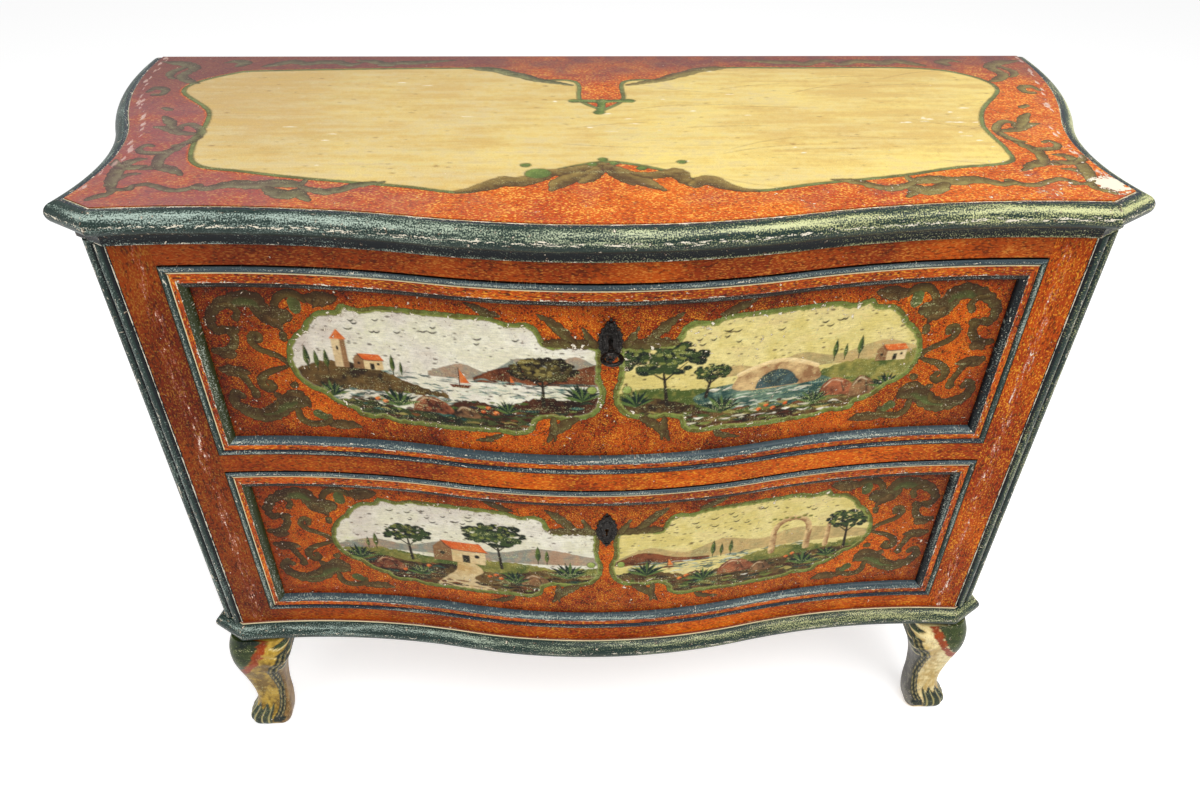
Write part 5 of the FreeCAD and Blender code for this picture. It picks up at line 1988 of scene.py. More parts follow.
    def spikes(self, *plants: tuple[float, float, float]) -> None:
        """Paint plants with long pointed leaves, each by its place and height.

        Args:
            plants: Place and height of each.
        """
        count = 13
        for x, z, high in plants:
            for number in range(count):
                turn = math.pi * (0.08 + 0.84 * (number + 0.5) / count) + self.rng.uniform(-0.08, 0.08)
                reach = high * self.rng.uniform(0.75, 1.0)
                across, up = reach * math.cos(turn), reach * math.sin(turn)
                blade = [(x, z, 0.9), (x + 0.5 * across, z + 0.58 * up, 0.075 * high),
                         (x + 1.05 * across, z + up, 0.25)]
                self.line(blade, SPIKE[0 if number % 3 else 1], ragged=0.3)

    def rock(self, x: float, z: float, wide: float, high: float, pair: Pair) -> None:
        """Paint a boulder that is lit from the upper left.

        Args:
            x: Its middle.
            z: Its foot.
            wide: Its breadth.
            high: Its height.
            pair: Its tones.
        """
        outline = ((-0.5, 0.0), (-0.42, 0.6), (-0.16, 1.0), (0.2, 0.86), (0.44, 0.5), (0.5, 0.0))
        self.shape([(x + wide * a, z + high * b) for a, b in outline], pair, True, 1.2)
        self.line([(x - 0.36 * wide, z + 0.5 * high, 0.6), (x - 0.14 * wide, z + 0.86 * high, 1.2),
                   (x + 0.14 * wide, z + 0.74 * high, 0.6)], (pair[1], tone(224, 206, 168)), 0.8)
        self.line([(x + 0.1 * wide, z + 0.7 * high, 0.6), (x + 0.22 * wide, z + 0.2 * high, 1.4)], INK, 0.7)

    def house(self, x: float, z: float, wide: float, high: float) -> None:
        """Paint a cottage with a tiled roof, seen with one end.

        Args:
            x: Its left end.
            z: Its foot.
            wide: Its breadth.
            high: Height of its walls.
        """
        gable, eaves, ridge = 0.36 * wide, z + 0.94 * high, z + 1.53 * high
        self.block(x, z, gable, high, SHADED_WALL)
        self.shape([(x, z + high), (x + gable / 2.0, ridge), (x + gable, z + high)], SHADED_WALL)
        self.block(x + gable, z, wide - gable, high, WALL)
        self.shape([(x + 0.16 * wide, ridge), (x + 0.38 * wide, eaves), (x + 1.05 * wide, eaves),
                    (x + 0.9 * wide, ridge)], ROOF)
        rim = [(x + 0.17 * wide, ridge, 0.5), (x + 0.38 * wide, eaves, 0.6), (x + 1.04 * wide, eaves, 0.5)]
        self.line(rim, MAROON)
        self.block(x + 0.56 * wide, z, 0.14 * wide, 0.6 * high, INK)
        for spot in (0.18, 0.84):
            self.dab(x + spot * wide, z + 0.57 * high, 0.05 * wide, 0.13 * high, INK, ragged=0.3)

    def tower(self, x: float, z: float, wide: float, high: float) -> None:
        """Paint a round tower with a pointed roof.

        Args:
            x: Its left side.
            z: Its foot.
            wide: Its breadth.
            high: Height of its wall.
        """
        self.block(x, z, wide, high, WALL)
        self.block(x + 0.6 * wide, z, 0.4 * wide, high, SHADED_WALL)
        tip = (x + wide / 2.0, z + 1.36 * high)
        self.shape([(x - 0.12 * wide, z + high), tip, (x + 1.12 * wide, z + high)], ROOF)
        self.dab(x + 0.36 * wide, z + 0.68 * high, 0.09 * wide, 0.08 * high, INK, ragged=0.3)

    def arch(self, x: float, z: float, wide: float, high: float) -> None:
        """Paint a ruined arch on two piers, with plants along its head.

        Args:
            x: Its left pier.
            z: Its foot.
            wide: Its span.
            high: Its height.
        """
        thick, spring = 0.085 * wide, z + 0.6 * high
        for spot in (x, x + wide):
            self.line([(spot, z, thick * 1.15), (spot, spring, thick)], STONE, ragged=1.4)
        ring = [
            (x + wide * (1.0 - math.cos(turn)) / 2.0, spring + 0.4 * high * math.sin(turn), thick)
            for turn in np.linspace(0.0, math.pi, 7)
        ]
        self.line(ring, STONE, ragged=1.4)
        for number in range(7):
            spot = x + (0.17 * number - 0.05) * wide
            self.dab(spot, z + high + 1.0 + self.rng.uniform(-1.5, 1.5), 3.0, 1.8, MEADOW)

    def bridge(self, x: float, z: float, wide: float, high: float) -> None:
        """Paint a stone bridge of one span.

        Args:
            x: Its left end.
            z: Its foot.
            wide: Its length.
            high: Its height.
        """
        crown = [
            (x + share * wide, z + high * (0.6 + 0.38 * math.sin(math.pi * share)))
            for share in np.linspace(0.0, 1.0, 9)
        ]
        self.shape([*crown, (x + wide, z), (x, z)], STONE, True, 1.2)
        self.line([(*spot, 2.6) for spot in crown], (STONE[1], tone(236, 212, 160)))
        opening = [
            (x + wide * (0.5 - 0.27 * math.cos(turn)), z - 1.0 + 0.68 * high * math.sin(turn))
            for turn in np.linspace(0.0, math.pi, 9)
        ]
        self.shape(opening, wash(40, 50, 46, 70, 92, 92), True, 1.2)

    def boat(self, x: float, z: float, wide: float) -> None:
        """Paint a small boat with one sail.

        Args:
            x: Its left end.
            z: Its keel.
            wide: Its length.
        """
        hull = [(x, z + 0.16 * wide), (x + 0.14 * wide, z), (x + 0.86 * wide, z), (x + wide, z + 0.2 * wide)]
        self.shape(hull, MAROON)
        self.line([(x + 0.46 * wide, z + 0.1 * wide, 0.6), (x + 0.46 * wide, z + 1.1 * wide, 0.5)], INK)
        self.shape([(x + 0.49 * wide, z + 0.26 * wide), (x + 0.49 * wide, z + 1.04 * wide),
                    (x + 0.92 * wide, z + 0.3 * wide)], ROOF, ragged=0.6)

    def touches(self, *spots: tuple[float, float]) -> None:
        """Dab small flowers.

        Args:
            spots: Where they are.
        """
        for x, z in spots:
            self.dab(x, z, 3.0, 2.4, ROOF)
            self.dab(x + 1.8, z - 1.6, 1.6, 1.2, MAROON)

    def sky(self, wide: float, high: float, cloud: Colour, birds: int) -> None:
        """Brush faint clouds, specks and distant birds over the cream.

        Args:
            wide: How far across.
            high: How far up.
            cloud: Tone of the clouds.
            birds: How many birds.
        """
        for _ in range(26):
            x, z = self.rng.uniform(0.0, wide), self.rng.uniform(0.45 * high, high)
            reach = self.rng.uniform(14.0, 46.0)
            self.line([(x, z, 0.4), (x + reach / 2, z + self.rng.uniform(-2, 3), self.rng.uniform(1.2, 3.4)),
                       (x + reach, z, 0.4)], (cloud, cloud), 0.35, 3.0)
        for _ in range(230):
            x, z = self.rng.uniform(0.0, wide), self.rng.uniform(0.2 * high, high)
            size = self.rng.uniform(0.4, 1.15)
            self.dab(x, z, size * 2.2, size, SPECK, 0.75)
        for _ in range(birds):
            x, z = self.rng.uniform(0.2, 0.8) * wide, self.rng.uniform(0.76, 0.9) * high
            span = self.rng.uniform(2.6, 5.0)
            self.line([(x - span, z + 1.4, 0.4), (x - span * 0.4, z + 0.2, 0.85), (x, z, 0.85),
                       (x + span * 0.45, z + 0.6, 0.85), (x + span, z + 2.4, 0.4)], INK, ragged=0.2)


class View(Enum):
    """The landscapes, by the name of what paints each."""

    LAKE = "lake"
    STREAM = "stream"
    COTTAGE = "cottage"
    RUIN = "ruin"
    GARDEN = "garden"


class Pictures(Landscape):
    """The drawers' landscapes, 334 wide and 154 high, and the taller one of the sides."""

    def paint(self, view: View) -> None:
        """Paint one of them.

        Args:
            view: Which one.
        """
        size = (260.0, 300.0) if view is View.GARDEN else (330.0, 154.0)
        cool = view in (View.LAKE, View.COTTAGE)
        self.sky(*size, tone(216, 206, 180) if cool else tone(214, 190, 128), 13)
        getattr(self, view.value)()

    def lake(self) -> None:
        """Lake with boats under hills, and a tower on the near shore."""
        self.hills(72, HAZE, (150, 78), (186, 92), (214, 84), (246, 104), (276, 96), (306, 108), (334, 92))
        self.hills(70, BARE_HILL, (198, 76), (226, 90), (250, 94), (272, 84), (300, 90), (334, 100))
        self.scatter((20, 50, 320, 74), 120, RIPPLES, 26.0, 1.4)
        self.boat(172, 60, 24)
        self.boat(232, 69, 11)
        self.hills(44, BANK, (0, 66), (26, 78), (58, 82), (96, 74), (126, 60), (170, 48), ragged=5.0)
        self.tower(50, 74, 15, 36)
        self.house(70, 73, 32, 13)
        self.cypresses(68, (20, 32), (30, 26), (41, 28), (112, 26), (121, 18))
        self.scatter((20, 26, 180, 46), 70, RIPPLES + SNOW, 26.0, 1.8)
        self.land(DUSK, (150, 22), (190, 44), (230, 40), (270, 54), (300, 50), (334, 58))
        self.land(MOSS, (0, 20), (70, 32), (120, 22), (180, 32), (230, 26), (334, 30))
        self.scatter((10, 6, 330, 36), 150, EARTH)
        self.scatter((40, 10, 320, 46), 90, GRASS + TEALS, 16.0, 2.0)
        self.tree(272, 42, 64, 70, DRY_FOLIAGE)
        self.rock(150, 22, 44, 22, BOULDER)
        self.rock(188, 20, 28, 15, GREY_BOULDER)
        self.spikes((112, 26, 28), (312, 50, 26), (40, 34, 22), (232, 30, 18))
        self.touches((206, 30), (212, 36), (220, 29), (90, 34), (98, 31))

    def stream(self) -> None:
        """Stream under a bridge, with a broad tree on the left."""
        self.hills(74, WARM_HAZE, (90, 76), (126, 88), (160, 82), (200, 94), (240, 86), (292, 100), (334, 88))
        self.cypresses(78, (238, 28), (250, 21), (266, 30))
        self.land(MEADOW, (0, 58), (40, 66), (90, 60), (130, 62), (160, 52), (200, 60), (262, 76), (300, 74),
                  (334, 88))
        self.house(286, 72, 34, 14)
        water = [(110, 62), (150, 66), (196, 64), (232, 58), (244, 44), (206, 26), (116, 30), (84, 48)]
        self.shape(water, STREAM, True)
        self.scatter((96, 30, 226, 60), 70, RIPPLES + SNOW, 24.0, 1.4)
        self.bridge(132, 54, 88, 34)
        self.land(BANK, (0, 46), (40, 52), (84, 40), (116, 26), (160, 22), (230, 30), (260, 46), (334, 40))
        self.scatter((0, 6, 330, 34), 170, EARTH + GRASS)
        self.scatter((220, 26, 330, 54), 60, GRASS, 18.0, 2.2)
        self.scatter((60, 10, 290, 26), 40, SNOW + GRASS, 22.0, 1.8)
        self.tree(56, 42, 84, 88, FOLIAGE)
        self.tree(98, 50, 44, 40, FOLIAGE)
        self.rock(248, 30, 42, 24, BOULDER)
        self.rock(278, 26, 30, 28, GREY_BOULDER)
        self.spikes((116, 26, 28), (222, 22, 22), (22, 42, 24), (306, 34, 24))
        self.touches((160, 24), (168, 28), (176, 23), (190, 27))

    def cottage(self) -> None:
        """Cottage among trees with a path to the front."""
        self.hills(64, HAZE, (4, 70), (50, 82), (96, 76), (150, 90), (204, 80), (262, 92), (334, 76))
        self.land(MEADOW, (0, 62), (60, 66), (130, 58), (220, 64), (280, 56), (334, 60))
        self.tree(212, 52, 78, 78, FOLIAGE)
        self.house(126, 54, 66, 24)
        self.tree(98, 50, 62, 58, FOLIAGE)
        self.cypresses(64, (258, 32), (269, 25), (54, 28), (44, 20))
        self.land(BANK, (0, 48), (40, 56), (100, 44), (150, 48), (210, 40), (262, 52), (334, 44))
        self.scatter((0, 10, 132, 44), 110, EARTH + TEALS)
        self.scatter((196, 10, 330, 44), 110, GRASS + EARTH + TEALS)
        path = [(156, 54), (178, 54), (188, 40), (176, 26), (206, 4), (130, 4), (142, 26), (153, 38)]
        self.shape(path, DIRT_ROAD, True)
        self.scatter((40, 4, 290, 20), 70, EARTH)
        self.rock(66, 28, 42, 22, BOULDER)
        self.rock(254, 24, 36, 20, GREY_BOULDER)
        self.spikes((296, 40, 30), (228, 26, 24), (30, 44, 28), (106, 22, 22))
        self.touches((196, 34), (204, 38), (210, 32), (118, 40), (86, 28))

    def ruin(self) -> None:
        """Ruined arch by the water with hills behind."""
        self.hills(66, WARM_HAZE, (4, 72), (48, 92), (92, 80), (140, 96), (190, 84), (240, 94), (334, 78))
        self.hills(62, BARE_HILL, (4, 68), (40, 84), (84, 72), (124, 68))
        self.scatter((20, 46, 240, 66), 110, RIPPLES, 26.0, 1.4)
        self.boat(64, 54, 16)
        self.land(MEADOW, (150, 46), (186, 60), (230, 64), (280, 58), (334, 66))
        self.arch(206, 56, 46, 56)
        self.line([(278, 56, 3.6), (278, 92, 3.0)], STONE)
        self.tree(304, 50, 66, 56, FOLIAGE)
        self.cypresses(64, (128, 30), (139, 23), (151, 27))
        self.land(BANK, (0, 46), (50, 50), (110, 36), (160, 46), (220, 42), (280, 50), (334, 44))
        self.scatter((0, 8, 330, 40), 200, EARTH + GRASS)
        self.scatter((40, 12, 300, 36), 50, GRASS + SNOW + TEALS, 20.0, 1.8)
        self.rock(160, 30, 48, 24, BOULDER)
        self.rock(194, 24, 28, 17, GREY_BOULDER)
        self.spikes((44, 42, 28), (118, 24, 24), (250, 24, 26), (282, 34, 20))
        self.touches((88, 32), (96, 36), (228, 42), (236, 46))

    def garden(self) -> None:
        """Broad tree on a meadow before a far tower."""
        self.hills(78, HAZE, (0, 84), (50, 108), (104, 94), (160, 116), (216, 98), (270, 110))
        self.land(MEADOW, (0, 82), (70, 88), (150, 80), (220, 86), (270, 80))
        self.tower(176, 80, 18, 44)
        self.cypresses(80, (150, 40), (162, 30), (214, 36))
        self.land(BANK, (0, 40), (60, 50), (130, 34), (200, 44), (270, 36))
        self.scatter((0, 40, 250, 80), 120, GRASS, 26.0)
        self.scatter((0, -50, 250, 44), 240, EARTH + GRASS, 28.0, 3.0)
        self.tree(78, 46, 150, 124, FOLIAGE)
        self.rock(180, 14, 60, 30, BOULDER)
        self.spikes((130, 0, 44), (40, 16, 34), (222, 20, 30))


# --------------------------------------------------------------------- panels
@dataclass(frozen=True)
class Drawer:
    """Where a drawer lies, in millimetres, and what is painted on it."""

    name: str
    lift: float
    foot: float
    head: float
    keyhole: float
    views: tuple[View, View]
    seed: int


DRAWERS = (
    Drawer("upper", 0.0, 532.0, 778.0, 708.0, (View.LAKE, View.STREAM), 11),
    Drawer("lower", -274.0, 258.0, 504.0, 434.0, (View.COTTAGE, View.RUIN), 23),
)


class DrawerPainting:
    """Painting of a drawer's face: two landscapes between scrolls."""

    HALF = 426.0
    LEVELS = (551.0, 754.0)
    PANEL_HALF = 423.0
    PANEL_LEVELS = (553.5, 751.5)
    PICTURES_LEFT = {-1.0: -342.0, 1.0: 6.0}
    PICTURES_FOOT = 580.0

    def __init__(self, lift: float, views: tuple[View, View], seed: int) -> None:
        """Paint the whole face.

        Args:
            lift: How far above the upper drawer's place it lies.
            views: Landscapes on the left and on the right.
            seed: Start of its noise.
        """
        low, high = (level + lift for level in self.LEVELS)
        self.canvas = canvas = Canvas(-self.HALF, low, 2.0 * self.HALF, high - low, 0.5, seed)
        Spray(lift).paint(canvas)
        fields = {}
        tones = {
            1.0: (tone(206, 188, 112), tone(224, 208, 140)),
            -1.0: (tone(214, 208, 182), tone(234, 230, 212)),
        }
        for side in (1.0, -1.0):
            fields[side] = Cartouche(lift).paint(canvas, side, *tones[side])
        for side, view in ((-1.0, views[0]), (1.0, views[1])):
            canvas.clip = np.clip(fields[side] + 0.5, 0.0, 1.0)
            start, foot = self.PICTURES_LEFT[side], self.PICTURES_FOOT + lift
            Pictures(canvas, start, foot, 100 + seed + int(side)).paint(view)
        canvas.clip = np.ones(canvas.shape)
        self.centre(lift)
        near = np.exp(-np.abs(np.maximum(fields[1.0], fields[-1.0])) / 5.0)
        canvas.wear = 0.42 + 0.25 * near + 0.5 * canvas.drift
        x, z = canvas.x[None, :], canvas.z[:, None] - lift
        foot, head = self.PANEL_LEVELS
        # Grime and painted shade: darker near the panel's frame, towards the left and at the ends, with grime
        # in random patches.
        edge = np.minimum(self.PANEL_HALF - np.abs(x), np.minimum(z - foot, head - z))
        rim = 0.85 * np.exp(-np.maximum(edge, 0.0) / 12.0)
        left, ends = np.clip(-x / 420.0, 0.0, 1.0), np.clip((np.abs(x) - 320.0) / 80.0, 0.0, 1.0)
        canvas.grime = np.clip(rim + 0.42 * left + 0.30 * ends + 0.9 * canvas.drift - 0.06, 0.0, 0.95)

    def centre(self, lift: float) -> None:
        """Paint the leaves and dots in the middle.

        Args:
            lift: How far above the upper drawer's place it lies.
        """
        canvas = self.canvas
        berry = Brush(tone(122, 140, 66), tone(158, 172, 92), tone(70, 56, 24), 0.8, 1.0)
        for side in (1.0, -1.0):
            for knots in (
                [(12, 702, 2.0), (30, 704, 5.0), (50, 705, 5.0), (66, 704, 3.0)],
                [(36, 706, 2.0), (48, 717, 4.8), (60, 729, 4.2), (73, 739, 1.0)],
                [(16, 700, 2.0), (20, 708, 3.8), (28, 723, 1.0)],
                [(112, 734, 1.5), (126, 739, 4.0), (137, 744, 3.4), (147, 748, 0.8)],
                [(34, 606, 2.0), (44, 600, 5.0), (58, 588, 4.6), (67, 573, 1.0)],
                [(60, 606, 1.6), (60, 592, 3.4), (59, 574, 0.8)],
                [(118, 579, 2.0), (128, 573, 3.6), (147, 568, 0.8)],
            ):
                canvas.stroke([(side * x, z + lift, half) for x, z, half in knots], ACANTHUS, side=-side)
            canvas.blob(side * 18.5, 645.0 + lift, 4.6, 4.6, berry)


@dataclass(frozen=True)
class DrawerPanel:
    """Painted skin of a drawer's face, in a left and a right half."""

    drawer: Drawer
    half: float = 0.4250
    levels: tuple[float, float] = (552.5, 752.5)
    columns: int = 426
    rows: int = 199
    out: float = 0.6 * MM
    thick: float = 0.9 * MM
    hole: tuple[float, float, float] = (7.0 * MM, 10.0 * MM, 16.0 * MM)
    hole_drop: float = 4.0

    def build(self, finishes: Finishes) -> list[bpy.types.Object]:
        """Model both halves, with the keyhole cut through them.

        Args:
            finishes: Finishes to choose from.

        Returns:
            The finished pieces.
        """
        drawer = self.drawer
        painting = DrawerPainting(drawer.lift, drawer.views, drawer.seed)
        pieces = []
        for hand in Hand:
            x = np.linspace(0.0, hand.value * self.half, self.columns)
            z = (np.linspace(*self.levels, self.rows) + drawer.lift) * MM
            places = np.zeros((len(z), len(x), 3))
            places[..., 0] = x[None]
            places[..., 1] = (FRONT.at(x, -FACE_DEPTH) + CROWN - self.out)[None]
            places[..., 2] = z[:, None]
            name = f"{drawer.name}_drawer_panel_{hand.word}"
            piece = Bench.sheet(name, places, Vector((0.0, self.thick, 0.0)), True)
            self.pierce(piece)
            Bench.finish(piece, finishes.panel)
            spots = Bench.spots(piece) / MM
            painting.canvas.lay_on(piece, spots[:, 0], spots[:, 2])
            pieces.append(shown(piece, f"{drawer.name}_drawer", "painted_panel"))
        return pieces

    def pierce(self, piece: bpy.types.Object) -> None:
        """Cut the keyhole.

        Args:
            piece: Skin to cut.
        """
        Bench.clear()
        level = (self.drawer.keyhole - self.hole_drop) * MM
        bpy.ops.mesh.primitive_cube_add(size=1.0, location=(0.0, DRAWER_FACE, level))
        cutter = bpy.context.active_object
        cutter.scale = self.hole
        Bench.cut(piece, cutter)


# ------------------------------------------------------------------ table top
class TopPainting:
    """Painting of the top: a shaped cream field in a red border with scrolls."""

    SPREAD = 1.0106
    CENTRE = (-42.7, -743.6)

    def __init__(self) -> None:
        """Paint the whole top, told in millimetres across and in from the crown."""
        self.canvas = canvas = Canvas(-620.0, -40.0, 1240.0, 560.0, 1.0, 41)
        whole = canvas.WHOLE
        field = canvas.inside(self.outline(), smooth=True) + canvas.noise * 1.2
        across = np.clip((canvas.x[None, :] + 500.0) / 1000.0, 0.0, 1.0)
        near = np.clip(1.0 - canvas.z[:, None] / 470.0, 0.0, 1.0)
        canvas.lay(whole, field + 6.1, tone(80, 52, 28))
        green = np.clip(0.5 + 2.4 * canvas.drift + 1.6 * canvas.noise, 0.0, 1.0)
        canvas.lay(whole, field + 5.2, blend(tone(90, 92, 48), tone(112, 124, 68), green))
        canvas.lay(whole, field + 1.2, tone(104, 92, 44))
        streaks = canvas.streaks(9.0, 53)
        ripe = 0.10 + 0.90 * across + 0.5 * canvas.drift + 0.8 * canvas.noise + 1.0 * streaks
        cream = blend(tone(206, 184, 130), tone(230, 206, 116), np.clip(ripe, 0.0, 1.0))
        blotches = 0.9 * clouds(canvas.shape, 120.0, 47, 4) + 0.6 * canvas.noise + 1.1 * streaks
        brown = np.clip(0.10 + 0.55 * (0.8 - near) + blotches, 0.0, 0.6)
        canvas.lay(whole, field, blend(cream, tone(186, 146, 84), brown))
        self.age(field)
        self.scrolls()
        self.rub_edges()
        right = np.clip((across - 0.45) * 1.6, 0.0, 1.0) * np.exp(-np.abs(canvas.z[:, None] - 60.0) / 120.0)
        canvas.wear = 0.30 + 0.35 * right + 0.5 * canvas.drift
        chip = np.hypot((canvas.x[None, :] - 494.0) / 20.0, (canvas.z[:, None] - 66.0) / 24.0)
        canvas.wear += 1.6 * np.clip(1.1 - chip, 0.0, 1.0)
        canvas.wear[field > 4.0] -= 0.12
        # Painted sheen and shade, mostly over the red border and strongest at the left and at the back, with
        # grime in random patches.
        red = np.clip(1.0 - (field + 9.0) / 3.0, 0.0, 1.0)
        left = np.clip((-80.0 - canvas.x[None, :]) / 330.0, 0.0, 1.0)
        back = np.clip((canvas.z[:, None] - 330.0) / 110.0, 0.0, 1.0)
        spread = (0.85 * left + 0.85 * back) * (0.10 + 0.90 * red)
        canvas.grime = np.clip(spread + 0.7 * canvas.drift * (0.25 + 0.75 * red), 0.0, 0.95)

    def outline(self) -> list[tuple[float, float]]:
        """Return the edge of the cream field.

        Returns:
            Its corners.
        """
        right = [(28, 300), (33, 362), (85, 368), (110, 390), (155, 412), (250, 412), (390, 412), (455, 392),
                 (483, 340), (440, 270), (420, 215), (420, 150), (410, 120), (350, 108), (290, 90), (200, 72),
                 (140, 58), (100, 80), (75, 88), (60, 104)]
        left = [(-60, 104), (-75, 88), (-100, 80), (-140, 58), (-200, 72), (-300, 92), (-360, 108), (-410, 124),
                (-428, 170), (-440, 265), (-492, 340), (-455, 392), (-400, 405), (-155, 412), (-110, 390),
                (-85, 368),
                (-33, 362), (-28, 300)]
        return [(0, 262), *right, (0, 127), *left]

    def age(self, field: np.ndarray) -> None:
        """Streak and speck the cream field.

        Args:
            field: How far each cell lies inside the cream field.
        """
        canvas = self.canvas
        canvas.clip = np.clip(field - 1.0, 0.0, 1.0)
        draw = canvas.rng.uniform
        streak = (plain(tone(176, 138, 72), ragged=3.0), plain(tone(178, 156, 104), ragged=3.0))
        for _ in range(260):
            x, y, reach = draw(-490.0, 480.0), draw(60.0, 410.0), draw(20.0, 130.0)
            brush = streak[0] if canvas.rng.random() < 0.5 else streak[1]
            middle = (x + reach / 2.0, y + draw(-3.0, 3.0), draw(0.5, 2.4))
            canvas.stroke([(x, y, 0.4), middle, (x + reach, y, 0.4)], brush, 0.16)
        speck = plain(tone(104, 70, 34), tone(134, 94, 50))
        for _ in range(220):
            x, y, size = draw(-480.0, 480.0), draw(60.0, 410.0), draw(0.4, 1.2)
            canvas.blob(x, y, size * 2.4, size, speck, 0.6)
        white = plain(tone(240, 234, 208), tone(246, 242, 222), 2.2)
        spots = ((400.0, 215.0, 34.0, 22), (60.0, 190.0, 90.0, 16), (-150.0, 300.0, 180.0, 14))
        for middle_x, middle_y, spread, count in spots:
            for _ in range(count):
                x, y = middle_x + canvas.rng.normal() * spread, middle_y + canvas.rng.normal() * spread * 0.8
                reach = draw(3.0, 16.0)
                middle = (x + reach / 2.0, y + 0.6, draw(0.5, 1.5))
                canvas.stroke([(x, y, 0.3), middle, (x + reach, y, 0.3)], white, 0.9)
        scratch = plain(tone(120, 82, 42), tone(140, 100, 54), 0.8)
        for _ in range(22):
            x, y, tilt = draw(-60.0, 380.0), draw(90.0, 400.0), draw(-40.0, 40.0)
            line = [(x, y, 0.4), (x + 40.0, y + tilt * 0.6, 0.6), (x + 90.0, y + tilt, 0.3)]
            canvas.stroke(line, scratch, 0.6)
        canvas.clip = np.ones(canvas.shape)

    def scrolls(self) -> None:
        """Paint the scrolls of the border, the finial and the dots."""
        canvas = self.canvas
        leaf = {-1.0: (tone(72, 68, 40), tone(122, 122, 80)), 1.0: (tone(92, 72, 32), tone(140, 126, 70))}
        for side, pair in leaf.items():
            for shaped, knots in self.end_strokes():
                brush = Brush(*pair, tone(52, 26, 14), 0.9, 2.6, lobe=9.0 if shaped else 0.0)
                canvas.stroke([(-side * x, y, 0.86 * half) for x, y, half in knots], brush, side=side)
        brown = Brush(tone(84, 60, 26), tone(138, 114, 58), tone(62, 28, 12), 0.9, 3.4, lobe=8.0)
        green = Brush(tone(74, 92, 38), tone(112, 132, 60), tone(66, 46, 18), 0.8, 2.0)
        for knots in (
            [(-148, 56, 1.5), (-132, 61, 5.0), (-118, 69, 8.0), (-104, 79, 9.0), (-90, 77, 8.5), (-76, 83, 8.0),
             (-60, 93, 5.0)],
            [(-64, 102, 3.0), (-49, 99, 7.0), (-35, 105, 6.5), (-20, 110, 6.0), (-4, 117, 5.5)],
            [(-58, 57, 1.5), (-49, 74, 8.0), (-36, 87, 8.5), (-21, 94, 7.0), (-8, 108, 5.5)],
            [(-29, 74, 1.0), (-20, 84, 6.0), (-10, 99, 5.5)],
            [(-2, 113, 5.5), (8, 98, 8.0), (17, 83, 7.0), (23, 69, 1.5)],
            [(6, 108, 5.0), (20, 91, 8.0), (33, 76, 8.0), (52, 57, 1.5)],
            [(24, 96, 2.5), (40, 91, 6.0), (55, 94, 6.5), (69, 98, 8.0), (73, 81, 7.0), (84, 68, 5.5)],
            [(80, 69, 4.5), (97, 79, 9.0), (110, 67, 7.0), (124, 58, 4.0), (142, 53, 1.0)],
        ):
            canvas.stroke(knots, brown)
        canvas.blob(-71.0, 97.0, 13.0, 11.0, green)
        for x, y in ((-84, 117), (-16, 119), (-5, 130), (6, 121), (33, 108), (75, 123)):
            canvas.blob(x, y, 5.0, 4.4, green)
        for side in (-1.0, 1.0):
            canvas.stroke([(side * 34.0, 298.0, 5.0), (side * 16.0, 298.0, 4.0), (0.0, 296.0, 5.0)], green)
        canvas.stroke([(0, 298, 5.0), (-1, 282, 4.0), (-3, 268, 4.0), (-4, 262, 6.5)], green)

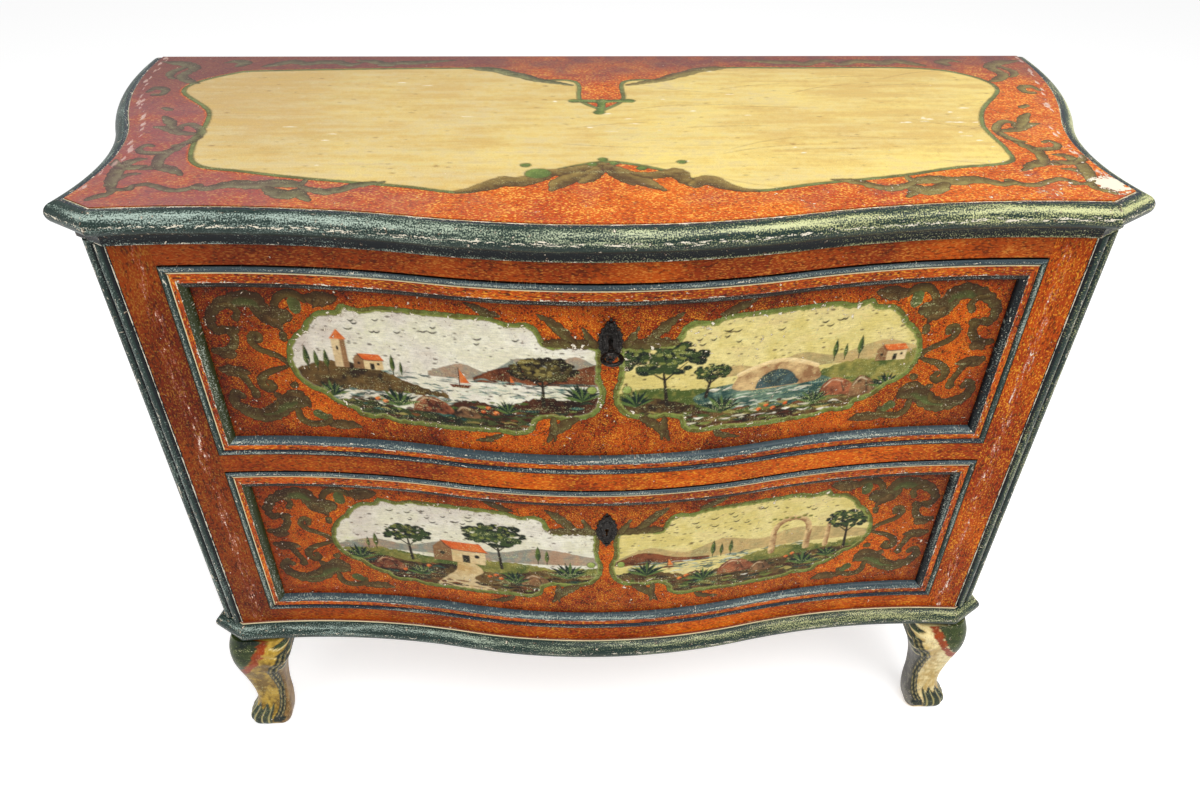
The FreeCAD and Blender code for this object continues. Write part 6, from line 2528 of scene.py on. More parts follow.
    def end_strokes(self) -> list[tuple[bool, list[Knot]]]:
        """Return the ribbons of one end, told for the left, each with whether its edge is lobed.

        Returns:
            The ribbons.
        """
        return [
            (False, [(-488, 45, 4.0), (-481, 52, 5.6), (-474, 57, 4.6), (-474, 66, 4.4), (-479, 79, 4.6),
                     (-477, 92, 4.6), (-470, 100, 3.4), (-461, 101, 1.0)]),
            (True, [(-475, 64, 3.0), (-481, 82, 6.0), (-485, 104, 7.0), (-484, 122, 6.6), (-478, 134, 5.0),
                    (-468, 137, 1.4)]),
            (True, [(-483, 118, 4.0), (-473, 116, 5.4), (-461, 121, 1.0)]),
            (True, [(-484, 116, 4.0), (-494, 126, 4.4), (-497, 136, 1.0)]),
            (False, [(-474, 67, 3.4), (-463, 66, 3.6), (-456, 74, 3.6), (-447, 77, 3.8), (-435, 72, 4.0),
                     (-420, 64, 4.2), (-406, 65, 4.4), (-396, 73, 5.6)]),
            (False, [(-458, 73, 3.2), (-457, 66, 3.0), (-463, 68, 2.4)]),
            (True, [(-400, 71, 4.0), (-386, 66, 5.0), (-374, 73, 6.4), (-359, 77, 8.4), (-343, 73, 8.6),
                    (-329, 77, 9.0), (-314, 77, 8.0), (-300, 74, 5.0), (-296, 86, 2.0)]),
            (True, [(-331, 68, 4.0), (-318, 56, 8.4), (-305, 52, 9.0), (-297, 60, 6.0), (-292, 49, 5.0),
                    (-284, 40, 2.4)]),
            (True, [(-299, 70, 3.0), (-285, 62, 5.0), (-271, 58, 6.0), (-258, 63, 6.0), (-247, 71, 5.6),
                    (-236, 75, 4.6), (-220, 79, 1.4)]),
            (True, [(-464, 111, 1.4), (-452, 117, 6.4), (-438, 113, 6.6), (-426, 104, 4.0), (-419, 97, 1.0)]),
            (True, [(-448, 113, 4.0), (-454, 133, 6.0), (-453, 150, 6.4), (-447, 161, 5.6), (-444, 172, 4.4)]),
            (False, [(-455, 152, 4.0), (-467, 151, 4.6), (-478, 154, 4.4), (-484, 163, 3.4), (-479, 173, 3.0),
                     (-472, 170, 2.6)]),
            (False, [(-446, 164, 4.4), (-441, 177, 4.8), (-434, 190, 5.0), (-434, 206, 5.0), (-442, 221, 5.0),
                     (-453, 230, 4.6), (-461, 225, 4.0), (-458, 216, 3.2)]),
            (True, [(-434, 196, 4.4), (-439, 179, 4.6), (-452, 170, 1.6)]),
            (True, [(-490, 223, 1.0), (-474, 219, 6.0), (-459, 207, 6.0), (-441, 202, 4.4)]),
            (True, [(-490, 254, 2.0), (-479, 240, 6.0), (-470, 224, 5.0), (-460, 210, 3.4)]),
            (False, [(-498, 279, 3.6), (-490, 274, 4.0)]),
            (False, [(-535, 331, 2.4), (-530, 345, 5.6), (-517, 340, 5.6), (-516, 324, 4.6), (-526, 322, 3.2)]),
            (True, [(-556, 443, 1.4), (-538, 438, 6.4), (-521, 432, 8.4), (-507, 417, 7.4), (-511, 401, 6.4),
                    (-513, 386, 6.4), (-501, 371, 6.6), (-486, 361, 2.0)]),
            (True, [(-520, 420, 4.0), (-530, 402, 5.4), (-527, 386, 4.0), (-519, 378, 1.4)]),
            (True, [(-477, 437, 1.0), (-462, 444, 5.6), (-449, 436, 7.6), (-456, 425, 4.0)]),
            (True, [(-426, 422, 1.6), (-411, 431, 6.6), (-390, 442, 7.4), (-372, 434, 7.0), (-354, 440, 7.0),
                    (-334, 440, 7.0), (-316, 430, 6.4), (-302, 438, 1.6)]),
            (True, [(-311, 446, 1.6), (-286, 441, 6.6), (-269, 430, 7.0), (-254, 437, 6.0), (-238, 437, 7.0),
                    (-214, 441, 5.0), (-183, 447, 1.6)]),
            (True, [(-166, 417, 1.6), (-147, 413, 7.0), (-126, 407, 8.0), (-110, 394, 8.0), (-91, 383, 7.4),
                    (-77, 371, 6.0), (-56, 362, 4.6), (-34, 352, 2.0)]),
        ]

    def rub_edges(self) -> None:
        """Rub the red border thin along both ends."""
        draw = self.canvas.rng.uniform
        rubbed = plain(tone(206, 160, 140), tone(226, 200, 180), 2.0)
        for _ in range(60):
            y = draw(60.0, 460.0)
            side = -1.0 if self.canvas.rng.random() < 0.5 else 1.0
            edge = float(SIDE.at(y * MM)) / MM / self.SPREAD - draw(-1.0, 6.0)
            middle = (side * (edge - 1.0), y + 8.0, draw(0.8, 2.4))
            self.canvas.stroke([(side * edge, y, 0.3), middle, (side * edge, y + 16.0, 0.3)], rubbed, 0.8)

    def lay_on(self, piece: bpy.types.Object) -> None:
        """Store the painting on the skin of the top.

        Args:
            piece: Skin that carries it.
        """
        spots = Bench.spots(piece) / MM
        across = (spots[:, 0] - self.CENTRE[0]) / self.SPREAD + self.CENTRE[0]
        inward = (spots[:, 1] - CROWN / MM - self.CENTRE[1]) / self.SPREAD + self.CENTRE[1]
        self.canvas.lay_on(piece, across, inward)


@dataclass(frozen=True)
class TopSkin:
    """Painted skin on the top board, in a left and a right half."""

    out: float = 3.3 * MM
    back: float = CASE_DEPTH - 0.2 * MM
    columns: int = 331
    rows: int = 286
    thick: float = 0.35 * MM
    sunk: float = 0.1 * MM

    def places(self) -> np.ndarray:
        """Return the skin's points for the right half, by row and column.

        Returns:
            Places across and inwards.
        """
        u = np.linspace(0.0, 1.0, self.columns)
        v = np.linspace(0.0, 1.0, self.rows)
        near, far = (np.array(corner) for corner in CANT.corners(self.out))
        split = near[0] / far[0]
        x = np.minimum(u / split, 1.0) * near[0]
        front = np.stack([x, FRONT.at(x, self.out)], 1)
        turned = u > split
        front[turned] = near + (far - near) * ((u[turned] - split) / (1.0 - split))[:, None]
        back_x = float(SIDE.at(CASE_DEPTH, self.out))
        back = np.stack([u * back_x, np.full(self.columns, self.back)], 1)
        y = far[1] + v * (self.back - far[1])
        side = np.stack([SIDE.at(y, self.out), y], 1)
        middle = np.stack([0.0 * v, v * self.back + (1.0 - v) * front[0, 1]], 1)
        u, v = u[None, :, None], v[:, None, None]
        corner = ((1.0 - u) * (1.0 - v) * front[0] + u * (1.0 - v) * front[-1]
                  + (1.0 - u) * v * back[0] + u * v * back[-1])
        lengthwise = (1.0 - v) * front[None] + v * back[None]
        return lengthwise + (1.0 - u) * middle[:, None] + u * side[:, None] - corner

    def build(self, finishes: Finishes) -> list[bpy.types.Object]:
        """Model and paint both halves.

        Args:
            finishes: Finishes to choose from.

        Returns:
            The finished pieces.
        """
        painting = TopPainting()
        flat = self.places()
        pieces = []
        for hand in Hand:
            places = np.zeros((*flat.shape[:2], 3))
            places[..., 0] = flat[..., 0] * hand.value
            places[..., 1] = flat[..., 1] + CROWN
            places[..., 2] = TOP_FACE + self.thick - self.sunk
            piece = Bench.sheet(f"top_skin_{hand.word}", places, Vector((0.0, 0.0, -self.thick)), False)
            Bench.finish(piece, finishes.top)
            painting.lay_on(piece)
            pieces.append(shown(piece, "carcass", "painted_top"))
        return pieces


# ---------------------------------------------------------------------- sides
class SideSkin:
    """Painted skin on a side panel: a shaped cream field between corner scrolls."""

    START, END = 0.0730, 0.4755
    FOOT, HEAD = 0.2352, 0.8048
    OUT = 0.6 * MM
    THICK = 0.9 * MM
    COLUMNS, ROWS = 186, 260
    MIDDLE_Y, MIDDLE_Z = 274.0, 520.0

    def painting(self, hand: Hand) -> Canvas:
        """Paint a side, told in millimetres in from the crown and up.

        Args:
            hand: Which side.

        Returns:
            The painting.
        """
        canvas = Canvas(60.0, 200.0, 430.0, 620.0, 1.0, 60 + hand.value)
        whole = canvas.WHOLE
        frame = [(96, 258), (452, 258), (452, 782), (96, 782)]
        inside = canvas.inside(frame)
        line = 3.6 - np.abs(inside)
        canvas.lay(whole, line + 0.8, tone(40, 30, 20))
        canvas.lay(whole, line, Teal.TEAL.value)
        outline = [
            (274, 706), (240, 700), (206, 706), (176, 690), (160, 660), (146, 640), (140, 600), (148, 560),
            (140, 520), (146, 470), (140, 430), (152, 396), (172, 366), (204, 346), (240, 352), (274, 344),
            (308, 352), (344, 346), (376, 366), (396, 396), (408, 430), (402, 470), (408, 520), (400, 560),
            (408, 600), (402, 640), (388, 660), (372, 690), (342, 706), (308, 700),
        ]
        field = canvas.inside(outline, smooth=True) + canvas.noise * 1.4
        canvas.lay(whole, field + 1.0, tone(64, 48, 20))
        green = np.clip(0.45 + 2.2 * canvas.drift + canvas.noise, 0.0, 1.0)
        canvas.lay(whole, field, blend(tone(96, 108, 44), tone(128, 152, 70), green))
        inner = field - 8.0
        share = np.clip(0.5 + 2.4 * canvas.drift, 0.0, 1.0)
        canvas.lay(whole, inner, blend(tone(218, 200, 146), tone(234, 220, 176), share))
        canvas.clip = np.clip(inner + 0.5, 0.0, 1.0)
        Pictures(canvas, 140.0, 400.0, 77).paint(View.GARDEN)
        canvas.clip = np.ones(canvas.shape)
        for way in (-1.0, 1.0):
            for end in (-1.0, 1.0):
                for knots, brush in self.corner():
                    placed = [(self.MIDDLE_Y + way * x, self.MIDDLE_Z + end * y, half) for x, y, half in knots]
                    canvas.stroke(placed, brush, side=-way)
        canvas.wear = 0.42 + 0.5 * canvas.drift
        return canvas

    def corner(self) -> list[tuple[list[Knot], Brush]]:
        """Return the scrolls of one corner, told from the middle of the side.

        Returns:
            Each ribbon with its brush.
        """
        lobed = Brush(LEAF.body, LEAF.light, LEAF.rim, 1.0, 2.4, lobe=14.0, veins=12.0)
        return [
            ([(40, 214, 1.5), (66, 222, 6.0), (96, 220, 8.0), (124, 206, 8.0), (142, 182, 6.0), (138, 160, 4.6),
              (124, 158, 4.2), (122, 170, 4.0)], lobed),
            ([(120, 214, 3.0), (134, 226, 6.0), (152, 236, 1.5)], GREEN_LEAF),
            ([(70, 218, 3.0), (76, 236, 5.0), (94, 244, 4.6), (106, 236, 4.0), (98, 228, 4.0)], STEM),
            ([(146, 166, 2.0), (154, 140, 5.0), (148, 112, 5.0), (154, 84, 1.5)], LEAF),
            ([(146, 60, 1.5), (156, 44, 4.6), (152, 20, 4.4), (146, 0, 3.0)], STEM),
            ([(0, 206, 5.0), (14, 214, 6.0), (30, 208, 3.0)], GREEN_LEAF),
        ]

    def build(self, finishes: Finishes) -> list[bpy.types.Object]:
        """Model and paint both sides.

        Args:
            finishes: Finishes to choose from.

        Returns:
            The finished pieces.
        """
        pieces = []
        for hand in Hand:
            y = np.linspace(self.START, self.END, self.COLUMNS)
            z = np.linspace(self.FOOT, self.HEAD, self.ROWS)
            places = np.zeros((len(z), len(y), 3))
            places[..., 0] = (hand.value * SIDE.at(y, self.OUT))[None]
            places[..., 1] = (y + CROWN)[None]
            places[..., 2] = z[:, None]
            inward = Vector((-hand.value * self.THICK, 0.0, 0.0))
            piece = Bench.sheet(f"side_skin_{hand.word}", places, inward, True)
            Bench.finish(piece, finishes.side)
            spots = Bench.spots(piece) / MM
            self.painting(hand).lay_on(piece, spots[:, 1] - CROWN / MM, spots[:, 2])
            pieces.append(shown(piece, "carcass", "painted_case"))
        return pieces


# ----------------------------------------------------------------------- legs
@dataclass(frozen=True)
class Station:
    """Level of a leg: how far out and in it stands, and its size, in millimetres."""

    share: float
    out: float
    width: float
    back: float
    depth: float


LEG_MM = CASE_FOOT / MM


@dataclass(frozen=True)
class CabrioleLeg:
    """Carved cabriole leg, modelled as a stack of rounded rings.

    Each ring starts at its outer front corner and runs along the front, the inner
    side, the back and the outer side, with the same number of points on each.
    """

    outer: float
    face: float
    inwards: float
    high: float = CASE_FOOT
    rings: int = 101
    per_face: int = 26
    round_share: float = 0.64
    stations: tuple[Station, ...] = (
        Station(0.00, -3.0, 38.0, 6.3, 34.0), Station(0.04, 10.0, 55.0, 2.1, 42.0),
        Station(0.11, 10.0, 58.0, 2.8, 43.0), Station(0.22, -3.0, 47.0, 6.3, 40.0),
        Station(0.37, -5.0, 46.0, 7.0, 39.0), Station(0.54, 0.0, 55.2, 4.2, 43.96),
        Station(0.69, 4.9, 68.8, -2.1, 54.5), Station(0.80, 7.0, 81.1, -6.3, 65.8),
        Station(0.90, 6.3, 82.5, -4.9, 70.7), Station(1.00, 0.0, 79.0, 0.0, 70.0),
    )

    def ring(self, half_x: float, half_y: float) -> tuple[np.ndarray, np.ndarray]:
        """Return a ring's points and outward directions about its own middle.

        Args:
            half_x: Half its breadth.
            half_y: Half its depth.

        Returns:
            The points and the directions.
        """
        radius = self.round_share * min(half_x, half_y)
        turn = np.linspace(0.0, math.pi / 4.0, 9)
        points, ways = [], []
        for face in range(4):
            wide, deep = (half_x, half_y) if face % 2 == 0 else (half_y, half_x)
            centre = np.array([wide - radius, -(deep - radius)])
            first_way = np.stack([np.sin(math.pi / 4.0 - turn), -np.cos(math.pi / 4.0 - turn)], 1)
            first = centre + radius * first_way
            second = (first * np.array([-1.0, 1.0]))[::-1]
            second_way = (first_way * np.array([-1.0, 1.0]))[::-1]
            path, way = np.concatenate([first, second]), np.concatenate([first_way, second_way])
            run = np.concatenate([[0.0], np.cumsum(np.hypot(*np.diff(path, axis=0).T))])
            steps = np.linspace(0.0, run[-1], self.per_face, endpoint=False)
            spots = np.stack([np.interp(steps, run, path[:, axis]) for axis in range(2)], 1)
            facing = np.stack([np.interp(steps, run, way[:, axis]) for axis in range(2)], 1)
            angle = -face * math.pi / 2.0
            spin = np.array([[math.cos(angle), -math.sin(angle)], [math.sin(angle), math.cos(angle)]])
            points.append(spots @ spin.T)
            ways.append(facing @ spin.T)
        facing = np.concatenate(ways)
        return np.concatenate(points), facing / np.linalg.norm(facing, axis=1)[:, None]

    def relief(self, share: float, face: np.ndarray) -> np.ndarray:
        """Return how far the carving stands out, in millimetres.

        Args:
            share: Height as a share of the leg's.
            face: Place round the ring: 0 to 1 front, to 2 inner side, to 3 back, below 0 outer side.

        Returns:
            The carving's height at each point.
        """
        height = np.zeros(len(face))
        toes = np.clip((0.30 - share) / 0.10, 0.0, 1.0) * np.clip((share - 0.01) / 0.05, 0.0, 1.0)
        fluted = np.clip((0.62 - np.abs(face + 0.05)) / 0.10, 0.0, 1.0)
        height += toes * fluted * (1.6 * np.abs(np.sin(math.pi * face * 4.0)) + 0.6)
        line = self.scroll(share)
        if 0.10 < share < 0.86:
            fade = min((share - 0.10) / 0.03, 1.0) * min((0.86 - share) / 0.05, 1.0)
            for offset in (-0.055, 0.055):
                height += fade * 2.2 * np.exp(-(((face - line - offset) / 0.032) ** 2))
            height -= fade * 1.4 * np.exp(-(((face - line - 0.14) / 0.05) ** 2))
        if share > 0.66:
            for number in range(3):
                level, middle = 0.70 + 0.10 * number, 0.86 - 0.06 * number
                height += 2.4 * bell(share, level, 0.030) * np.exp(-(((face - middle) / 0.20) ** 2))
        return height

    def scroll(self, share: float) -> float:
        """Return where the carved double line lies round the ring.

        Args:
            share: Height as a share of the leg's.

        Returns:
            Place round the ring.
        """
        levels = (0.08, 0.16, 0.30, 0.42, 0.55, 0.66, 0.74, 0.82, 0.90)
        places = (0.70, 0.80, 0.92, 0.98, 0.90, 0.80, 0.84, 0.96, 1.06)
        return float(np.interp(share, levels, places))

    def build(self, name: str, hand: Hand, front: bool) -> tuple[bpy.types.Object, np.ndarray, np.ndarray]:
        """Model the leg; return it with the share of height and the place round it of each vertex.

        Args:
            name: Name of the piece.
            hand: Which side it is for.
            front: Whether it is carved as a front leg.

        Returns:
            The leg, and each vertex's share of height and place round the ring.
        """
        knots = np.array([[s.share * LEG_MM, 0.0, s.out, s.width, s.back, s.depth] for s in self.stations])
        line = spline(knots, 2.0)
        shares = np.linspace(0.0, 1.0, self.rings)
        values = [np.interp(shares * LEG_MM, line[:, 0], line[:, column]) for column in (2, 3, 4, 5)]
        around = 4 * self.per_face
        face = np.arange(around) / self.per_face
        face = np.where(face > 3.0, face - 4.0, face)
        places = np.zeros((self.rings, around, 3))
        for number, share in enumerate(shares):
            out, width, back, depth = (value[number] for value in values)
            points, ways = self.ring(width / 2.0, depth / 2.0)
            if front:
                points = points + ways * self.relief(float(share), face)[:, None]
            middle_x = self.outer / MM + out - width / 2.0
            middle_y = self.face / MM + self.inwards * (back + depth / 2.0)
            places[number, :, 0] = (middle_x + points[:, 0]) * MM
            places[number, :, 1] = (middle_y + self.inwards * points[:, 1]) * MM + CROWN
            places[number, :, 2] = share * self.high
        piece, ring, spoke = Bench.tube(name, mirrored(places, hand))
        return piece, shares[ring], face[spoke]


class Legs:
    """Two carved and painted front legs and two plain rear ones."""

    SIDE_MM = 60.0

    def __init__(self, finishes: Finishes) -> None:
        """Keep the finishes."""
        self.finishes = finishes

    def painting(self, hand: Hand, front: bool) -> Canvas:
        """Paint a leg unrolled: 60 to each side of it, and its height.

        Args:
            hand: Which side it is for.
            front: Whether it is a front leg.

        Returns:
            The painting.
        """
        canvas = Canvas(-64.0, -4.0, 312.0, 212.0, 0.5, 80 + hand.value)
        whole, full = canvas.WHOLE, np.full(canvas.shape, canvas.DEEPEST)
        x, z = canvas.x[None, :], canvas.z[:, None]
        if not front:
            canvas.lay(whole, full, tone(58, 62, 44))
            canvas.wear = 0.3 + 0.5 * canvas.drift
            return canvas
        right = hand is Hand.RIGHT
        shank = (tone(190, 160, 96), tone(232, 214, 160)) if right else (tone(112, 84, 26), tone(182, 148, 58))
        # The inner side is painted grey on the right leg as painted shade, and brown on the left.
        inner = (tone(84, 82, 78), tone(122, 118, 110)) if right else (tone(120, 90, 50), tone(160, 126, 76))
        share = np.clip(0.5 + 2.6 * canvas.drift + 2.2 * canvas.noise, 0.0, 1.0)
        canvas.lay(whole, full, blend(*shank, share))
        leg = CabrioleLeg(0.0, 0.0, 1.0)
        line = np.array([leg.scroll(level / LEG_MM) * self.SIDE_MM for level in canvas.z])[:, None]
        canvas.lay(whole, np.minimum(x - line - 7.0, 186.0 - x) + canvas.noise, blend(*inner, share))
        dark, green, cream, rose = tone(30, 38, 34), tone(62, 76, 42), tone(226, 208, 150), tone(168, 98, 64)
        knee = [(-66, 206), (-66, 96), (-40, 108), (-20, 128), (0, 138), (14, 152), (26, 176), (34, 206)]
        canvas.fill(knee, Brush(tone(22, 32, 26), tone(62, 74, 36), dark, 0.6, 6.0))
        band = [(34, 206), (26, 178), (14, 152), (-2, 138), (-18, 128), (-20, 118), (-1, 125), (15, 138),
                (28, 158), (36, 179), (42, 206)]
        canvas.fill(band, plain(tone(110, 37, 9), tone(150, 62, 20), 9.0), smooth=True)
        patch = [(-30, 118), (-14, 112), (2, 112), (0, 106), (-18, 102), (-34, 108)]
        canvas.fill(patch, plain(rose if right else tone(150, 62, 40), rose, 4.0), smooth=True)
        lobe, vein = Brush(dark, green, dark, 0.6, 3.0), plain(cream, ragged=0.6)
        for number in range(4):
            top, tip = 198.0 - 17.0 * number, 2.0 * number
            feather = [(96, top + 4, 5.0), (78, top, 6.0), (62, top - 4, 5.0), (50 + tip, top - 4, 1.0)]
            canvas.stroke(feather, lobe)
            gap = [(92, top - 8, 0.8), (72, top - 10, 1.0), (56, top - 10, 0.9), (44 + tip, top - 5, 0.4)]
            canvas.stroke(gap, vein)
        none = -canvas.DEEPEST
        double = np.where(z > 10.0, 7.6 - np.abs(x - line), none) + canvas.noise
        canvas.lay(whole, double + np.where(z > 178.0, none, 0.0), dark)
        # Painted highlights along the crests of the carved double line.
        for offset in (-3.3, 3.3):
            ends = np.where((z > 176.0) | (z < 24.0), none, 0.0)
            canvas.lay(whole, 0.8 - np.abs(x - line - offset) + canvas.noise * 0.8 + ends, tone(158, 142, 92))
        toes = np.minimum(46.0 + 6.0 * np.sin(x * 0.42) - z, 36.0 - np.abs(x + 3.0)) + canvas.noise * 2.0
        canvas.lay(whole, toes, blend(tone(34, 42, 38), tone(58, 68, 50), share))
        for number in range(6):
            spot = -30.0 + 11.5 * number
            claw = [(spot, 44.0, 0.3), (spot - 0.6, 26.0, 1.0), (spot, 6.0, 0.7)]
            canvas.stroke(claw, plain(cream, tone(190, 176, 110), 0.6), 0.85)
        canvas.blob(48.0, 18.0, 8.0, 6.0, plain(dark, ragged=1.0))
        canvas.lay(whole, np.minimum(7.0 - z, np.abs(x + 3.0) - 30.0) + canvas.noise, shank[0])
        canvas.wear = 0.42 + 0.5 * canvas.drift
        return canvas

    def build(self) -> list[bpy.types.Object]:
        """Model and paint the four legs.

        Returns:
            The finished pieces.
        """
        pieces = []
        back = CASE_DEPTH - 7.0 * MM
        for hand in Hand:
            for front in (True, False):
                outer = (CANT.far.x if front else float(SIDE.at(back))) - 1.5 * MM
                face = float(FRONT.at(CANT.near_x)) - 10.0 * MM if front else back
                stem = f"{'front' if front else 'rear'}_leg_{hand.word}"
                leg = CabrioleLeg(outer, face, 1.0 if front else -1.0)
                piece, share, place = leg.build(f"{stem}_carved", hand, front)
                Bench.finish(piece, self.finishes.leg)
                self.painting(hand, front).lay_on(piece, place * self.SIDE_MM, share * LEG_MM)
                pieces.append(shown(piece, "carcass", "painted_leg", stem))
        return pieces


# ------------------------------------------------------------------- ironwork
@dataclass(frozen=True)
class Escutcheon:
    """Pierced iron plate round a keyhole: beaded oval, scrolled finials and a boss."""

    drawer: str
    level: float
    half: float = 11.0
    rise: float = 20.0
    rim: float = 1.0
    plate: float = 2.0
    steps: tuple[tuple[float, float], ...] = ((3.0, 0.0), (0.8, -0.8), (1.6, 0.0), (0.8, 0.9))
    beads: int = 16
    bead_sunk: float = 0.6
    curl_sunk: float = 1.3
    hole: float = 2.7
    hole_depth: float = 20.0
    slot: tuple[float, float, float] = (2.4 * MM, 18.0 * MM, 10.0 * MM)
    slot_drop: float = 5.0

    def spot(self, x: float, z: float, sunk: float) -> tuple[float, float, float]:
        """Return a place across from the keyhole, above it and out from the drawer's face."""
        return x * MM, DRAWER_FACE - sunk * MM, (self.level + z) * MM

    def dome(self) -> bpy.types.Object:
        """Model a bead of radius 1 at the origin.

        Returns:
            The bead.
        """
        Bench.clear()
        bpy.ops.mesh.primitive_uv_sphere_add(segments=20, ring_count=12, radius=1.0)
        return Bench.named("bead")

    def curl(self, radius: float, width: float) -> bpy.types.Object:
        """Model a small upright ring at the origin, which stands for a scroll.

        Args:
            radius: Its radius.
            width: Half its thickness.

        Returns:
            The ring.
        """
        Bench.clear()
        bpy.ops.mesh.primitive_torus_add(major_segments=28, minor_segments=10, major_radius=radius * MM,
                                         minor_radius=width * MM, rotation=(math.pi / 2.0, 0.0, 0.0))
        return Bench.named("curl")

    def build(self, finishes: Finishes) -> bpy.types.Object:
        """Model the plate, cut its keyhole and add its ornament.

        Args:
            finishes: Finishes to choose from.

        Returns:
            The finished piece.
        """
        Bench.clear()
        bpy.ops.mesh.primitive_cylinder_add(vertices=72, radius=1.0, depth=self.plate * MM,
                                            location=self.spot(0.0, 0.0, 0.5 * self.plate),
                                            rotation=(math.pi / 2.0, 0.0, 0.0))
        plate = bpy.context.active_object
        plate.scale = ((self.half + self.rim) * MM, (self.rise + self.rim) * MM, 1.0)
        Bench.named("plate")
        bpy.ops.object.mode_set(mode="EDIT")
        bpy.ops.mesh.select_mode(type="FACE")
        bpy.ops.mesh.select_all(action="DESELECT")
        bpy.ops.object.mode_set(mode="OBJECT")
        for polygon in plate.data.polygons:
            polygon.select = polygon.normal.y < -0.9
        bpy.ops.object.mode_set(mode="EDIT")
        for inwards, raised in self.steps:
            bpy.ops.mesh.inset(thickness=inwards * MM, depth=raised * MM)
        bpy.ops.object.mode_set(mode="OBJECT")
        self.cut_keyhole(plate)
        dome, large, small = self.dome(), self.curl(2.3, 0.75), self.curl(1.9, 0.7)
        domes = []
        for number in range(self.beads):
            turn = 2.0 * math.pi * number / self.beads
            domes.append((self.half * math.sin(turn), self.rise * math.cos(turn), (2.4, 2.6, 2.4)))
        for end in (-1.0, 1.0):
            domes += [(way * 2.9, end * 22.5, (2.1, 2.4, 2.1)) for way in (-1.0, 1.0)]
            domes.append((0.0, end * 26.0, (1.9, 2.2, 2.09)))
        pieces = [plate]
        for x, z, size in domes:
            pieces.append(Bench.twin(dome, self.spot(x, z, self.bead_sunk), np.array(size) * MM))
        for way in (-1.0, 1.0):
            for end in (-1.0, 1.0):
                pieces.append(Bench.twin(large, self.spot(way * 6.2, end * 13.4, self.curl_sunk)))
            pieces.append(Bench.twin(small, self.spot(way * 6.6, 0.0, self.curl_sunk)))
        for model in (dome, large, small):
            bpy.data.objects.remove(model)
        piece = Bench.join(f"{self.drawer}_escutcheon_cast", pieces)
        Bench.finish(piece, finishes.iron)
        return shown(piece, f"{self.drawer}_drawer", "wrought_iron", f"{self.drawer}_escutcheon")

    def cut_keyhole(self, plate: bpy.types.Object) -> None:
        """Cut the round hole with its slot.

        Args:
            plate: Plate to cut.
        """
        Bench.clear()
        bpy.ops.mesh.primitive_cylinder_add(vertices=32, radius=self.hole * MM, depth=self.hole_depth * MM,
                                            location=self.spot(0.0, 0.0, 0.0),
                                            rotation=(math.pi / 2.0, 0.0, 0.0))
        hole = bpy.context.active_object
        Bench.clear()
        bpy.ops.mesh.primitive_cube_add(size=1.0, location=self.spot(0.0, -self.slot_drop, 0.0))
        slot = bpy.context.active_object
        slot.scale = self.slot
        for cutter in (hole, slot):
            Bench.cut(plate, cutter)


@dataclass(frozen=True)
class Key:
    """Iron key: ring bow lying flat, collar, shaft and bit."""

    level: float = 708.0
    bow_y: float = -244.0
    bow: float = 12.0
    eye: float = 7.0
    thick: float = 4.0
    shaft: float = 2.3
    tip_y: float = -187.5
    overlap: float = 2.0
    collars: tuple[tuple[float, float, float], ...] = ((3.9, 0.0, 3.0), (3.1, 3.8, 5.2))
    bit_y: tuple[float, float] = (-196.5, -189.5)
    bit_reach: float = 9.0
    bit_thick: float = 2.0

    def rod(self, radius: float, start: float, end: float) -> bpy.types.Object:
        """Model a round bar along Y with softened ends.

        Args:
            radius: Its radius.
            start: Place of its near end.
            end: Place of its far end.

        Returns:
            The bar.
        """
        Bench.clear()
        bpy.ops.mesh.primitive_cylinder_add(vertices=32, radius=radius * MM, depth=(end - start) * MM,
                                            location=(0.0, (start + end) / 2.0 * MM, self.level * MM),
                                            rotation=(math.pi / 2.0, 0.0, 0.0))
        bar = Bench.named("rod")
        edge = bar.modifiers.new("edge", "BEVEL")
        edge.width = 0.4 * MM
        edge.segments = 2
        bpy.ops.object.modifier_apply(modifier=edge.name)
        return bar

    def build(self, finishes: Finishes) -> bpy.types.Object:
        """Model the key.

        Args:
            finishes: Finishes to choose from.

        Returns:
            The finished piece.
        """
        Bench.clear()
        bpy.ops.mesh.primitive_torus_add(major_segments=64, minor_segments=20,
                                         major_radius=(self.bow + self.eye) / 2.0 * MM,
                                         minor_radius=(self.bow - self.eye) / 2.0 * MM,
                                         location=(0.0, self.bow_y * MM, self.level * MM))
        ring = bpy.context.active_object
        ring.scale = (1.0, 1.0, self.thick / (self.bow - self.eye))
        ring = Bench.named("bow")
        neck = self.bow_y + self.bow
        parts = [ring, self.rod(self.shaft, neck - self.overlap, self.tip_y)]
        parts += [self.rod(radius, neck + start, neck + end) for radius, start, end in self.collars]
        Bench.clear()
        low, high = self.bit_y
        middle = (self.bit_reach / 2.0 * MM, (low + high) / 2.0 * MM, self.level * MM)
        bpy.ops.mesh.primitive_cube_add(size=1.0, location=middle)
        bit = bpy.context.active_object
        bit.scale = (self.bit_reach * MM, (high - low) * MM, self.bit_thick * MM)
        parts.append(Bench.named("bit"))
        piece = Bench.join("upper_key_forged", parts)
        Bench.finish(piece, finishes.iron)
        return shown(piece, "upper_key", "wrought_iron", "upper_key")


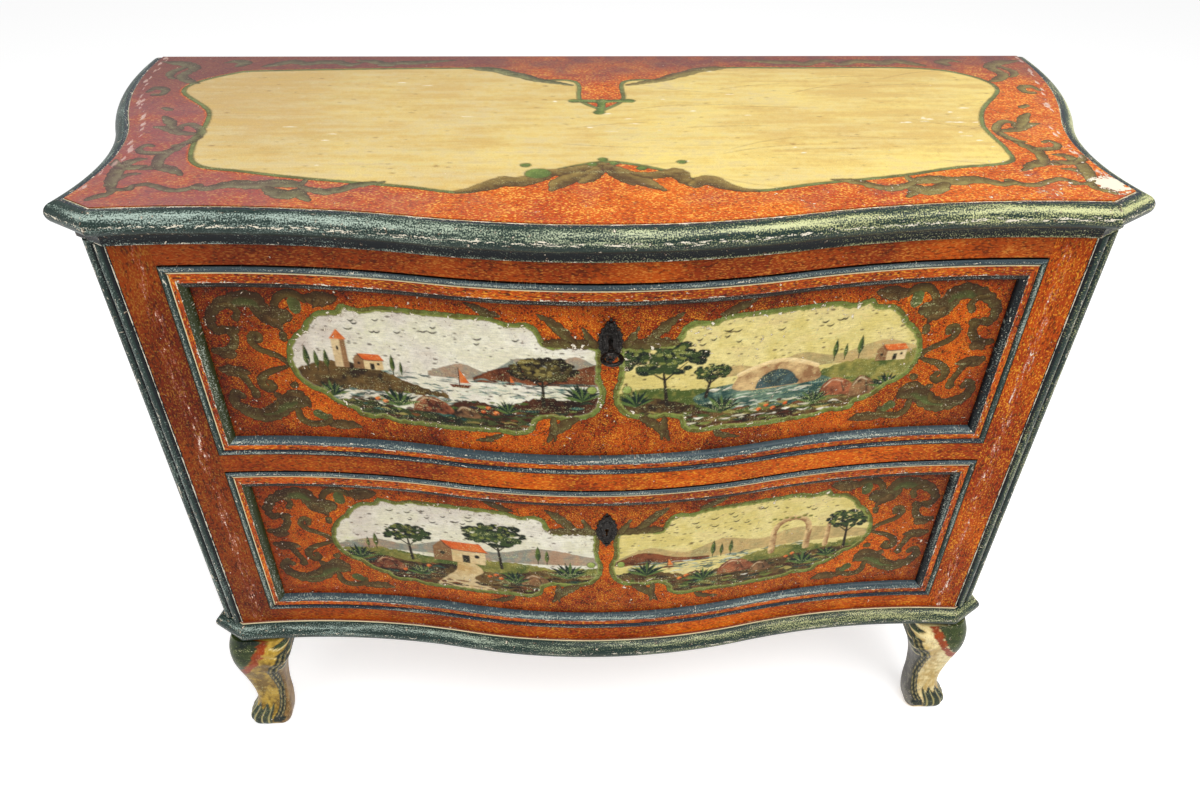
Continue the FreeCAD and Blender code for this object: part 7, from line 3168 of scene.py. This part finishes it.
# ----------------------------------------------------------------------- case
class Case:
    """Boards of the case and drawers that keep their own shape."""

    def __init__(self, nodes: dict[str, bpy.types.Object], finishes: Finishes) -> None:
        """Keep the frame's nodes and the finishes."""
        self.nodes, self.finishes = nodes, finishes

    def finish_for(self, name: str) -> bpy.types.Material:
        """Choose the finish of a board by its name.

        Args:
            name: Name of the board's node.

        Returns:
            Its finish.
        """
        finishes = self.finishes
        rules: tuple[tuple[tuple[str, ...], bpy.types.Material], ...] = (
            (("top_rail",), finishes.top_rail),
            (("mid_rail", "bottom_rail", "drawer_front"), finishes.rail),
            (("front_post", "rear_post"), finishes.post),
            (("side_panel",), finishes.flank),
            (("top_board",), finishes.board),
            (("back_board_nails", "pins", "lock"), finishes.iron),
            (("back_board",), finishes.back),
            (("runner", "kicker", "drawer_side"), finishes.pine_inward),
        )
        for words, material in rules:
            if any(word in name for word in words):
                return material
        return finishes.pine_across

    def dress(self) -> None:
        """Give each board its finish."""
        for name, node in self.nodes.items():
            for slot in node.material_slots:
                slot.material = self.finish_for(name)


# --------------------------------------------------------------------- studio
@dataclass(frozen=True)
class Studio:
    """White studio with one broad light above the front and a weaker fill."""

    place: tuple[float, float, float] = (-0.04272, -0.96360, 1.22525)
    right: tuple[float, float, float] = (0.99931916, -0.03550801, 0.01001955)
    up: tuple[float, float, float] = (0.01384579, 0.61265369, 0.79023019)
    back: tuple[float, float, float] = (-0.03419801, -0.78955344, 0.61272821)
    focal: float = 27.0
    sensor: float = 36.0

    @staticmethod
    def seen(tree: bpy.types.NodeTree) -> bpy.types.NodeSocket:
        """Return 1 for the camera and for what is mirrored or seen through, and 0 for other light.

        Args:
            tree: Node tree to add to.

        Returns:
            The socket that holds it.
        """
        path = tree.nodes.new("ShaderNodeLightPath")
        total = path.outputs["Is Camera Ray"]
        for name in ("Is Glossy Ray", "Is Transmission Ray"):
            larger = tree.nodes.new("ShaderNodeMath")
            larger.operation = "MAXIMUM"
            tree.links.new(total, larger.inputs[0])
            tree.links.new(path.outputs[name], larger.inputs[1])
            total = larger.outputs[0]
        return total

    def floor(self) -> bpy.types.Object:
        """Lay a pale floor that looks white to the camera where no shadow falls.

        Returns:
            The floor.
        """
        Bench.clear()
        bpy.ops.mesh.primitive_plane_add(size=24.0)
        floor = bpy.context.active_object
        floor.name = "studio_floor"
        book = Book("studio_floor")
        floor.data.materials.append(book.close(
            Base_Color=(0.86, 0.86, 0.86), Roughness=0.95, Specular_IOR_Level=0.0,
            Emission_Color=Val(book, self.seen(book.tree)), Emission_Strength=0.55,
        ))
        return floor

    def backdrop(self) -> None:
        """Light the world softly; the camera and mirrors see it white."""
        world = bpy.data.worlds.new("studio")
        bpy.context.scene.world = world
        world.use_nodes = True
        tree = world.node_tree
        tree.nodes.clear()
        soft = tree.nodes.new("ShaderNodeBackground")
        white = tree.nodes.new("ShaderNodeBackground")
        soft.inputs[0].default_value = (1.0, 1.0, 1.0, 1.0)
        soft.inputs[1].default_value = 0.40
        white.inputs[1].default_value = 1.0
        mix = tree.nodes.new("ShaderNodeMixShader")
        output = tree.nodes.new("ShaderNodeOutputWorld")
        tree.links.new(self.seen(tree), mix.inputs[0])
        tree.links.new(soft.outputs[0], mix.inputs[1])
        tree.links.new(white.outputs[0], mix.inputs[2])
        tree.links.new(mix.outputs[0], output.inputs[0])

    def lamp(self, name: str, place: tuple[float, float, float], size: float, power: float) -> None:
        """Hang a square soft light that looks at the piece.

        Args:
            name: Its name.
            place: Where it hangs.
            size: Length of its side.
            power: Its power.
        """
        data = bpy.data.lights.new(name, "AREA")
        data.size = size
        data.energy = power
        lamp = bpy.data.objects.new(name, data)
        bpy.context.scene.collection.objects.link(lamp)
        way = Vector((0.0, 0.0, 0.5)) - Vector(place)
        lamp.matrix_world = Matrix.Translation(place) @ way.to_track_quat("-Z", "Y").to_matrix().to_4x4()

    def camera(self) -> None:
        """Stand the camera above the front, looking down."""
        data = bpy.data.cameras.new("camera")
        data.sensor_fit = "HORIZONTAL"
        data.sensor_width = self.sensor
        data.lens = self.focal
        data.clip_start = 0.01
        camera = bpy.data.objects.new("camera", data)
        bpy.context.scene.collection.objects.link(camera)
        turn = Matrix((self.right, self.up, self.back)).transposed().to_4x4()
        camera.matrix_world = Matrix.Translation(self.place) @ turn
        bpy.context.scene.camera = camera

    def build(self) -> None:
        """Set up floor, light and camera."""
        self.floor()
        self.backdrop()
        self.lamp("key_light", (0.8, -1.2, 3.0), 2.0, 82.0)
        self.lamp("fill_light", (-2.2, -1.8, 1.6), 2.4, 24.0)
        self.camera()
        bpy.context.scene.view_settings.view_transform = "Standard"


def main() -> None:
    """Build the commode."""
    logging.basicConfig(level=logging.INFO, format="%(message)s")
    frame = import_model()
    finishes = Finishes()
    Case(frame["nodes"], finishes).dress()
    pieces = [
        *Mouldings(finishes).build(), *CornerBead().build(finishes), *TopSkin().build(finishes),
        *SideSkin().build(finishes), *Legs(finishes).build(),
    ]
    for drawer in DRAWERS:
        pieces.append(FaceFrame(drawer.foot, drawer.head).build(drawer.name, finishes))
        pieces += DrawerPanel(drawer).build(finishes)
        pieces.append(Escutcheon(drawer.name, drawer.keyhole).build(finishes))
    pieces.append(Key().build(finishes))
    for piece in pieces:
        LOG.info("%s: %d faces", piece.name, len(piece.data.polygons))
    Studio().build()


if __name__ == "__main__":
    main()
